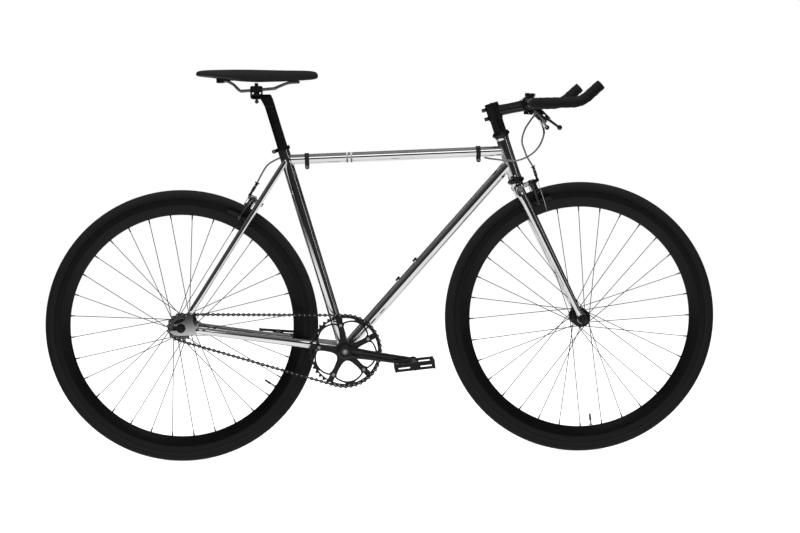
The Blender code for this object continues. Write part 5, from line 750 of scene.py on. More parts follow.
@dataclass(frozen=True)
class Finish:
    """How a surface looks: its colour, shine and fine relief."""

    name: str
    slot: str
    colour: Triple
    roughness: float
    metallic: float = 0.0
    coat: float = 0.0
    effect: Effect = Effect.SATIN
    scale: float = 400.0
    depth: float = 0.00001
    variation: float = 0.4
    specular: float = 0.5
    coat_roughness: float = 0.08

    def material(self) -> bpy.types.Material:
        """The finish's material, made once.

        Returns:
            The material.
        """
        known = bpy.data.materials.get(self.name)
        if known is not None:
            return known
        effect = bpy.data.node_groups.get(f"{self.effect.value}_surface")
        material = bpy.data.materials.new(self.name)
        material.use_nodes = True
        material.diffuse_color = (*self.colour, 1.0)
        nodes = Nodes(material.node_tree)
        group = nodes.add("ShaderNodeGroup", {
            "Colour": (*self.colour, 1.0), "Roughness": self.roughness, "Scale": self.scale,
            "Depth": self.depth, "Variation": self.variation},
            node_tree=effect or EffectGroup(self.effect).tree)
        nodes.fill(material.node_tree.nodes["Principled BSDF"], {
            "Metallic": self.metallic, "Coat Weight": self.coat,
            "Coat Roughness": self.coat_roughness, "Specular IOR Level": self.specular,
            "Base Color": group.outputs["Colour"], "Roughness": group.outputs["Roughness"],
            "Normal": group.outputs["Normal"]})
        return material


CHROME = Finish("chrome_plate", "chrome", (0.78, 0.785, 0.78), 0.05, 1.0,
                scale=120.0, depth=0.000004, variation=0.6)
BRIGHT = Finish("bright_steel", "polished_steel", (0.66, 0.66, 0.65), 0.20, 1.0,
                effect=Effect.STREAKS, scale=900.0, depth=0.000006)
KNURL = Finish("knurled_steel", "polished_steel", (0.60, 0.60, 0.59), 0.30, 1.0,
               effect=Effect.PORES, scale=1300.0, depth=0.00012)
DULL_STEEL = Finish("dull_steel", "dark_steel", (0.17, 0.17, 0.17), 0.36, 0.9, scale=500.0)
SPOKE_STEEL = Finish("spoke_steel", "dark_steel", (0.060, 0.060, 0.062), 0.34, 0.9, scale=500.0)
NUT_BLACK = Finish("blackened_nut", "polished_steel", (0.035, 0.035, 0.036), 0.34, 0.8,
                   scale=500.0)
ZINC = Finish("zinc_plate", "polished_steel", (0.62, 0.62, 0.61), 0.42, 0.55, scale=600.0)
CHAIN_STEEL = Finish("oiled_chain", "chain_steel", (0.045, 0.044, 0.043), 0.36, 0.9,
                     scale=600.0, variation=0.8)
ANODISED = Finish("black_anodised_alloy", "black_anodised", (0.012, 0.012, 0.013), 0.30, 0.25,
                  effect=Effect.STREAKS, scale=1100.0, depth=0.000006)
GLOSS_BLACK = Finish("gloss_black", "black_paint", (0.008, 0.008, 0.0085), 0.24, coat=0.4,
                     scale=180.0, depth=0.000006)
RIM_BLACK = Finish("satin_black_rim", "black_paint", (0.0032, 0.0032, 0.0034), 0.42, coat=0.03,
                   scale=260.0, depth=0.000008, specular=0.25)
TRACK = Finish("brake_track", "black_paint", (0.010, 0.010, 0.010), 0.46, 0.2,
               effect=Effect.STREAKS, scale=1500.0, depth=0.00001, specular=0.30)
TYRE = Finish("tyre_rubber", "tyre_rubber", (0.0048, 0.0048, 0.0048), 0.74,
              effect=Effect.PORES, scale=900.0, depth=0.00012, variation=0.5, specular=0.08)
TAPE = Finish("bar_tape", "bar_tape", (0.011, 0.011, 0.012), 0.62, effect=Effect.PORES,
              scale=950.0, depth=0.00022, variation=0.5, specular=0.35)
HOUSING = Finish("grey_housing", "housing", (0.40, 0.40, 0.40), 0.34, 0.35,
                 effect=Effect.STREAKS, scale=900.0, depth=0.00002)
NOODLE = Finish("cable_noodle", "polished_steel", (0.62, 0.62, 0.61), 0.20, 1.0, scale=500.0)
BOOT = Finish("cable_boot", "black_plastic", (0.014, 0.014, 0.014), 0.55, scale=600.0)
VINYL = Finish("saddle_vinyl", "saddle_vinyl", (0.0085, 0.0085, 0.0090), 0.42,
               effect=Effect.PORES, scale=1100.0, depth=0.00012, variation=0.4, specular=0.40)
PLASTIC = Finish("black_plastic", "black_plastic", (0.014, 0.014, 0.015), 0.46,
                 effect=Effect.PORES, scale=1200.0, depth=0.00004)
PAD = Finish("brake_pad_rubber", "tube_rubber", (0.015, 0.015, 0.015), 0.7,
             effect=Effect.PORES, scale=900.0, depth=0.00008)
BAND_WHITE = Finish("white_band", "chrome", (0.80, 0.80, 0.79), 0.35, scale=300.0)


def dress(obj: bpy.types.Object, finish: Finish, body: Body | str | None,
          nodes: Sequence[str]) -> None:
    """Gives an object its look and its body, and hides the frame nodes that it stands for.

    Args:
        obj: The piece's object.
        finish: Its look.
        body: The body that it rides on, or None if it is attached to no body.
        nodes: Frame nodes that it stands for.
    """
    obj.data.materials.append(finish.material())
    if body is not None:
        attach(obj, body.value if isinstance(body, Body) else body)
    if nodes:
        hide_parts(*nodes)
    LOG.info("%s: %d faces, %s", obj.name, len(obj.data.polygons), finish.name)


def place(shape: Shape, name: str, finish: Finish, body: Body | str | None, *nodes: str,
          sharp: float = SHARP) -> bpy.types.Object:
    """Adds a finished piece to the scene.

    Args:
        shape: The piece's surface.
        name: Its name.
        finish: Its look.
        body: The body that it rides on, or None if it is attached to no body.
        nodes: Frame nodes that it stands for.
        sharp: Angle from which an edge shows sharp.
    Returns:
        The piece's object.
    """
    obj = shape.mesh(name, sharp)
    dress(obj, finish, body, nodes)
    return obj


# Frame
@dataclass(frozen=True)
class TubeSizes:
    """Radii and ends of the frame's tubes."""

    head: float = 0.0159
    head_wall: float = 0.0011
    head_flare: float = 0.0006
    seat: float = 0.0143
    seat_lip: float = 0.0045
    top: float = 0.0127
    down: float = 0.0143
    shell: float = 0.0200
    shell_wall: float = 0.0030
    shell_half: float = 0.0340
    seatstay: float = 0.0072
    chainstay: float = 0.0080
    chainstay_front: float = 0.0072
    chainstay_end: float = 0.0360
    chainstay_short: float = 0.0120
    stay_rise: float = 0.0035
    stay_growth: float = 0.0042
    knee_ahead: float = 0.2880
    knee_spread: float = 0.0305
    knee_blend: float = 0.0200
    front_spread: float = 0.0240
    dropout: float = 0.0060
    dropout_face: float = 0.0600
    axle_slot: float = 0.0053
    slot_end: float = 0.0040
    bridge: float = 0.0065
    boss_centre: float = 0.2523
    boss_spacing: float = 0.064
    boss_radius: float = 0.0064
    boss_height: float = 0.0022
    bead: float = 0.0016
    bead_ripple: float = 0.16
    bead_drops: int = 26
    band_height: float = 0.00012
    band_places: tuple[Pair, Pair] = ((-0.0803, -0.0763), (-0.0695, -0.0655))


class FrameTubes:
    """The welded frame with its dropouts, bosses and bands."""

    def __init__(self, sizes: TubeSizes = TubeSizes()) -> None:
        """Keeps the sizes and the axis of the bottom bracket's shell."""
        self.sizes = sizes
        self.shell = Axis(PLACE.bracket, LEFT, UP)

    def weld(self, shape: Shape, start: Vector, along: Vector, radius: float, other: Axis,
             other_radius: float) -> None:
        """Adds a rippled weld bead where a round tube leaves another one's surface.

        Args:
            shape: Takes the bead.
            start: Point on the tube's axis inside the other tube.
            along: Direction of the tube, away from the other one.
            radius: Radius of the tube.
            other: Axis of the other tube.
            other_radius: Radius of the other tube.
        """
        s, line, rows = self.sizes, [], []
        x, y, z = axes(along)
        run = z - z.dot(other.along) * other.along
        for origin in ring(start, radius * x, radius * y, 40):
            offset = origin - other.foot
            across = offset - offset.dot(other.along) * other.along
            a, b = run.dot(run), 2 * across.dot(run)
            c = across.dot(across) - other_radius ** 2
            line.append(origin + (-b + math.sqrt(max(0.0, b * b - 4 * a * c))) / (2 * a) * z)
        fine = [point for a, b in zip(line, line[1:] + line[:1]) for point in (a, (a + b) / 2)]
        for i, point in enumerate(fine):
            ahead = (fine[(i + 1) % len(fine)] - fine[i - 1]).normalized()
            x, y, _ = axes(ahead, UP if abs(ahead.z) < 0.8 else LEFT)
            ripple = math.sin(s.bead_drops * math.tau * i / len(fine))
            size = s.bead * (1.0 + s.bead_ripple * ripple)
            rows.append(ring(point, size * x, size * y, 8))
        shape.rings(rows, closed=True)

    def head_tube(self) -> None:
        """Head tube with a small flare at both ends."""
        s, half = self.sizes, PLACE.head_tube / 2
        flare = s.head + s.head_flare
        profile = mirrored([(s.head - s.head_wall, -half), (s.head + 0.0002, -half),
                            (flare, 0.0006 - half), (flare, 0.0050 - half),
                            (s.head, 0.0062 - half), (s.head, 0.0068 - half)])
        shape = Shape().turned(profile, PLACE.steer.at(PLACE.head_bottom + half),
                               PLACE.steer.along, 64)
        place(shape, "head_tube_chrome", CHROME, Body.FRAME, "head_tube")

    def top_tube(self) -> None:
        """Top tube between its two weld beads."""
        s, line = self.sizes, PLACE.top
        shape = Shape().rod(line.at(0.011), line.at(line.length - 0.012), s.top, 56)
        self.weld(shape, line.foot, line.along, s.top, PLACE.seat, s.seat)
        self.weld(shape, line.end, -line.along, s.top, PLACE.steer, s.head)
        place(shape, "top_tube_chrome", CHROME, Body.FRAME, "top_tube")

    def bands(self) -> None:
        """Two white bands round the top tube."""
        s, line, shape = self.sizes, PLACE.top, Shape()
        for places in s.band_places:
            start, end = (line.at((x - line.foot.x) / line.along.x) for x in places)
            shape.rod(start, end, s.top + s.band_height, 56)
        place(shape, "top_tube_bands", BAND_WHITE, Body.FRAME)

    def down_tube(self) -> None:
        """Down tube with its weld beads and two bosses, each closed by a capped bolt."""
        s, line, top = self.sizes, PLACE.down, self.sizes.down + self.sizes.boss_height
        shape = Shape().rod(line.at(0.016), line.at(line.length - 0.013), s.down, 56)
        self.weld(shape, line.end, -line.along, s.down, PLACE.steer, s.head)
        self.weld(shape, line.foot, line.along, s.down, self.shell, s.shell)
        bolts = Shape()
        for offset in (-s.boss_spacing / 2, s.boss_spacing / 2):
            at = partial(line.at, s.boss_centre + offset)
            shape.rods(at, (s.down - 0.003, top, s.boss_radius, 28, 0.0005))
            bolts.rods(at, (top - 0.0014, top + 0.0034, s.boss_radius + 0.0003, 28, 0.0008),
                       (top + 0.0030, top + 0.0037, 0.0014, 6, 0.0))
        place(shape, "down_tube_chrome", CHROME, Body.FRAME, "down_tube")
        place(bolts, "boss_bolts", ANODISED, Body.FRAME)

    def seat_tube(self) -> None:
        """Seat tube, welded to the bottom bracket's shell."""
        s, line, half = self.sizes, PLACE.seat, self.sizes.shell_half
        shape = Shape().rod(line.foot, line.at(PLACE.seat_tube + s.seat_lip), s.seat, 56)
        self.weld(shape, line.foot, line.along, s.seat, self.shell, s.shell)
        shape.turned(sleeve(s.shell - s.shell_wall, s.shell, -half, half, (0.0005, 0.0006)),
                     PLACE.bracket, LEFT, 64)
        place(shape, "seat_tube_chrome", CHROME, Body.FRAME, "seat_tube")

    def dropout(self) -> list[Pair]:
        """Edge of a rear dropout about the axle, its slot open to the rear.

        Returns:
            Points of the outline.
        """
        slot, stay = self.sizes.axle_slot, PLACE.high_stay
        rear, front = (stay.at(PLACE.stay_start - 2 * GAP, off) - stay.foot
                       for off in (self.sizes.seatstay, -self.sizes.seatstay))
        return [(0.042, -0.0150), (0.020, -0.0175), (0.000, -0.0180), (-0.015, -0.0165),
                (-0.0230, -0.0118), (-0.0245, -0.0095), (-0.0245, -slot),
                *arc((self.sizes.slot_end, 0.0), slot, -math.pi / 2, math.pi / 2, 14),
                (-0.0180, slot), (-0.0175, 0.0095), (-0.0090, 0.0112), (0.0000, 0.0140),
                (0.0060, 0.0172), (0.0110, 0.0210), (rear.x, rear.z), (front.x, front.z),
                (0.0310, 0.0160), (0.0322, 0.0120), (0.0330, 0.0080), (0.0440, 0.0020)]

    def chainstay_at(self, along: float, sign: int) -> Vector:
        """Point on a chainstay's axis, which bends smoothly at its knee.

        Args:
            along: Distance from the rear axle.
            sign: 1 for the left stay, -1 for the right one.
        Returns:
            The point.
        """
        s, rear = self.sizes, PLACE.stay_rear_spread
        run = (s.knee_spread - rear) / (s.knee_ahead - s.chainstay_end)
        front = (s.front_spread - s.knee_spread) / (PLACE.chainstay - s.knee_ahead)
        beyond = along - s.knee_ahead
        spread = s.knee_spread + beyond * (run if beyond < 0.0 else front)
        blend = max(0.0, 1.0 - abs(beyond) / s.knee_blend)
        spread += 0.25 * blend ** 2 * s.knee_blend * (front - run)
        return PLACE.low_stay.at(along, 0.0, sign * spread)

    def chainstay(self, side: Side) -> None:
        """Chainstay with a rounded rear end, taller in front, and its dropout.

        Args:
            side: Side of the bicycle.
        """
        s, sign, line = self.sizes, side.value, PLACE.low_stay
        nose = ((0.0, 0.25), (0.0013, 0.62), (0.0040, 0.88), (0.0075, 1.0))
        start = self.chainstay_at(s.chainstay_end, sign)
        path = [start + ahead * line.along for ahead, _ in nose]
        sizes = [s.chainstay * share for _, share in nose]
        for along in spaced(s.chainstay_end, PLACE.chainstay - s.chainstay_short, 41)[2:]:
            share = max(0.0, (along - s.knee_ahead) / (PLACE.chainstay - s.knee_ahead))
            path.append(self.chainstay_at(along, sign))
            sizes.append(mix(s.chainstay, s.chainstay_front, share))
        rows = []
        for point, size, share in zip(path, sizes, spaced(0.0, 1.0, len(path))):
            tall = size + s.stay_growth * share
            rows.append(ring(point + s.stay_rise * share * line.square, -tall * line.square,
                             size * LEFT, 40))
        centre = PLACE.rear_axle + sign * (s.dropout_face + s.dropout / 2) * LEFT
        shape = Shape().rings(rows).plate([self.dropout()], s.dropout, centre, -LEFT, FORWARD,
                                          0.0006)
        place(shape, f"chainstay_{side.label}_chrome", CHROME, Body.FRAME,
              f"chainstay_{side.label}")

    def seatstay(self, side: Side) -> None:
        """Seatstay with rounded ends.

        Args:
            side: Side of the bicycle.
        """
        start, end = PLACE.stay_start, PLACE.high_stay.length
        places = [start, start + 0.0012, start + 0.0032, *spaced(start + 0.0065, end, 13)]
        shares = [0.30, 0.66, 0.90] + [1.0] * 11 + [0.98, 0.80]
        shape = Shape().tube([PLACE.seatstay(along, side.value) for along in places],
                             [self.sizes.seatstay * share for share in shares], 36)
        place(shape, f"seatstay_{side.label}_chrome", CHROME, Body.FRAME,
              f"seatstay_{side.label}")

    def bridge(self, calliper: "Calliper") -> None:
        """Bridge between the seatstays, with the rear brake's bolt.

        Args:
            calliper: The rear brake, which is bolted to the bridge.
        """
        s, height = self.sizes, calliper.pivot_height
        shape = Shape().rod(PLACE.seatstay(height, -1), PLACE.seatstay(height, 1), s.bridge, 36)
        place(shape, "bridge_chrome", CHROME, Body.FRAME, "brake_bridge")
        calliper.bolt("rear_brake_bolt", -s.bridge, s.bridge, Body.FRAME)

    def make(self, calliper: "Calliper") -> None:
        """Makes every piece of the frame.

        Args:
            calliper: The rear brake, which is bolted to the bridge.
        """
        self.head_tube()
        self.top_tube()
        self.down_tube()
        self.seat_tube()
        self.bands()
        for side in Side:
            self.chainstay(side)
            self.seatstay(side)
        self.bridge(calliper)


# Wheels
@dataclass(frozen=True)
class WheelSizes:
    """Sizes of a wheel; the defaults are those of the front one."""

    tyre_width: float = 0.0280
    tyre_outer: float = 0.339
    bead: float = 0.3113
    bead_half: float = 0.0098
    bead_inner: float = 0.0060
    rim_outer: float = 0.3155
    rim_tip: float = 0.2768
    rim_width: float = 0.0240
    rim_swell: float = 0.0006
    tip_half: float = 0.0036
    track: float = 0.0140
    spoke: float = 0.0010
    lacing: float = math.radians(67.5)
    lacing_start: float = math.radians(-0.30)
    spokes_per_side: int = 16
    valve_seat: float = 0.3153
    valve_length: float = 0.0690
    valve_angle: float = math.radians(-84.7)
    spread: float = 0.0350
    flange: float = 0.0230
    flange_thickness: float = 0.0026
    hole_inset: float = 0.0030
    barrel: float = 0.0115
    hub_end: float = 0.0135
    hub_width: float = 0.100
    hub_recess: float = 0.0083
    freewheel_body: float = 0.0200
    axle: float = 0.0045
    dropout: float = 0.0050
    washer: float = 0.0022


REAR_SIZES = WheelSizes(lacing_start=math.radians(4.65), valve_angle=math.radians(-34.7),
                        spread=0.0340, hub_width=0.120, axle=0.0050, dropout=0.0060)


class Wheel:
    """A laced wheel with tyre, deep rim, valve, spokes, nipples, hub and axle."""

    # Angles round the tyre's section, in degrees from its tread, and how far they stand out.
    tread = ((17, 21, -0.0004), (92, 98, 0.00025), (118, 124, -0.0003))

    def __init__(self, end: str, centre: Vector, body: Body, carrier: Body,
                 sizes: WheelSizes) -> None:
        """Keeps the wheel's place and sizes; the carrier holds its axle."""
        self.end, self.centre, self.sizes = end, centre, sizes
        self.body, self.carrier = body, carrier

    def tyre(self) -> None:
        """Round tyre with bead lines, a moulded side rib and shallow grooves in its tread."""
        s = self.sizes
        half, middle = s.tyre_width / 2, s.tyre_outer - s.tyre_width / 2
        foot = math.pi - math.asin(s.bead_half / half)
        profile: list[Pair] = []
        for turn in spaced(foot, -foot, 41):
            lean = abs(math.degrees(turn))
            size = half + sum(depth for low, high, depth in self.tread if low < lean < high)
            profile.append(polar(size, turn, (middle, 0.0)))
        profile += mirrored([(s.bead, -s.bead_half), (s.bead, -s.bead_inner),
                             (s.bead + 0.003, -s.bead_inner)])
        place(Shape().turned(profile, self.centre, LEFT, 160), f"{self.end}_tyre_rubber", TYRE,
              self.body, f"{self.end}_tyre", f"{self.end}_inner_tube", sharp=math.radians(50.0))

    def rim(self) -> None:
        """Deep rim with a rounded tip and brake tracks."""
        s = self.sizes
        edge, track = s.rim_width / 2, s.rim_outer - s.track
        foot, flank = s.rim_tip + 0.0019, s.tip_half + 0.0004
        half = [(s.rim_tip, 0.0), (s.rim_tip + 0.0001, s.tip_half - 0.0014),
                (s.rim_tip + 0.0007, s.tip_half - 0.0003)]
        half += [(mix(foot, track, share),
                  mix(flank, edge, share) + s.rim_swell * math.sin(math.pi * share))
                 for share in spaced(0.0, 1.0, 9)]
        half += [(track + 0.0004, edge - 0.0002), (s.rim_outer - 0.0008, edge - 0.0002),
                 (s.rim_outer, edge - 0.0006), (s.rim_outer, edge - 0.0012),
                 (s.bead - 0.0003, edge - 0.0013)]
        place(Shape().turned(mirrored(half)[:-1], self.centre, LEFT, 192),
              f"{self.end}_rim_black", RIM_BLACK, self.body, f"{self.end}_rim")
        tracks, low, high = Shape(), track + 0.0007, s.rim_outer - 0.0009
        for sign in (1, -1):
            deep, proud = sign * (edge - 0.0004), sign * (edge - 0.00005)
            tracks.turned([(low, deep), (low, proud), (high, proud), (high, deep)],
                          self.centre, LEFT, 160)
        place(tracks, f"{self.end}_brake_tracks", TRACK, self.body)

    def valve(self) -> None:
        """Threaded valve with its lock ring and cap."""
        s, tip = self.sizes, self.sizes.valve_seat - self.sizes.valve_length
        at = partial(wheel_point, self.centre, angle=s.valve_angle)
        stem = Shape().tube([at(s.rim_tip + 0.001 - 0.0005 * k) for k in range(32)],
                            [0.0021 + 0.00022 * (k % 2) for k in range(32)], 16)
        stem.rods(at, (s.rim_tip - 0.0002, s.rim_tip - 0.0024, 0.0045, 20, 0.0004))
        place(stem, f"{self.end}_valve_stem", BRIGHT, self.body)
        cap = Shape().rod(at(tip + 0.0170), at(tip), 0.0029, 18, 0.0006, 0.0022)
        place(cap, f"{self.end}_valve_cap", PLASTIC, self.body)

    def spoke(self, shape: Shape, nipples: Shape, sign: int, turn: float, way: int) -> None:
        """Adds a spoke, elbowed through its flange, and its nipple.

        Args:
            shape: Takes the spoke.
            nipples: Takes the nipple.
            sign: 1 on the left side, -1 on the right one.
            turn: Angle of its end at the rim.
            way: 1 if the flange's hole lies ahead of that angle, -1 if behind.
        """
        s, hole = self.sizes, self.sizes.flange - self.sizes.hole_inset
        off = -way * (s.flange_thickness / 2 + s.spoke + 0.0002)
        rim = wheel_point(self.centre, s.rim_tip - 0.0006, turn, sign * 0.0012)
        flange, inner = (wheel_point(self.centre, hole, turn + way * s.lacing,
                                     sign * (s.spread + out)) for out in (off, -off))
        along = (rim - flange).normalized()
        shape.tube([inner, inner.lerp(flange, 0.6), flange, flange + 0.0020 * along,
                    flange.lerp(rim, 0.55), rim - 0.012 * along, rim - 0.004 * along],
                   [s.spoke * share for share in (1.0, 1.0, 1.0, 1.0, 0.88, 0.9, 1.0)], 8)
        shape.ball(inner + 0.0002 * sign * way * LEFT, 0.0019, LEFT, 10)
        nipples.tube([rim - depth * along for depth in (-0.0004, 0.0012, 0.0016, 0.0085, 0.0100)],
                     [0.0021, 0.0021, 0.0017, 0.0015, 0.0011], 10)

    def spokes(self) -> None:
        """Two crossed sets of spokes on each side, with elbows, heads and nipples."""
        s, nipples = self.sizes, Shape()
        step = 2 * math.tau / s.spokes_per_side
        for side in Side:
            shape, start = Shape(), s.lacing_start - (step / 4 if side is Side.RIGHT else 0.0)
            for way, first in ((-1, start), (1, start + step / 2)):
                for index in range(s.spokes_per_side // 2):
                    self.spoke(shape, nipples, side.value, first + step * index, way)
            place(shape, f"{self.end}_spokes_{side.label}_drawn", SPOKE_STEEL, self.body,
                  f"{self.end}_spokes_{side.label}")
        place(nipples, f"{self.end}_nipples", GLOSS_BLACK, self.body)

    def hub(self) -> None:
        """Hub shell; a rear hub carries the freewheel's body on its right end."""
        s = self.sizes
        bore, end = s.axle + GAP, s.hub_width / 2 - s.hub_recess
        outer, inner = (s.spread + sign * s.flange_thickness / 2 for sign in (1, -1))
        half = [(s.hub_end - 0.0008, end), (s.hub_end, end - 0.0008), (s.hub_end, outer + 0.003),
                (s.hub_end + 0.002, outer + 0.0006), (s.flange - 0.0008, outer),
                (s.flange, outer - 0.0008), (s.flange, inner + 0.0008),
                (s.flange - 0.0008, inner), (s.barrel + 0.0030, inner - 0.0006),
                (s.barrel + 0.0010, inner - 0.0022), (s.barrel, inner - 0.0060)]
        profile = mirrored(half)
        if self.body is Body.REAR_WHEEL:
            profile = [pair for pair in profile if pair[1] > -outer - 0.0005]
            profile += [(s.freewheel_body, -outer - 0.0010), (s.freewheel_body, -end)]
        shape = Shape().turned([(bore, end), *profile, (bore, -end)], self.centre, LEFT, 56)
        place(shape, f"{self.end}_hub_shell", ANODISED, self.body, f"{self.end}_hub")

    def axle(self) -> None:
        """Axle with locknuts, washers and flanged nuts, and its threaded ends."""
        s, face = self.sizes, self.sizes.hub_width / 2
        washer = face + s.dropout + GAP
        nut = washer + s.washer
        tip, thread = (nut + 0.012) * LEFT, nut + 0.0090
        hexagon = [polar(0.0088, turn + math.pi / 6) for turn in turns(6)]
        shape = Shape().rod(self.centre - tip, self.centre + tip, s.axle - 0.0003, 24, 0.0006)
        nuts = Shape()
        for sign in (1, -1):
            at = Axis(self.centre, sign * LEFT, UP).at
            shape.rods(at, (face - 0.008, face - 0.0003, 0.0084, 6, 0.0004),
                       *((thread + 0.0008 * k, thread + 0.0004 + 0.0008 * k, s.axle, 20, 0.0)
                         for k in range(4)))
            nuts.rods(at, (washer, nut, 0.0115, 36, 0.0004))
            nuts.prism(hexagon, 0.0088, at(nut + 0.0045), sign * LEFT, FORWARD, 0.0007)
        place(shape, f"{self.end}_axle_steel", NUT_BLACK, self.carrier, f"{self.end}_axle")
        place(nuts, f"{self.end}_axle_nuts", NUT_BLACK, self.carrier)

    def make(self) -> None:
        """Makes every piece of the wheel."""
        self.tyre()
        self.rim()
        self.valve()
        self.spokes()
        self.hub()
        self.axle()


# Drive train
@dataclass(frozen=True)
class DriveSizes:
    """Sizes of the chain, its wheels, the cranks and the pedals."""

    pitch: float = 0.0127
    ring_teeth: int = 44
    sprocket_teeth: int = 16
    line: float = 0.0430
    plate: float = 0.0030
    ring_inner: float = 0.0820
    strut_rise: float = 0.0128
    strut_half: float = 0.0021
    bolt_circle: float = 0.0650
    tab: float = 0.0065
    bolt: float = 0.0040
    length: float = 0.170
    angle: float = math.radians(-9.5)
    arm_thickness: float = 0.0120
    groove: float = 0.0022
    root_height: float = 0.0290
    tip_height: float = 0.0210
    root_centre: float = 0.0570
    eye_centre: float = 0.0680
    eye: float = 0.0130
    boss: float = 0.0190
    boss_inner: float = 0.0385
    boss_outer: float = 0.0645
    spider: float = 0.0070
    spindle: float = 0.0079
    spindle_half: float = 0.0638
    sprocket_bore: float = 0.0232
    pedal_length: float = 0.0980
    pedal_width: float = 0.0900
    pedal_height: float = 0.0220
    pedal_clearance: float = 0.0060
    pedal_barrel: float = 0.0105
    pedal_tilt: float = math.radians(5.0)


class DriveTrain:
    """Bottom bracket, cranks, chainring, chain, freewheel and pedals."""

    arms = 5
    step = math.tau / arms
    # Share of a tooth's pitch from the root, and height over the pitch circle.
    tooth = ((-0.20, -0.0024), (-0.10, -0.0034), (0.0, -0.0038), (0.10, -0.0034),
             (0.20, -0.0024), (0.34, 0.0004), (0.44, 0.0021), (0.56, 0.0021), (0.66, 0.0004))

    def __init__(self, sizes: DriveSizes = DriveSizes()) -> None:
        """Works out the pitch circles and the angles where the chain leaves them.

        Args:
            sizes: The sizes.
        """
        self.sizes = sizes
        self.ring_radius, self.sprocket_radius = (
            sizes.pitch / (2 * math.sin(math.pi / teeth))
            for teeth in (sizes.ring_teeth, sizes.sprocket_teeth))
        run = PLACE.low_stay.along
        line = math.atan2(run.z, run.x)
        lean = math.acos((self.sprocket_radius - self.ring_radius) / PLACE.chainstay)
        self.above, self.below = line + lean, line - lean
        self.arm_turns = [sizes.angle + self.step * (k + 0.5) for k in range(self.arms)]

    def toothed(self, teeth: int, pitch_radius: float) -> list[Pair]:
        """Edge of a chain wheel with round roots and narrow tips, a root where the chain ends."""
        step = math.tau / teeth
        return [polar(pitch_radius + rise, self.above + (index + share) * step)
                for index in range(teeth) for share, rise in self.tooth]

    def chainring(self) -> None:
        """Toothed ring with five tabs and thin arcs between them."""
        s = self.sizes

        def strut(turn: float, off: float) -> float:
            """Radius of a thin arc at an angle from its tab, off its middle."""
            return s.bolt_circle + 0.0005 + s.strut_rise * math.sin(turn / self.step * math.pi) + off

        opening, windows = [], []
        for arm in self.arm_turns:
            opening += [polar(s.bolt_circle - s.tab + 0.0022 * (1 - math.cos(k * math.pi / 10)),
                              arm + math.radians(k * 1.35)) for k in range(-5, 6)]
            opening += [polar(strut(turn, -s.strut_half), arm + turn)
                        for turn in spaced(math.radians(9.0), self.step - math.radians(9.0), 13)]
            for sign in (1, -1):
                windows.append(
                    [polar(strut(turn, s.strut_half), arm + sign * turn)
                     for turn in map(math.radians, (5.5, 10.0, 15.0, 20.5, 26.0))]
                    + [polar(s.ring_inner, arm + sign * turn)
                       for turn in map(math.radians, (28.0, 23.0, 17.0, 11.0, 5.2))])
        shape = Shape().plate([self.toothed(s.ring_teeth, self.ring_radius), opening, *windows],
                              s.plate, PLACE.bracket - s.line * LEFT, -LEFT, FORWARD)
        place(shape, "chainring_black", ANODISED, Body.CRANKS, "chainring")

    def arm_section(self, height: float, share: float) -> list[Pair]:
        """Section of a crank arm with a groove in its outer face.

        Args:
            height: Height of the section.
            share: Share of the groove's full depth.
        Returns:
            Points of the outline, upward and outward.
        """
        h, t = height / 2, self.sizes.arm_thickness / 2
        depth = self.sizes.groove * max(share, 0.05)
        outer = [(-h, 0.0030 - t), (-h, t - 0.0034), (0.0010 - h, t - 0.0010), (0.0034 - h, t),
                 (-0.0052, t), (-0.0018, t - depth)]
        return mirrored(outer, -1, 1) + [(h - 0.0030, -t), (0.0030 - h, -t)]

    def crank(self, side: Side) -> None:
        """Tapered arm with a round boss, its bolt, an eye and the pedal's spindle.

        Args:
            side: Side of the bicycle.
        """
        s, sign = self.sizes, side.value
        along = -sign * Vector((math.cos(s.angle), 0.0, math.sin(s.angle)))
        at, upright = Axis(PLACE.bracket, along, sign * LEFT).at, axes(along, UP)[0]
        shape = Shape().turned(
            [(0.0083, s.boss_inner), (s.boss - 0.001, s.boss_inner),
             (s.boss, s.boss_inner + 0.001), (s.boss, s.boss_outer - 0.0035),
             (s.boss - 0.0035, s.boss_outer), (0.0115, s.boss_outer),
             (0.0110, s.boss_outer - 0.0025), (0.0083, s.boss_outer - 0.0025)],
            PLACE.bracket, sign * LEFT, 56)
        rows = []
        for share in spaced(0.0, 1.0, 25):
            middle = at(mix(0.004, s.length, share), mix(s.root_centre, s.eye_centre, share))
            height = (mix(s.root_height, s.tip_height, share)
                      * (1.0 - 0.10 * math.sin(math.pi * share)))
            rows.append([middle + px * upright + sign * py * LEFT for px, py in
                         self.arm_section(height, min(share / 0.2, 1.0, (1.0 - share) / 0.1))])
        face, at_eye = s.eye_centre + s.arm_thickness / 2, partial(at, s.length)
        shape.rings(rows).rods(at_eye, (face - s.arm_thickness, face, s.eye, 40, 0.0012))
        if side is Side.RIGHT:
            self.add_spider(shape)
        place(shape, f"crank_{side.label}_arm", ANODISED, Body.CRANKS, f"crank_{side.label}")
        spindle = Shape().rods(at_eye, (s.eye_centre, face + 0.0045, 0.0071, 24, 0.0004),
                               (s.eye_centre, face + 0.0925, 0.0052, 20, 0.0))
        place(spindle, f"pedal_spindle_{side.label}", BRIGHT, Body.CRANKS)
        bolt = Shape().rods(partial(at, 0.0),
                            (s.boss_outer - 0.006, s.boss_outer - 0.0012, 0.0080, 32, 0.0006),
                            (s.boss_outer - 0.0014, s.boss_outer - 0.0002, 0.0048, 6, 0.0))
        place(bolt, f"crank_bolt_{side.label}", ZINC, Body.CRANKS)

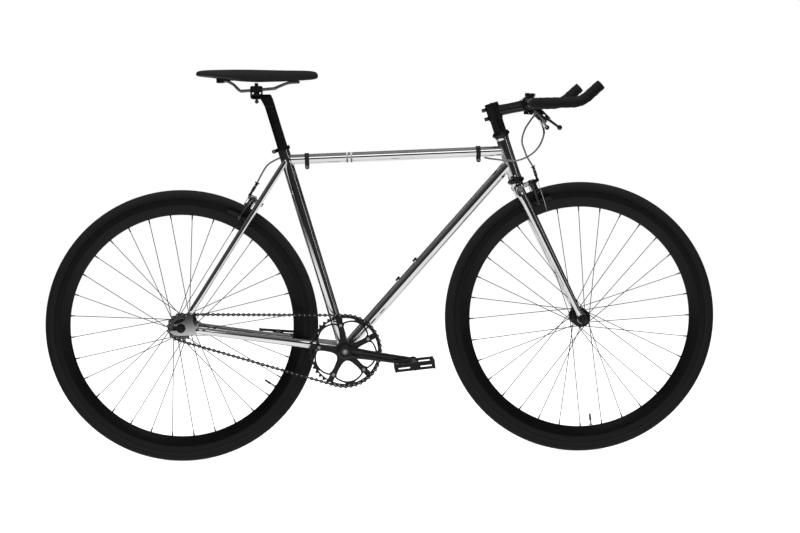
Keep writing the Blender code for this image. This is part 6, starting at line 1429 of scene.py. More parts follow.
    def add_spider(self, shape: Shape) -> None:
        """Adds five swelling arms from the boss to the bolt circle, and makes their bolts.

        Args:
            shape: Shape that it is added to.
        """
        s = self.sizes
        inner, face = s.line - s.plate / 2 - GAP - 0.0012, s.line + s.plate / 2 + GAP
        neck = [(0.0205, -0.0125), (0.0260, -0.0092), (0.034, -0.0074), (0.050, -0.0066),
                (0.0585, -0.0072)]
        tip = [(0.0655 + 0.0070 * math.cos(turn), 0.0072 * math.sin(turn))
               for turn in spaced(math.radians(-70.0), math.radians(70.0), 8)]
        corners = [*neck, *tip, *mirrored(neck)[len(neck):]]
        outline, bolts, head = [], Shape(), face + s.spider + 0.0009
        for arm in self.arm_turns:
            c, n = math.cos(arm), math.sin(arm)
            outline += [(x * c - y * n, x * n + y * c) for x, y in corners]
            at = Axis(wheel_point(PLACE.bracket, s.bolt_circle, arm), -LEFT, UP).at
            bolts.rods(at, (inner, head, s.bolt, 24, 0.0004), (head, head + 0.0002, 0.0024, 6, 0.0))
        shape.plate([outline], s.spider, PLACE.bracket - (face + s.spider / 2) * LEFT, -LEFT,
                    FORWARD, 0.0010)
        place(bolts, "chainring_bolts", ZINC, Body.CRANKS)

    def bracket(self) -> None:
        """Bottom bracket cups and the spindle between the cranks."""
        s, shape = self.sizes, Shape()
        for sign in (1, -1):
            shape.rods(Axis(PLACE.bracket, sign * LEFT, UP).at,
                       (0.0200, 0.0343, 0.0160, 40, 0.0), (0.0343, 0.0368, 0.0189, 40, 0.0005))
            for turn in turns(12):
                shape.block(wheel_point(PLACE.bracket, 0.0178, turn, sign * 0.0369),
                            (0.0022, 0.0006, 0.0024), corner=0.0001)
        place(shape, "bottom_bracket_cups", DULL_STEEL, Body.FRAME, "bottom_bracket_cartridge")
        spindle = Shape().rod(PLACE.bracket - s.spindle_half * LEFT,
                              PLACE.bracket + s.spindle_half * LEFT, s.spindle, 32)
        place(spindle, "crank_spindle_steel", DULL_STEEL, Body.CRANKS, "crank_spindle")

    def chain_points(self) -> list[Vector]:
        """Pins of the chain, evenly spaced round its closed path.

        Returns:
            The middle of each pin.
        """
        s = self.sizes
        route = [wheel_point(centre, radius, turn, -s.line) for centre, radius, turns_round in (
            (PLACE.bracket, self.ring_radius, spaced(self.above, self.below, 140)),
            (PLACE.rear_axle, self.sprocket_radius,
             spaced(self.below, self.above - math.tau, 70))) for turn in turns_round]
        route.append(route[0])
        lengths = [0.0]
        for a, b in zip(route, route[1:]):
            lengths.append(lengths[-1] + (b - a).length)
        total = 2 * round(lengths[-1] / s.pitch / 2)
        pins, index = [], 0
        for k in range(total):
            want = lengths[-1] * k / total
            while lengths[index + 1] < want:
                index += 1
            share = (want - lengths[index]) / (lengths[index + 1] - lengths[index])
            pins.append(route[index].lerp(route[index + 1], share))
        return pins

    def chain(self) -> None:
        """Inner and outer links with waisted plates, bushes and riveted pins."""
        pins, shape, rivets = self.chain_points(), Shape(), Shape()
        for k, (a, b) in enumerate(zip(pins, pins[1:] + pins[:1])):
            width, off = (0.0041, 0.0031) if k % 2 == 0 else (0.0040, 0.0021)
            along, half = (b - a).normalized(), (b - a).length / 2
            outline = arc((half, 0.0), width, math.radians(-100.0), math.radians(100.0), 6)
            outline += [(half * 0.28, width * 0.40), (-half * 0.28, width * 0.40)]
            outline += [(-x, -y) for x, y in outline]
            for sign in (1, -1):
                shape.prism(outline, 0.0009, (a + b) / 2 + sign * off * LEFT, LEFT, along, 0.0002)
            shape.rod(a - 0.0018 * LEFT, a + 0.0018 * LEFT, 0.0037, 10)
            rivets.rod(a - 0.0040 * LEFT, a + 0.0040 * LEFT, 0.0015, 10, 0.0003)
        place(shape, "chain_links", CHAIN_STEEL, Body.FRAME, "chain")
        place(rivets, "chain_rivets", ZINC, Body.FRAME)

    def freewheel(self) -> None:
        """Sprocket with its bevelled ring."""
        s, centre = self.sizes, PLACE.rear_axle - self.sizes.line * LEFT
        shape = Shape().plate([self.toothed(s.sprocket_teeth, self.sprocket_radius),
                               disc(s.sprocket_bore, 48)], s.plate, centre, -LEFT, FORWARD)
        shape.turned([(0.0258, 0.0055), (0.0262, 0.0050), (0.0262, -0.0048), (0.0254, -0.0055),
                      (0.0212, -0.0055), (0.0212, 0.0055)], centre, LEFT, 56)
        place(shape, "freewheel_steel", DULL_STEEL, Body.FREEWHEEL, "freewheel_sprocket")

    def pedal(self, side: Side) -> None:
        """Platform pedal: barrel, pierced end plates and cage plates with studs.

        Args:
            side: Side of the bicycle.
        """
        s, sign = self.sizes, side.value
        inner = s.eye_centre + s.arm_thickness / 2 + s.pedal_clearance
        outer, tilt = inner + s.pedal_width, -sign * s.pedal_tilt
        along = Vector((math.cos(tilt), 0.0, math.sin(tilt)))
        above = Vector((-math.sin(tilt), 0.0, math.cos(tilt)))
        eye = wheel_point(PLACE.bracket, -sign * s.length, s.angle)

        def at(x: float, out: float, z: float) -> Vector:
            """Point ahead of the pedal's axis, out from the bicycle's middle and above."""
            return eye + x * along + sign * out * LEFT + z * above

        shape, reach, half = Shape(), (s.pedal_length - 0.004) / 2, s.pedal_height / 2
        near, far = s.pedal_barrel + 0.002, s.pedal_length / 2 - 0.008
        outlines = [rounded(2 * reach, 2 * half - 0.002, 0.004, 4)]
        outlines += [[(x * (near + far) / 2 + px, py) for px, py in
                      rounded(far - near, 0.0075, 0.0025, 4)] for x in (-1, 1)]
        for out in (inner + 0.003, outer - 0.003):
            shape.plate(outlines, 0.006, at(0.0, out, 0.0), -LEFT, along, 0.0008)
        stud = mirrored(mirrored([(-0.0021, -0.0014)], -1, 1))
        for x in (-1, 1):
            shape.block(at(x * reach, (inner + outer) / 2, 0.0),
                        (0.004, s.pedal_width - 0.002, s.pedal_height), above, along, 0.0010)
            for out in spaced(inner + 0.009, outer - 0.009, 7):
                for z in (-1, 1):
                    shape.prism(stud, 0.0012, at(x * reach, out, z * (half + 0.0004)),
                                z * above, LEFT, 0.0004)
        shape.turned([(0.0058, 0.0), (s.pedal_barrel - 0.0006, 0.0), (s.pedal_barrel, 0.0006),
                      (s.pedal_barrel, 0.010), (0.0088, 0.014), (0.0086, 0.045), (0.0088, 0.076),
                      (s.pedal_barrel, 0.080), (s.pedal_barrel, 0.0905), (0.0095, 0.0915),
                      (0.0, 0.0918), (0.0, 0.0905), (0.0058, 0.0900)],
                     at(0.0, inner - 0.0005, 0.0), sign * LEFT, 36)
        place(shape, f"pedal_{side.label}_cage", PLASTIC, Body[f"PEDAL_{side.name}"],
              f"pedal_{side.label}")

    def make(self) -> None:
        """Makes every piece of the drive train."""
        self.chainring()
        for side in Side:
            self.crank(side)
            self.pedal(side)
        self.bracket()
        self.chain()
        self.freewheel()


# Fittings of the frame
@dataclass(frozen=True)
class FittingSizes:
    """Sizes of the headset cups, the seat clamp and the cable clips."""

    cup_bore: float = 0.0132
    cup_skirt: float = 0.0080
    lower_cup: float = 0.0216
    upper_cup: float = 0.0220
    clamp_drop: float = 0.0020
    clamp_slit: float = 0.0011
    ear_height: float = 0.0042
    clip_half: float = 0.0056


class Fittings:
    """Headset cups, seat clamp and cable clips."""

    def __init__(self, sizes: FittingSizes = FittingSizes()) -> None:
        """Keeps the sizes."""
        self.sizes = sizes

    def cup(self, name: str, face: Vector, outward: Vector, height: float,
            radius: float) -> None:
        """Headset cup with a stepped, rounded flange and a skirt inside the head tube.

        Args:
            name: Its frame node.
            face: Middle of the head tube's end.
            outward: Direction out of the head tube.
            height: Height of the flange.
            radius: Greatest radius of the flange.
        """
        bore, skirt = self.sizes.cup_bore, -self.sizes.cup_skirt
        profile = [(bore, height), (radius * 0.84, height), (radius * 0.88, height - 0.0006),
                   (radius * 0.90, height * 0.84), (radius * 0.985, height * 0.66),
                   (radius, height * 0.58), (radius, height * 0.46),
                   (radius * 0.985, height * 0.40), (0.0178, 0.0022), (0.0171, 0.0008),
                   (0.0170, GAP), (bore + 0.001, GAP), (bore + 0.001, skirt), (bore, skirt)]
        place(Shape().turned(profile, face, outward, 64), f"{name}_black", ANODISED, Body.FRAME,
              name)

    def seat_clamp(self) -> None:
        """Split collar with a lip, ears and a bolt."""
        s, seat, shape = self.sizes, PLACE.seat, Shape()
        bottom = PLACE.seat_tube - s.clamp_drop
        profile = [(0.0146, 0.0), (0.0172, 0.0), (0.0178, 0.0006), (0.0178, 0.0080),
                   (0.0170, 0.0092), (0.0130, 0.0098), (0.0130, 0.0068), (0.0146, 0.0068)]
        slit = math.asin(s.clamp_slit / 0.0160)
        shape.rings([[seat.at(bottom + height, *polar(radius, turn)) for radius, height in profile]
                     for turn in spaced(math.pi + slit, 3 * math.pi - slit, 61)])
        for sign in (1, -1):
            shape.prism(rounded(0.0126, 0.0092, 0.0035, 4), 0.0036,
                        seat.at(bottom + s.ear_height, -0.0222, sign * 0.0029), sign * LEFT,
                        seat.square)
        place(shape, "seat_clamp_black", ANODISED, Body.FRAME, "seat_clamp")
        at = Axis(seat.at(bottom + s.ear_height, -0.0235), LEFT, UP).at
        bolt = Shape().rods(at, (-0.0090, 0.0090, 0.0026, 16, 0.0),
                            (-0.0092, -0.0045, 0.0050, 24, 0.0005),
                            (0.0045, 0.0088, 0.0050, 24, 0.0005))
        place(bolt, "seat_clamp_bolt", ANODISED, Body.FRAME)
        end = Shape().rods(at, (-0.0097, 0.0092, 0.0024, 20, 0.0003))
        place(end, "seat_clamp_bolt_end", ZINC, Body.FRAME)

    def clip(self, name: str, along: float) -> None:
        """Band round the top tube with the housing's holder and its screw below.

        Args:
            name: Its frame node.
            along: Its place along the top tube.
        """
        half, top = self.sizes.clip_half, PLACE.top
        shape = Shape().turned(sleeve(0.0129, 0.0149, -half, half, (0.0005, 0.0005)),
                               top.at(along), top.along, 56)
        shape.turned(sleeve(0.0026, 0.0048, -half, half, (0.0004, 0.0005)),
                     top.at(along, *PLACE.cable_off), top.along, 28)
        ear = [(px, py - 0.0015) for px, py in rounded(0.0110, 0.0136, 0.0052, 6)]
        for sign in (1, -1):
            shape.prism(ear, 0.0030, top.at(along, -0.0176, sign * 0.0022), sign * LEFT,
                        top.along, 0.0006)
        place(shape, f"{name}_black", PLASTIC, Body.FRAME, name)
        screw = Shape().rods(partial(top.at, along, -0.0196),
                             (-0.0058, 0.0058, 0.0034, 24, 0.0005))
        place(screw, f"{name}_screw", ZINC, Body.FRAME)

    def make(self) -> None:
        """Makes the fittings."""
        steer = PLACE.steer
        self.cup("headset_lower_cup", steer.at(PLACE.head_bottom), -steer.along,
                 PLACE.lower_stack - GAP, self.sizes.lower_cup)
        self.cup("headset_upper_cup", steer.at(PLACE.head_top), steer.along, PLACE.upper_stack,
                 self.sizes.upper_cup)
        self.seat_clamp()
        self.clip("cable_clip_rear", PLACE.clip_rear)
        self.clip("cable_clip_front", PLACE.clip_front)


# Steering
@dataclass(frozen=True)
class ForkSizes:
    """Sizes of the fork, spacers, stem, handlebar and tape."""

    crown: float = 0.0122
    crown_spread: float = 0.0340
    crown_height: float = 0.3572
    crown_race: float = 0.0159
    blade_top: float = 0.3350
    tip: float = 0.0072
    tip_height: float = 0.0120
    tip_spread: float = 0.0525
    rake_base: float = 0.3450
    steerer: float = 0.0127
    steerer_top: float = 0.5715
    dropout: float = 0.0050
    dropout_radius: float = 0.0125
    axle_slot: float = 0.0048
    spacers: int = 3
    spacer: float = 0.0160
    spacer_joint: float = 0.00015
    bore: float = 0.0130
    stem_bottom: float = 0.5350
    stem_height: float = 0.0380
    stem_radius: float = 0.0178
    stem_arm: float = 0.0142
    stem_arm_height: float = 0.5552
    bulge: float = 0.0127
    bulge_half: float = 0.0285
    bulge_taper: float = 0.0095
    clamp: float = 0.0198
    clamp_half: float = 0.0220
    clamp_cut: float = 0.0009
    clamp_bolt_out: float = 0.0132
    face_angle: float = math.radians(22.0)
    bar: float = 0.0111
    bar_half: float = 0.2000
    corner: float = 0.0500
    level: float = 0.0830
    rise_radius: float = 0.0600
    rise: float = math.radians(41.0)
    reach: float = 0.1520
    tape: float = 0.0137
    tape_start: float = 0.1050
    tape_pitch: float = 0.0185
    tape_step: float = 0.0008


class Steering:
    """Fork, spacers, stem, handlebar and tape."""

    def __init__(self, sizes: ForkSizes = ForkSizes()) -> None:
        """Keeps the sizes and the axis of the bar clamp, out of its tilted front face.

        Args:
            sizes: The sizes.
        """
        self.sizes, steer = sizes, PLACE.steer
        c, s = math.cos(sizes.face_angle), math.sin(sizes.face_angle)
        self.face = Axis(PLACE.bar_centre, c * steer.square - s * steer.along,
                         s * steer.square + c * steer.along)

    def blade(self, along: float, side: float) -> Vector:
        """Point on the fork's centre line."""
        ahead = PLACE.fork_rake * max(0.0, 1.0 - along / self.sizes.rake_base)
        return PLACE.steer.at(along, ahead, side)

    def fork(self) -> None:
        """Swept unicrown blades, steerer and dropouts."""
        s, steer, end = self.sizes, PLACE.steer, PLACE.fork_length
        half = [(s.tip_height - 0.0068, s.tip_spread, s.tip * 0.30),
                (s.tip_height - 0.0052, s.tip_spread, s.tip * 0.68),
                (s.tip_height - 0.0024, s.tip_spread, s.tip * 0.92)]
        half += [(mix(s.tip_height, s.blade_top, k / 24), mix(s.tip_spread, s.crown_spread, k / 24),
                  mix(s.tip, s.crown, k / 23)) for k in range(24)]
        crown = [(s.blade_top + (s.crown_height - s.blade_top) * math.sin(turn),
                  s.crown_spread * math.cos(turn), s.crown) for turn in spaced(0.0, math.pi, 25)]
        route = [*half, *crown, *((h, -y, r) for h, y, r in reversed(half))]
        shape = Shape().tube([self.blade(h, y) for h, y, _ in route], [r for _, _, r in route], 40,
                             steer.square)
        shape.rods(steer.at, (s.crown_height, end, s.crown_race, 48, 0.0005))
        for sign in (1, -1):
            shape.plate([self.dropout()], s.dropout, PLACE.front_axle + sign * s.tip_spread * LEFT,
                        -LEFT, steer.square, 0.0006)
        place(shape, "fork_chrome", CHROME, Body.STEERING, "fork")
        steerer = Shape().rods(steer.at, (end - 0.001, s.steerer_top, s.steerer - 0.0001, 40, 0.0))
        place(steerer, "steerer_tube", DULL_STEEL, Body.STEERING)

    def dropout(self) -> list[Pair]:
        """Edge of a fork end about the axle, its slot open downward.

        Returns:
            Points of the outline.
        """
        radius, slot, middle = self.sizes.dropout_radius, self.sizes.axle_slot, (0.0, 0.0)
        lip, shoulder = math.asin(slot / radius), math.radians(15.0)
        return [*arc(middle, radius, lip - math.pi / 2, shoulder, 12),
                (0.0105, 0.0095), (0.0082, 0.0160), (0.0060, 0.0225), (0.0040, 0.0280),
                (-0.0080, 0.0280), (-0.0088, 0.0220), (-0.0102, 0.0140), (-0.0116, 0.0085),
                *arc(middle, radius, math.pi - shoulder, 1.5 * math.pi - lip, 12),
                *arc(middle, slot, math.pi, 0.0, 16)]

    def spacers(self) -> None:
        """Three spacers with fine joints, and the top cap with its bolt."""
        s, up, shape = self.sizes, PLACE.steer.along, Shape()
        bottom = PLACE.head_top + PLACE.upper_stack + GAP
        height = (s.stem_bottom - GAP - bottom) / s.spacers
        for k in range(s.spacers):
            shape.turned(sleeve(s.bore, s.spacer, k * height + s.spacer_joint,
                                (k + 1) * height - s.spacer_joint, (0.0004, 0.0004)),
                         PLACE.steer.at(bottom), up, 56)
        place(shape, "spacers_black", ANODISED, Body.STEERING, "spacer_stack")
        base = PLACE.steer.at(s.stem_bottom + s.stem_height + GAP)
        cap = Shape().turned([(0.0, 0.0048), (0.0052, 0.0048), (0.0062, 0.0050), (0.0160, 0.0050),
                              (0.0169, 0.0044), (0.0172, 0.0036), (0.0172, 0.0), (0.0100, 0.0),
                              (0.0100, -0.0120), (0.0, -0.0120)], base, up, 56)
        place(cap, "top_cap_black", ANODISED, Body.STEERING, "top_cap")
        bolt = Shape().turned([(0.0022, 0.0060), (0.0034, 0.0060), (0.0040, 0.0055),
                               (0.0040, 0.0040), (0.0, 0.0040), (0.0, 0.0049), (0.0022, 0.0049)],
                              base, up, 30)
        place(bolt, "top_cap_bolt", BRIGHT, Body.STEERING)

    def stem(self) -> None:
        """Steerer clamp with two cross bolts, arm and split bar clamp with four bolts."""
        s, steer, bolts, plate = self.sizes, PLACE.steer, Shape(), Shape()
        shape = Shape().turned(sleeve(s.bore, s.stem_radius, 0.0, s.stem_height, (0.0008, 0.0008)),
                               steer.at(s.stem_bottom), steer.along, 64)
        start = steer.at(s.stem_arm_height, 0.0120)
        end, rows = PLACE.bar_centre - 0.0150 * steer.square, []
        for share in spaced(0.0, 1.0, 13):
            size = s.stem_arm * (1.0 - 0.055 * math.sin(math.pi * share))
            rows.append(ring(start.lerp(end, share), size * steer.along, size * LEFT, 48))
        shape.rings(rows)
        for height, head in ((s.stem_bottom + 0.0088, 1),
                             (s.stem_bottom + s.stem_height - 0.0064, -1)):
            for sign in (1, -1):
                shape.block(steer.at(height, -0.0200, sign * 0.0050), (0.0150, 0.0078, 0.0090),
                            steer.along, steer.square, 0.0020)
                outer = 0.0096 if sign == head else 0.0092
                bolts.rods(partial(steer.at, height, -0.0240),
                           (sign * 0.0070, sign * outer, 0.0030, 20, 0.0004))
        self.add_clamp_half(shape, -1)
        place(shape, "stem_black", ANODISED, Body.STEERING, "stem")
        self.add_clamp_half(plate, 1)
        place(plate, "stem_faceplate_black", ANODISED, Body.STEERING, "stem_faceplate")
        head = [(0.0019, 0.0040), (0.0036, 0.0040), (0.0040, 0.0035), (0.0040, 0.0),
                (0.0, 0.0), (0.0, 0.0020), (0.0019, 0.0020)]
        for up in (-0.0225, 0.0225):
            for out in (s.clamp_bolt_out, -s.clamp_bolt_out):
                bolts.rod(self.face.at(-0.0095, up, out), self.face.at(0.0090, up, out), 0.0024, 12)
                bolts.turned(head, self.face.at(0.0093, up, out), self.face.along, 24)
        place(bolts, "stem_bolts", BRIGHT, Body.STEERING)

    def add_clamp_half(self, shape: Shape, sign: int) -> None:
        """Adds one half of the bar clamp with its four ears.

        Args:
            shape: Shape that it is added to.
            sign: 1 for the front half, -1 for the rear one.
        """
        s, face, edge, rows = self.sizes, self.face, 0.0008, []
        inner, outer, half = s.bulge + GAP, s.clamp, s.clamp_half
        start, stop = math.acos(s.clamp_cut / outer), math.acos(s.clamp_cut / inner)
        for side, cut in ((-half, edge), (edge - half, 0.0), (half - edge, 0.0), (half, edge)):
            outline = (arc((0.0, 0.0), outer - cut, -start, start, 25)
                       + arc((0.0, 0.0), inner, stop, -stop, 25))
            rows.append([face.at(sign * x, z, side) for x, z in outline])
        shape.rings(rows)
        for up in (-0.0218, 0.0218):
            for out in (s.clamp_bolt_out, -s.clamp_bolt_out):
                shape.block(face.at(sign * 0.0052, up, out), (0.0086, 0.0150, 0.0094),
                            face.square, face.along, 0.0018)

    def bar_points(self, side: int, start: float, overrun: float = 0.0) -> list[Vector]:
        """Axis of one half of the bar.

        Args:
            side: 1 for the left half, -1 for the right one.
            start: Distance beside the stem's middle where it starts.
            overrun: How far it reaches past the bar's tip.
        Returns:
            Points from the start to the tip.
        """
        s, corner, spacing = self.sizes, self.sizes.bar_half - self.sizes.corner, 0.004

        def at(ahead: float, out: float, above: float = 0.0) -> Vector:
            """Point ahead of the bar's middle, out to the side and above."""
            return PLACE.bar_centre + ahead * FORWARD + side * out * LEFT + above * UP

        count = max(2, round((corner - start) / spacing))
        points = [at(0.0, out) for out in spaced(start, corner, count + 1)[:-1]]
        points += [at(s.corner * (1 - math.cos(turn)), corner + s.corner * math.sin(turn))
                   for turn in spaced(0.0, math.pi / 2, 21)[:-1]]
        points += [at(ahead, s.bar_half) for ahead in spaced(s.corner, s.level, 10)[:-1]]
        points += [at(s.level + s.rise_radius * math.sin(turn), s.bar_half,
                      s.rise_radius * (1 - math.cos(turn))) for turn in spaced(0.0, s.rise, 13)]
        along = Vector((math.cos(s.rise), 0.0, math.sin(s.rise)))
        length = (s.reach - s.level - s.rise_radius * along.z) / along.x + overrun
        foot, count = points[-1], max(2, round(length / spacing))
        return points + [foot + length * k / count * along for k in range(1, count + 1)]

    def handlebar(self) -> None:
        """Bare knurled bar with its thicker clamp section."""
        s = self.sizes
        route = self.bar_points(1, 0.0)[::-1] + self.bar_points(-1, 0.0)[1:]
        radii = []
        for point in route:
            share = 1.0 - (abs(point.y) - s.bulge_half) / s.bulge_taper
            straight = point.x < PLACE.bar_centre.x + 0.001
            radii.append(mix(s.bar, s.bulge, min(1.0, max(0.0, share))) if straight else s.bar)
        place(Shape().tube(route, radii, 40, UP), "handlebar_steel", KNURL, Body.STEERING,
              "handlebar")

    def bar_tape(self, side: Side) -> None:
        """Overlapping wound tape with a finishing band and an end plug.

        Args:
            side: Side of the bicycle.
        """
        s, route = self.sizes, self.bar_points(side.value, self.sizes.tape_start, 0.0006)
        fine = refined(route, 0.0011)

        def wound(travelled: float, turn: float) -> float:
            """Radius of the winding, which steps down along each turn and at its start.

            Args:
                travelled: Distance from the start of the tape.
                turn: Angle round the bar.
            Returns:
                The radius.
            """
            share = (travelled / s.tape_pitch - side.value * turn / math.tau) % 1.0
            step = (1.0 - share) ** 1.4 if share > 0.05 else share / 0.05
            return s.tape - 0.0011 + s.tape_step * step - 0.00035 * max(0.0, 1.0 - travelled / 0.004)

        place(Shape().tube(fine, wound, 56, UP), f"tape_{side.label}_wound", TAPE,
              Body.STEERING, f"bar_tape_{side.label}", sharp=math.radians(75.0))
        place(Shape().tube(fine[:16], 0.0135, 40, UP), f"tape_{side.label}_band", GLOSS_BLACK,
              Body.STEERING)
        at = Axis(route[-1], (route[-1] - route[-2]).normalized(), UP).at
        plug = Shape().rod(at(-0.002), at(0.0026), 0.0130, 40, 0.0007, 0.0122)
        plug.rods(at, (0.0022, 0.0030, 0.0070, 28, 0.0))
        place(plug, f"bar_plug_{side.label}", PLASTIC, Body.STEERING)

    def make(self) -> None:
        """Makes every piece."""
        self.fork()
        self.spacers()
        self.stem()
        self.handlebar()
        for side in Side:
            self.bar_tape(side)


# Brakes
@dataclass(frozen=True)
class BrakeSizes:
    """Sizes shared by both side-pull callipers."""

    arm: float = 0.0070
    half_spread: float = 0.0330
    cable_side: float = 0.0340
    cable_ahead: float = 0.0185
    anchor_below: float = 0.0215
    pad_length: float = 0.0500
    pad_height: float = 0.0100
    pad_gap: float = 0.0022
    pad_thickness: float = 0.0120
    rim_half: float = 0.0120
    brake_radius: float = 0.3085
    adjuster_base: float = 0.0078
    adjuster_top: float = 0.0305


class Calliper:
    """A side-pull brake: two pierced arms, spring, pads, adjuster, cable anchor and bolt."""

    def __init__(self, end: str, wheel: Vector, up: Vector, ahead: Vector, side: Vector,
                 pivot_height: float, foot: Vector, plane: float, pad_centre: float,
                 sizes: BrakeSizes = BrakeSizes()) -> None:
        """Keeps the brake's place.

        Args:
            end: Which end of the bicycle it is on, front or rear.
            wheel: Centre of the wheel.
            up: Direction from the foot to the pivot.
            ahead: Direction of the pivot bolt, out to the arms.
            side: Direction from the pivot to the crossing arm's pad.
            pivot_height: Height of the pivot above the foot.
            foot: Point from which the pivot's height is measured.
            plane: How far ahead of the pivot's height line the arms begin.
            pad_centre: How far ahead of the wheel's centre the middle of a pad lies.
            sizes: Sizes shared by both brakes.
        """
        self.end, self.wheel, self.up, self.ahead, self.side = end, wheel, up, ahead, side
        self.pivot_height, self.pivot = pivot_height, foot + pivot_height * up
        self.plane, self.sizes = plane, sizes
        self.lean = math.asin(pad_centre / sizes.brake_radius)
        self.drop = (self.pivot - wheel).dot(up) - sizes.brake_radius * math.cos(self.lean)

    def point(self, across: float, above: float, forward: float) -> Vector:
        """Point from the pivot: across, above and ahead."""
        return self.pivot + across * self.side + above * self.up + forward * self.ahead

    def cable_at(self, above: float) -> Vector:
        """Point on the line of the brake's cable, above the pivot."""
        return self.point(-self.sizes.cable_side, above, self.plane + self.sizes.cable_ahead)

    def bolt(self, name: str, back_face: float, front_face: float, body: Body) -> None:
        """Mounting bolt with its nut behind, spacer, and dome nut before the arms.

        Args:
            name: Name of the piece.
            back_face: How far ahead of the pivot the nut behind is seated.
            front_face: How far ahead of the pivot the spacer is seated.
            body: What the brake is bolted to.
        """
        front, at = self.plane + 2 * self.sizes.arm + 3 * GAP, partial(self.point, 0.0, 0.0)
        shape = Shape().rods(at, (back_face - 0.004, front, 0.0028, 20, 0.0),
                             (back_face - 0.0046, back_face + 0.0008, 0.0052, 24, 0.0005),
                             (front_face - 0.0020, self.plane - GAP, 0.0060, 32, 0.0004),
                             (front, front + 0.0012, 0.0055, 28, 0.0002),
                             (front + 0.0010, front + 0.0036, 0.0052, 6, 0.0004))
        shape.turned([(0.0, 0.0049), (0.0018, 0.0047), (0.0032, 0.0040), (0.0040, 0.0028),
                      (0.0040, 0.0), (0.0, 0.0)], at(front), self.ahead, 24)
        place(shape, name, BRIGHT, body)

    def arm_outline(self, crossing: bool) -> list[Pair]:
        """Smooth edge of an arm.

        Args:
            crossing: True for the arm that reaches past the pivot to the cable.
        Returns:
            Points of the edge.
        """
        s, hand = self.sizes, (1 if crossing else -1)
        outer, inner, foot = s.half_spread, s.half_spread - 0.0085, -self.drop
        leg = [(inner, foot - 0.0060), (inner, foot + 0.0080), (inner - 0.0040, -0.0300),
               (inner - 0.0065, -0.0140), (0.0060, -0.0072)]
        back = [(outer + 0.0070, 0.0010), (outer + 0.0045, -0.0140), (outer + 0.0020, -0.0320),
                (outer, foot - 0.0060)]
        if crossing:
            low, cable = -s.anchor_below, -s.cable_side
            middle = [(-0.0080, -0.0072), (-0.0205, -0.0180), (cable + 0.0050, low - 0.0050),
                      (cable - 0.0055, low - 0.0050), (cable - 0.0055, low + 0.0050),
                      (-0.0280, -0.0095), (-0.0160, 0.0025), (-0.0070, 0.0072),
                      (0.0060, 0.0085), (0.0220, 0.0070)]
        else:
            middle = [(-0.0070, -0.0072), (-0.0092, 0.0), (-0.0070, 0.0072), (0.0060, 0.0085),
                      (0.0260, 0.0100), (outer + 0.0055, 0.0090)]
        return corner_cut([(hand * x, y) for x, y in [*leg, *middle, *back]], 3)

    def arm(self, crossing: bool) -> None:
        """One arm with its pad, holder, pad bolt and its end of the cable.

        Args:
            crossing: True for the arm that reaches past the pivot to the cable.
        """
        s, hand, label = self.sizes, (1 if crossing else -1), self.side_label(crossing)
        middle, outer, ahead = self.middle(crossing), s.half_spread, self.plane + s.cable_ahead
        body = f"{self.end}_brake_arm_{label}"
        slot = [(hand * (outer - 0.0042) + x, 0.0030 - self.drop + z)
                for x, z in rounded(0.0046, 0.0120, 0.0021, 4)]
        shape = Shape().plate([self.arm_outline(crossing), disc(0.0033, 24), slot], s.arm,
                              self.point(0.0, 0.0, middle), self.ahead, self.side, 0.0011)
        at = Axis(self.point(0.0, -self.drop, middle), hand * self.side, self.up).at
        metal = Shape().rods(at, (outer - 0.0082, outer + 0.0028, 0.0028, 20, 0.0003),
                             (outer - 0.0006, outer + 0.0010, 0.0034, 24, 0.0))
        if crossing:
            at = partial(self.point, -s.cable_side, -s.anchor_below)
            shape.rods(at, (middle, ahead - 0.0022, 0.0044, 28, 0.0003))
            metal.rods(at, (ahead - 0.0026, ahead - 0.0012, 0.0040, 6, 0.0))
        else:
            depth = ahead + 0.0036 - middle
            shape.block(self.point(-s.cable_side, 0.0040, middle + depth / 2),
                        (0.0074, depth, 0.0074), self.up, self.side)
            self.add_adjuster(shape)
        place(shape, f"{self.end}_arm_{label}_black", GLOSS_BLACK, body, body)
        place(metal, f"{self.end}_arm_{label}_bolts", BRIGHT, body)
        self.pad(crossing, body, label)

    def add_adjuster(self, shape: Shape) -> None:
        """Adds the threaded, hollow cable adjuster with its lock ring and ribbed barrel.

        Args:
            shape: Shape that it is added to.
        """
        thread, rib, low, top = 0.0008, 0.0012, self.sizes.adjuster_base, self.sizes.adjuster_top
        profile = [(0.0021, low)]
        for _ in range(10):
            profile += [(0.0029, low), (0.0032, low + thread / 2)]
            low += thread
        profile += [(0.0039, low), (0.0039, low + 0.0016), (0.0034, low + 0.0020)]
        low += 0.0024
        for _ in range(10):
            profile += [(0.0039, low), (0.0037, low + rib / 2)]
            low += rib
        profile += [(0.0036, top - 0.0003), (0.0021, top - 0.0002)]
        shape.turned(profile, self.cable_at(0.0), self.up, 28)
        shape.rods(self.cable_at, (0.0013, 0.0002, 0.0030, 20, 0.0))

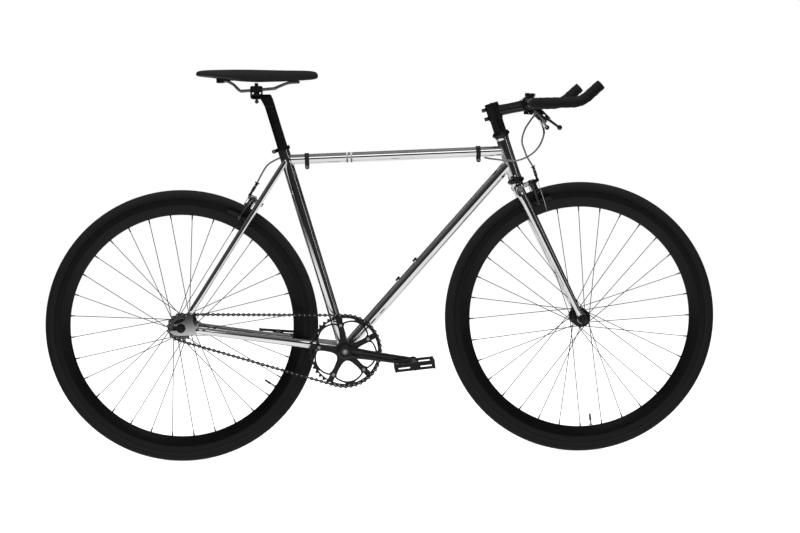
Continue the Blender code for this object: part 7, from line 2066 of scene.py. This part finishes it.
    def pad(self, crossing: bool, body: str, label: str) -> None:
        """Curved rubber pad with grooves, in its holder.

        Args:
            crossing: True for the pad of the arm that reaches to the cable.
            body: Name of the body that the arm is.
            label: Side of the bicycle that the pad is on.
        """
        s, out = self.sizes, (1 if crossing else -1) * self.side
        c, n, edge = math.cos(self.lean), math.sin(self.lean), s.rim_half + s.pad_gap
        radial, along = c * self.up + n * self.ahead, c * self.ahead - n * self.up
        rubber, holder, centre = Shape(), Shape(), self.wheel + s.brake_radius * radial
        for shape, inner, outer, length, height, groove in (
                (rubber, edge, edge + 0.0068, s.pad_length, s.pad_height, 0.0016),
                (holder, edge + 0.0060, edge + s.pad_thickness, s.pad_length - 0.002,
                 s.pad_height - 0.0008, 0.0)):
            rows = []
            for k, share in enumerate(spaced(-1.0, 1.0, 13)):
                x = share * length / 2
                sag = x * x / (2 * s.brake_radius) - 0.0005
                pinch = 1.0 - 0.28 * max(0.0, abs(share) - 0.8) / 0.2
                notch = groove if k in (3, 6, 9) else 0.0
                rows.append([centre + x * along + (z - sag) * radial
                             + ((inner + outer) / 2 + y + (notch if y < 0 else 0.0)) * out
                             for y, z in rounded(outer - inner, height * pinch, 0.0011)])
            shape.rings(rows)
        place(rubber, f"{self.end}_pad_{label}", PAD, body)
        at = Axis(self.point(0.0, -self.drop, self.middle(crossing)), out, self.up).at
        holder.rods(at, (edge + s.pad_thickness - 0.001, s.half_spread - 0.006, 0.0029, 18, 0.0))
        place(holder, f"{self.end}_pad_holder_{label}", PLASTIC, body)

    def middle(self, crossing: bool) -> float:
        """How far ahead of the pivot the middle of an arm lies."""
        return self.plane + self.sizes.arm / 2 + (self.sizes.arm + GAP if crossing else 0.0)

    def side_label(self, crossing: bool) -> str:
        """Name of the side that an arm's pad is on."""
        toward = self.side if crossing else -self.side
        return "left" if toward.y > 0 else "right"

    def spring(self, body: Body) -> None:
        """Bent wire spring between the arms, behind them.

        Args:
            body: What the brake is bolted to.
        """
        half = ((-0.0235, -0.0290), (-0.0215, -0.0170), (-0.0165, -0.0060), (-0.0085, -0.0010))
        points = [self.point(x, z, self.plane - 0.0016) for x, z in
                  (*half, (0.0, 0.0072), *((-x, z) for x, z in reversed(half)))]
        place(Shape().tube(curve_through(points, 0.0015), 0.0009, 10),
              f"{self.end}_brake_spring", DULL_STEEL, body)

    def make(self, body: Body) -> None:
        """Makes both arms and the spring.

        Args:
            body: What the brake is bolted to.
        """
        self.arm(True)
        self.arm(False)
        self.spring(body)


# Levers and cables
@dataclass(frozen=True)
class LeverSizes:
    """Places and sizes of the brake levers."""

    out: float = 0.0500
    drop: float = math.radians(45.0)
    clamp_bore: float = 0.0114
    clamp: float = 0.0150
    clamp_half: float = 0.0060
    hood_shift: float = -0.0010
    cheek: float = 0.0060
    pivot: float = 0.0520
    barrel: float = 0.0310
    barrel_end: float = -0.0260
    tip_ball: float = 0.0064


class Levers:
    """Brake lever bodies and blades."""

    def __init__(self, sizes: LeverSizes = LeverSizes()) -> None:
        """Keeps the sizes and the directions of the levers' drop and pivot pins."""
        self.sizes, (c, s) = sizes, polar(1.0, sizes.drop)
        self.drop, self.axis = Vector((c, 0.0, -s)), Vector((s, 0.0, c))

    def at(self, side: int, reach: float, out: float = 0.0, off: float = 0.0) -> Vector:
        """Point below the bar: along the lever's drop, outward, off along its pivot."""
        return (PLACE.bar_centre + side * (self.sizes.out + out) * LEFT + reach * self.drop
                + off * self.axis)

    def section(self, side: int, reach: float, off: float, outline: Sequence[Pair]
                ) -> list[Vector]:
        """Ring of the hood at a reach, off along the pivot."""
        return [self.at(side, reach, self.sizes.hood_shift + y, off + z) for y, z in outline]

    def body(self, side: Side) -> None:
        """Hinged clamp, hooded body with a slot for the blade, and the cable's barrel.

        Args:
            side: Side of the bicycle.
        """
        s, sign = self.sizes, side.value
        shape = Shape().turned(sleeve(s.clamp_bore, s.clamp, -s.clamp_half, s.clamp_half,
                                      (0.0008, 0.0008)), self.at(sign, 0.0), LEFT, 56)
        shape.rings([self.section(sign, reach, 0.0, rounded(width, depth, 0.0045, 5))
                     for reach, width, depth in ((0.0132, 0.0170, 0.0125),
                                                 (0.0165, 0.0205, 0.0150),
                                                 (0.0230, 0.0220, 0.0168),
                                                 (0.0330, 0.0218, 0.0170),
                                                 (0.0398, 0.0214, 0.0166))])
        for off in (s.cheek, -s.cheek):
            shape.rings([self.section(sign, reach, off, rounded(width, 0.0040, 0.0016))
                         for reach, width in ((0.0385, 0.0212), (0.0480, 0.0206),
                                              (0.0560, 0.0186), (0.0590, 0.0150),
                                              (0.0600, 0.0095))])
        place(shape, f"lever_body_{side.label}_black", GLOSS_BLACK, Body.STEERING,
              f"brake_lever_body_{side.label}")
        metal = Shape().rods(partial(self.at, sign, s.pivot, 0.0),
                             (-0.0068, 0.0068, 0.0019, 16, 0.0),
                             (0.0074, 0.0083, 0.0032, 20, 0.0),
                             (-0.0074, -0.0083, 0.0032, 20, 0.0))
        metal.rods(partial(self.at, sign, s.barrel), (-0.0115, -0.0205, 0.0036, 28, 0.0005),
                   (-0.0205, s.barrel_end, 0.0030, 24, 0.0005))
        place(metal, f"lever_barrel_{side.label}", BRIGHT, Body.STEERING)

    def blade(self, side: Side) -> None:
        """Curved blade with rounded edges, from its eye to the ball at its tip.

        Args:
            side: Side of the bicycle.
        """
        s, sign = self.sizes, side.value
        points = [self.at(sign, reach, out) for reach, out in
                  ((s.pivot, 0.0), (0.0545, 0.0140), (0.0592, 0.0297), (0.0680, 0.0480),
                   (0.0775, 0.0680), (0.0850, 0.0850))]
        path = curve_through(points, 0.0020)
        shape, last, rows = Shape(), len(path) - 1, []
        shape.rods(partial(self.at, sign, s.pivot, 0.0), (-0.0034, 0.0034, 0.0058, 32, 0.0006))
        for k, point in enumerate(path):
            along = (path[min(k + 1, last)] - path[max(k - 1, 0)]).normalized()
            across = along.cross(self.axis).normalized()
            outline = rounded(0.0068 - 0.0012 * k / last, 0.0104 - 0.0034 * k / last, 0.0022, 4)
            rows.append([point + x * self.axis + y * across for x, y in outline])
        shape.rings(rows).ball(points[-1], s.tip_ball, self.axis, 24)
        lever = f"brake_lever_{side.label}"
        place(shape, f"lever_blade_{side.label}_black", GLOSS_BLACK, lever, lever)

    def make(self) -> None:
        """Makes both levers."""
        for side in Side:
            self.body(side)
            self.blade(side)


@dataclass(frozen=True)
class CableSizes:
    """Sizes of the housings and what sits on them."""

    housing: float = 0.0022
    ferrule: float = 0.0026
    ferrule_end: float = 0.0046
    wire: float = 0.0008
    boot: float = 0.0033
    boot_length: float = 0.0250
    noodle: float = 0.0025
    noodle_length: float = 0.0620
    adjuster_seat: float = 0.0308
    clip_clear: float = 0.0090
    bend_height: float = 0.43
    bend_ahead: float = 0.095


class Cables:
    """Both brake cables: housing, ferrules, boots, the rear noodle and the bare wire."""

    def __init__(self, levers: Levers, front: Calliper, rear: Calliper,
                 sizes: CableSizes = CableSizes()) -> None:
        """Keeps what the cables join, and the sizes."""
        self.levers, self.front, self.rear, self.sizes = levers, front, rear, sizes

    def exit(self, side: int) -> list[Vector]:
        """First two points of a housing, beyond its lever's barrel."""
        lever = self.levers.sizes
        return [self.levers.at(side, lever.barrel, lever.barrel_end - beyond)
                for beyond in (GAP, self.sizes.ferrule_end)]

    def route(self, sections: list[list[Vector]], brake: Calliper) -> list[Vector]:
        """Points of the housing through smooth sections, down to the adjuster.

        Args:
            sections: Points that each section passes.
            brake: The brake at the housing's end.
        Returns:
            Points along the housing.
        """
        top = self.sizes.adjuster_seat
        sections[-1].append(brake.cable_at(top + 0.0069))
        points = [point for section in sections for point in curve_through(section, 0.004)]
        return refined([*points, brake.cable_at(top)], 0.003)

    def wire(self, name: str, brake: Calliper, body: Body) -> None:
        """Bare wire from the adjuster past the anchor, with its crimped end."""
        shape = Shape().rods(brake.cable_at, (0.0330, -0.0690, self.sizes.wire, 8, 0.0),
                             (-0.0660, -0.0750, 0.0012, 10, 0.0002))
        place(shape, name, BRIGHT, body)

    def boot(self, name: str, route: list[Vector], body: Body) -> None:
        """Black adjusting barrel with a flange, round the housing's last stretch.

        Args:
            name: Name of the piece.
            route: Points of the housing.
            body: The body that it rides on.
        """
        path, radii = route[-5:], (0.0032, 0.0036, 0.0033, 0.0036, 0.0034)
        line = Axis(path[0], (path[1] - path[0]).normalized(), UP)
        shape = Shape().tube(path, radii, 22).rods(line.at, (-0.0004, 0.0014, 0.0064, 28, 0.0004))
        place(shape, name, BOOT, body)

    def front_cable(self) -> None:
        """From the left lever to the front brake."""
        s = self.sizes
        to_brake = [PLACE.steer.at(*step) for step in
                    ((0.5085, 0.0840, 0.0090), (0.4894, 0.0600, 0.0000),
                     (0.4649, 0.0431, -0.0160), (0.4370, 0.0415, -0.0260),
                     (0.4217, 0.0425, -0.0300))]
        route = self.route([self.exit(1), to_brake], self.front)
        place(Shape().tube(route, s.housing, 18), "front_cable_housing", HOUSING, Body.STEERING,
              "front_brake_cable")
        place(Shape().tube(route[:4], s.ferrule, 18), "front_cable_ferrules", BRIGHT,
              Body.STEERING)
        self.boot("front_cable_boot", route, Body.STEERING)
        self.wire("front_cable_wire", self.front, Body.STEERING)

    def rear_cable(self) -> None:
        """From the right lever, beside the head tube, along the top tube to the rear brake."""
        s, top, on_seat = self.sizes, PLACE.top, PLACE.top_on_seat
        to_frame = [PLACE.steer.at(*step) for step in
                    ((0.5085, 0.1005, -0.0150), (0.4880, 0.1035, -0.0115),
                     (0.4716, 0.1035, -0.0120), (0.4602, 0.0981, -0.0140),
                     (0.4444, 0.0851, -0.0165), (0.4319, 0.0674, -0.0190),
                     (0.4244, 0.0447, -0.0215), (0.4231, 0.0175, -0.0215),
                     (0.4302, -0.0068, -0.0195), (0.4383, -0.0237, -0.0130))]
        to_frame += [top.at(PLACE.clip_front + 0.0232, -0.0168, 0.0060),
                     top.at(PLACE.clip_front + 0.0155, -0.0122, 0.0122),
                     top.at(PLACE.clip_front + s.clip_clear, *PLACE.cable_off)]
        to_brake = [top.at(PLACE.clip_rear - s.clip_clear, *PLACE.cable_off)]
        to_brake += [PLACE.seat.at(on_seat + above, ahead, side) for above, ahead, side in
                     ((-0.0066, 0.0232, 0.0165), (0.0015, 0.0062, 0.0182),
                      (0.0064, -0.0033, 0.0188))]
        to_brake += [self.rear.point(-side, above, ahead) for above, ahead, side in
                     ((0.1228, 0.0160, 0.0190), (0.0930, 0.0320, 0.0240),
                      (0.0630, 0.0330, 0.0290))]
        route = self.route([self.exit(-1), to_frame, to_brake], self.rear)
        pieces = [place(Shape().tube(route, s.housing, 18), "rear_cable_housing", HOUSING, None,
                        "rear_brake_cable")]
        travelled, boot_end, noodle_end = 0.0, 0, 0
        for index in range(1, len(route)):
            travelled += (route[index] - route[index - 1]).length
            boot_end = index if travelled < s.boot_length else boot_end
            noodle_end = index if travelled < s.noodle_length else noodle_end
        ribs = [s.boot + 0.00025 * (k % 2) for k in range(boot_end + 1)]
        boot = Shape().tube(route[:boot_end + 1], ribs, 20)
        noodle = Shape().tube(route[boot_end:noodle_end + 1], s.noodle, 20)
        noodle.tube(route[noodle_end - 1:noodle_end + 1], s.noodle + 0.0004, 20)
        pieces.append(place(boot, "rear_cable_boot", BOOT, None))
        pieces.append(place(noodle, "rear_cable_noodle", NOODLE, None))
        self.boot("rear_cable_boot_end", route, Body.FRAME)
        self.wire("rear_cable_wire", self.rear, Body.FRAME)
        for piece in pieces:
            tuple(PLACE.steer.at(s.bend_height))
            tuple(PLACE.steer.at(s.bend_height, s.bend_ahead))
            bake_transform(piece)

    def make(self) -> None:
        """Makes both cables."""
        self.front_cable()
        self.rear_cable()


# Seat
@dataclass(frozen=True)
class SeatSizes:
    """Sizes of the seatpost and the saddle, above the post's head."""

    post: float = 0.0127
    insertion: float = 0.1100
    head_half: float = 0.0140
    head_depth: float = 0.0325
    cradle: float = 0.0092
    tilt_height: float = 0.0370
    tilt_radius: float = 0.0400
    clamp_length: float = 0.0300
    clamp_width: float = 0.0580
    clamp_split: float = 0.0010
    plate: float = 0.0060
    rail: float = 0.0035
    rail_spread: float = 0.0220
    rail_height: float = 0.0115
    rail_slope: float = 0.0600
    rail_rear: float = -0.0860
    length: float = 0.3017
    tail: float = 0.1477
    half_width: float = 0.0720
    top: float = 0.0622
    shell_height: float = 0.0325
    shell_thickness: float = 0.0030
    cover_sharp: float = math.radians(50.0)


class Seat:
    """Seatpost, saddle clamp, rails, shell and padded cover."""

    def __init__(self, sizes: SeatSizes = SeatSizes()) -> None:
        """Keeps the sizes."""
        self.sizes = sizes

    def post(self) -> None:
        """Post with a set-back head, hollowed on top for the clamp."""
        s, seat, depth, down = self.sizes, PLACE.seat, self.sizes.head_depth, -math.pi / 2
        neck = PLACE.post_setback - depth * seat.along.x / seat.along.z
        half, corner = s.clamp_length / 2 + 0.001, PLACE.post_setback + s.post
        centre, bowl, lower = (0.0, s.tilt_height), s.tilt_radius + GAP, s.tilt_radius + s.cradle
        edge = math.asin(half / bowl)
        outline = [(corner + 0.0002, -0.0036), (corner - 0.0010, -0.0010), (corner - 0.0036, 0.0),
                   *arc(centre, bowl, down + edge, down - edge, 15),
                   *arc(centre, lower, down - math.asin(0.9 * half / lower),
                        down + math.asin(0.6 * half / lower), 8),
                   (neck - s.post, -depth), (neck + s.post - 0.0004, -depth)]
        shape = Shape().plate([outline], 2 * s.head_half, PLACE.saddle(0.0, 0.0, 0.0), -LEFT,
                              FORWARD, 0.0022)
        length = PLACE.seat_tube + PLACE.post_exposed
        shape.rods(seat.at, (PLACE.seat_tube - s.insertion, length - 0.8 * depth, s.post, 56,
                             0.0006))
        shape.tube([seat.at(length - below) for below in (0.036, 0.030, 0.018, 0.011)],
                   [s.post, s.post + 0.0002, s.post + 0.0002, s.post - 0.0004], 48)
        place(shape, "seatpost_black", ANODISED, Body.SEATPOST, "seatpost")

    def clamp(self) -> None:
        """Rocking lower half, plate over the rails, bolt and cross nut."""
        s, half, middle = self.sizes, self.sizes.clamp_length / 2, self.sizes.rail_height
        down, edge, split = -math.pi / 2, math.asin(half / s.tilt_radius), s.clamp_split
        lower = [(half, middle - split), (-half, middle - split),
                 *arc((0.0, s.tilt_height), s.tilt_radius, down - edge, down + edge, 17)]
        holes = [disc(0.0026, 20, (x, middle - 2.3 * s.rail)) for x in (-0.009, 0.009)]
        top = middle + s.rail + s.plate
        upper = [(half, middle + split), (half, top - 0.0022), (half - 0.0030, top),
                 (0.003 - half, top), (-half, top - 0.0022), (-half, middle + split)]
        shape = Shape()
        for outlines in ([lower, *holes], [upper]):
            shape.plate(outlines, s.clamp_width, PLACE.saddle(0.0, 0.0, 0.0), -LEFT, FORWARD,
                        0.0009)
        place(shape, "saddle_clamp_black", ANODISED, Body.SADDLE, "saddle_clamp")
        nut = s.tilt_height - (s.tilt_radius + s.cradle + GAP + 0.0050)
        bolt = Shape().rods(partial(PLACE.saddle, 0.0, 0.0), (nut, 0.0240, 0.0028, 20, 0.0),
                            (top, top + 0.0012, 0.0056, 32, 0.0002),
                            (top + 0.0010, 0.0286, 0.0046, 28, 0.0006))
        bolt.rods(Axis(PLACE.saddle(0.0, 0.0, nut), LEFT, UP).at,
                  (-0.0090, 0.0090, 0.0048, 28, 0.0006))
        place(bolt, "saddle_clamp_bolt", DULL_STEEL, Body.SADDLE)

    def rail_at(self, ahead: float) -> float:
        """Height of the rails' straight part."""
        return self.sizes.rail_height + self.sizes.rail_slope * ahead

    def rails(self) -> None:
        """One bent steel bar, looped under the nose."""
        s, reach = self.sizes, 1.3 * self.sizes.clamp_length
        nose, spread = s.shell_height - GAP - s.rail, s.rail_spread
        half = [(s.rail_rear, 0.0280, 0.0345), (-0.0730, 0.0280, 0.0345),
                (-1.9 * s.clamp_length, spread + 0.0030, 0.0260),
                (-1.45 * s.clamp_length, spread + 0.0010, self.rail_at(-reach) + 0.0030),
                (-reach, spread, self.rail_at(-reach)), (reach, spread, self.rail_at(reach)),
                (reach + 0.0080, 0.96 * spread, self.rail_at(reach) + 0.0015),
                (0.0600, 0.76 * spread, nose - 0.0080), (0.0800, 0.56 * spread, nose - 0.0012),
                (0.1020, 0.30 * spread, nose)]
        points = [PLACE.saddle(*point) for point in
                  (*half, (0.1040, 0.0, nose), *((x, -y, z) for x, y, z in reversed(half)))]
        place(Shape().tube(curve_through(points, 0.004), s.rail, 20), "saddle_rails_steel",
              DULL_STEEL, Body.SADDLE, "saddle_rails")

    def shell_shape(self, margin: float, floor: float) -> Shape:
        """The stiff base, larger by a margin and deeper by the floor.

        Args:
            margin: How much larger it is all round.
            floor: How much lower its under side lies.
        Returns:
            A shape with the base in it.
        """
        s, rows = self.sizes, []
        stations = ((0.030, 0.60, 0.0150, -margin), (0.120, 0.76, 0.0118, 0.0),
                    (0.225, 0.76, 0.0065, 0.0), (0.355, 0.50, 0.0022, 0.0),
                    (0.490, 0.31, 0.0, 0.0), (0.690, 0.20, 0.0, 0.0),
                    (0.900, 0.16, 0.0020, 0.0), (0.965, 0.11, 0.0045, margin))
        for share, width, rise, end in stations:
            ahead, half = s.length * share - s.tail + end, s.half_width * width + margin
            low, high = s.shell_height + rise - floor, s.shell_height + rise + s.shell_thickness
            rows.append([PLACE.saddle(ahead, y, z) for y, z in
                         ((-half, low), (half, low), (half, high + margin),
                          (-half, high + margin))])
        return Shape().rings(rows)

    def shell(self) -> None:
        """Stiff base with ribs and the holder for the rails' ends."""
        shape = self.shell_shape(0.0, 0.0)
        shape.block(PLACE.saddle(self.sizes.rail_rear - 0.0025, 0.0, 0.0360),
                    (0.0180, 0.0700, 0.0112), corner=0.0030)
        for y in (-0.030, 0.0, 0.030):
            shape.block(PLACE.saddle(-0.075, y, 0.0385), (0.040, 0.0016, 0.0050), corner=0.0004)
        place(shape, "saddle_shell_black", PLASTIC, Body.SADDLE, "saddle_shell")

    def cover(self) -> None:
        """Smooth padded cover, crowned and wide at the tail, with a rolled lower edge."""
        s, name, rows = self.sizes, "saddle_cover_vinyl", []
        stations = ((-0.004, 0.46, -0.0040, -0.0100, -0.0140),
                    (0.030, 0.96, 0.0004, -0.0095, -0.0160),
                    (0.140, 1.14, 0.0012, -0.0110, -0.0195),
                    (0.270, 0.96, 0.0012, -0.0150, -0.0265),
                    (0.420, 0.52, 0.0008, -0.0170, -0.0335),
                    (0.620, 0.33, -0.0020, -0.0175, -0.0335),
                    (0.820, 0.285, -0.0040, -0.0175, -0.0315),
                    (0.960, 0.24, -0.0050, -0.0185, -0.0290),
                    (1.000, 0.13, -0.0120, -0.0195, -0.0250))
        for share, width, crown, edge, base in stations:
            ahead, half = s.length * share - s.tail, s.half_width * width
            section = ((0.0, crown), (0.66 * half, crown - 0.0012), (half, edge),
                       (0.86 * half, base), (0.0, base + 0.0010), (-0.86 * half, base),
                       (-half, edge), (-0.66 * half, crown - 0.0012))
            rows.append([PLACE.saddle(ahead, y, s.top + z) for y, z in section])
        cover = Shape().rings(rows).mesh("cover_cage")
        cutter = self.shell_shape(GAP, s.shell_height).mesh("cover_cutter")
        smooth = cover.modifiers.new("smooth", "SUBSURF")
        smooth.levels = smooth.render_levels = 4
        hollow = cover.modifiers.new("hollow", "BOOLEAN")
        hollow.operation, hollow.solver, hollow.object = "DIFFERENCE", "EXACT", cutter
        bpy.context.view_layer.update()
        data = bpy.data.meshes.new_from_object(
            cover.evaluated_get(bpy.context.evaluated_depsgraph_get()))
        for obj in (cover, cutter):
            bpy.data.objects.remove(obj, do_unlink=True)
        data.name = name
        data.materials.clear()
        data.shade_smooth()
        data.set_sharp_from_angle(angle=s.cover_sharp)
        piece = bpy.data.objects.new(name, data)
        bpy.context.scene.collection.objects.link(piece)
        dress(piece, VINYL, Body.SADDLE, ("saddle_cover",))

    def make(self) -> None:
        """Makes every piece."""
        self.post()
        self.clamp()
        self.rails()
        self.shell()
        self.cover()


# Studio
@dataclass(frozen=True)
class View:
    """The photograph's camera."""

    place: Triple = (-0.186, -5.33, 0.828)
    yaw: float = math.radians(2.52)
    pitch: float = math.radians(3.78)
    roll: float = math.radians(-1.1)
    focal_pixels: float = 2138.0
    width: int = 800
    sensor: float = 36.0


@dataclass(frozen=True)
class Softbox:
    """A rectangular lamp aimed at a point."""

    name: str
    place: Triple
    target: Triple
    size: Pair
    power: float
    mirrored: bool = True


class Studio:
    """White floor, surroundings, lamps and the camera."""

    softboxes = (
        Softbox("top_lamp", (0.0, -0.9, 3.4), (0.0, 0.0, 0.3), (3.0, 0.9), 60.0, False),
        Softbox("front_lamp", (-1.9, -3.6, 2.3), (0.0, 0.0, 0.5), (0.4, 1.0), 16.0, False),
        Softbox("side_lamp", (3.1, -2.2, 1.3), (0.2, 0.0, 0.5), (0.25, 2.0), 2.0),
        Softbox("strip_lamp", (0.17, -3.0, 2.45), (0.17, 0.0, 0.75), (1.05, 1.15), 6.0),
        Softbox("back_lamp", (0.5, 3.4, 1.9), (0.0, 0.0, 0.5), (3.2, 0.9), 16.0),
    )
    room_greys = ((0.0, 0.02), (0.50, 0.025), (0.60, 0.03), (0.72, 0.06), (0.86, 0.14),
                  (1.0, 0.24))
    sheet = (1.45, 3.2)
    sheet_edge = 1.4
    sheet_glow = 0.92

    def __init__(self, view: View = View()) -> None:
        """Keeps the view."""
        self.view = view

    def world(self) -> None:
        """White for the camera; reflections and light see a graded grey room."""
        world = bpy.data.worlds.new("studio_world")
        bpy.context.scene.world = world
        world.use_nodes = True
        nodes = Nodes(world.node_tree)
        world.node_tree.nodes.clear()
        where = nodes.add("ShaderNodeTexCoord").outputs["Generated"]
        split = nodes.add("ShaderNodeSeparateXYZ", {"Vector": where})
        height = nodes.add("ShaderNodeMapRange", {"From Min": -1.0, "Value": split.outputs["Z"]})
        ramp = nodes.add("ShaderNodeValToRGB", {"Fac": height.outputs["Result"]})
        ramp.color_ramp.interpolation = "EASE"
        marks = ramp.color_ramp.elements
        for index, (position, grey) in enumerate(self.room_greys):
            mark = marks[index] if index < 2 else marks.new(position)
            mark.position, mark.color = position, (grey, grey, grey, 1.0)
        room = nodes.add("ShaderNodeBackground", {"Color": ramp.outputs["Color"]})
        white = nodes.add("ShaderNodeBackground", {"Color": (1.0, 1.0, 1.0, 1.0),
                                                   "Strength": 1.0})
        rays = nodes.add("ShaderNodeLightPath").outputs
        seen = nodes.add("ShaderNodeMixShader", {
            "Fac": rays["Is Camera Ray"], 1: room.outputs["Background"],
            2: white.outputs["Background"]})
        nodes.add("ShaderNodeOutputWorld", {"Surface": seen.outputs["Shader"]})

    def floor(self) -> None:
        """Wide white floor with a faint grain; the camera, light and chrome each see it apart."""
        shape = Shape()
        shape.points += [Vector((x, y, 0.0)) for x, y in ((-9, -7), (9, -7), (9, 9), (-9, 9))]
        shape.faces.append((0, 1, 2, 3))
        floor = shape.mesh("floor")
        material = bpy.data.materials.new("floor_white")
        material.use_nodes = True
        own, nodes = material.node_tree.nodes, Nodes(material.node_tree)
        grain = nodes.add("ShaderNodeTexNoise", {"Scale": 6.0}).outputs["Fac"]
        white = nodes.add("ShaderNodeMapRange", {"To Min": 0.90, "To Max": 0.94, "Value": grain})
        nodes.fill(own["Principled BSDF"], {"Base Color": white.outputs["Result"],
                                            "Roughness": 0.9, "Specular IOR Level": 0.0})
        glow = nodes.add("ShaderNodeEmission", {"Strength": 0.86})
        lit = nodes.add("ShaderNodeAddShader", {0: own["Principled BSDF"].outputs["BSDF"],
                                                1: glow.outputs["Emission"]})
        dim = nodes.add("ShaderNodeBsdfDiffuse", {"Color": (0.10, 0.10, 0.10, 1.0)})
        where = nodes.add("ShaderNodeTexCoord").outputs["Object"]
        scaled = nodes.add("ShaderNodeVectorMath", {
            0: where, 1: (1.0 / self.sheet[0], 1.0 / self.sheet[1], 0.0)}, operation="MULTIPLY")
        distance = nodes.add("ShaderNodeVectorMath", {0: scaled.outputs["Vector"]},
                             operation="LENGTH")
        fade = nodes.add("ShaderNodeMapRange", {
            "Value": distance.outputs["Value"], "From Min": 1.0, "From Max": self.sheet_edge,
            "To Min": self.sheet_glow, "To Max": 0.02}, interpolation_type="SMOOTHSTEP")
        mirror = nodes.add("ShaderNodeEmission", {"Color": fade.outputs["Result"]})
        rays = nodes.add("ShaderNodeLightPath").outputs
        seen = nodes.add("ShaderNodeMixShader", {
            "Fac": rays["Is Camera Ray"], 1: dim.outputs["BSDF"], 2: lit.outputs["Shader"]})
        mirrored_too = nodes.add("ShaderNodeMixShader", {
            "Fac": rays["Is Glossy Ray"], 1: seen.outputs["Shader"],
            2: mirror.outputs["Emission"]})
        nodes.fill(own["Material Output"], {"Surface": mirrored_too.outputs["Shader"]})
        floor.data.materials.append(material)

    def lamps(self) -> None:
        """Soft rectangular lamps, unseen by the camera."""
        for box in self.softboxes:
            data = bpy.data.lights.new(box.name, "AREA")
            data.shape, (data.size, data.size_y) = "RECTANGLE", box.size
            data.energy = box.power
            lamp = bpy.data.objects.new(box.name, data)
            lamp.location = box.place
            aim = Vector(box.target) - Vector(box.place)
            lamp.rotation_euler = aim.to_track_quat("-Z", "Y").to_euler()
            lamp.visible_camera, lamp.visible_glossy = False, box.mirrored
            bpy.context.scene.collection.objects.link(lamp)

    def camera(self) -> None:
        """Camera at the photograph's place, turn and focal length."""
        v = self.view
        ahead = Vector((math.sin(v.yaw) * math.cos(v.pitch), math.cos(v.yaw) * math.cos(v.pitch),
                        -math.sin(v.pitch)))
        level = Vector((math.cos(v.yaw), -math.sin(v.yaw), 0.0))
        above = level.cross(ahead)
        c, s = math.cos(v.roll), math.sin(v.roll)
        right, up = c * level + s * above, c * above - s * level
        data = bpy.data.cameras.new("camera")
        data.sensor_width, data.lens = v.sensor, v.sensor * v.focal_pixels / v.width
        data.clip_end = 60.0
        camera = bpy.data.objects.new("camera", data)
        matrix = Matrix((right, up, -ahead)).transposed().to_4x4()
        matrix.translation = Vector(v.place)
        camera.matrix_world = matrix
        bpy.context.scene.collection.objects.link(camera)
        bpy.context.scene.camera = camera

    def make(self) -> None:
        """Makes the surroundings."""
        self.camera()
        self.world()
        self.floor()
        self.lamps()
        bpy.context.scene.view_settings.view_transform = "Standard"


def main() -> None:
    """Dresses the frame and sets up the studio."""
    logging.basicConfig(level=logging.INFO, format="%(name)s %(message)s")
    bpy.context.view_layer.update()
    Studio().make()
    front = Calliper("front", PLACE.front_axle, PLACE.steer.along, PLACE.steer.square, LEFT,
                     0.3580, PLACE.steer.foot, 0.0300, -0.0025)
    rear = Calliper("rear", PLACE.rear_axle, PLACE.high_stay.along, PLACE.high_stay.square,
                    -LEFT, 0.3610, PLACE.rear_axle, 0.0120, 0.0320)
    FrameTubes().make(rear)
    Fittings().make()
    Wheel("front", PLACE.front_axle, Body.FRONT_WHEEL, Body.STEERING, WheelSizes()).make()
    Wheel("rear", PLACE.rear_axle, Body.REAR_WHEEL, Body.FRAME, REAR_SIZES).make()
    DriveTrain().make()
    Steering().make()
    front.bolt("front_brake_bolt", -0.0122, 0.0122, Body.STEERING)
    front.make(Body.STEERING)
    rear.make(Body.FRAME)
    levers = Levers()
    levers.make()
    Cables(levers, front, rear).make()
    Seat().make()


if __name__ == "__main__":
    main()
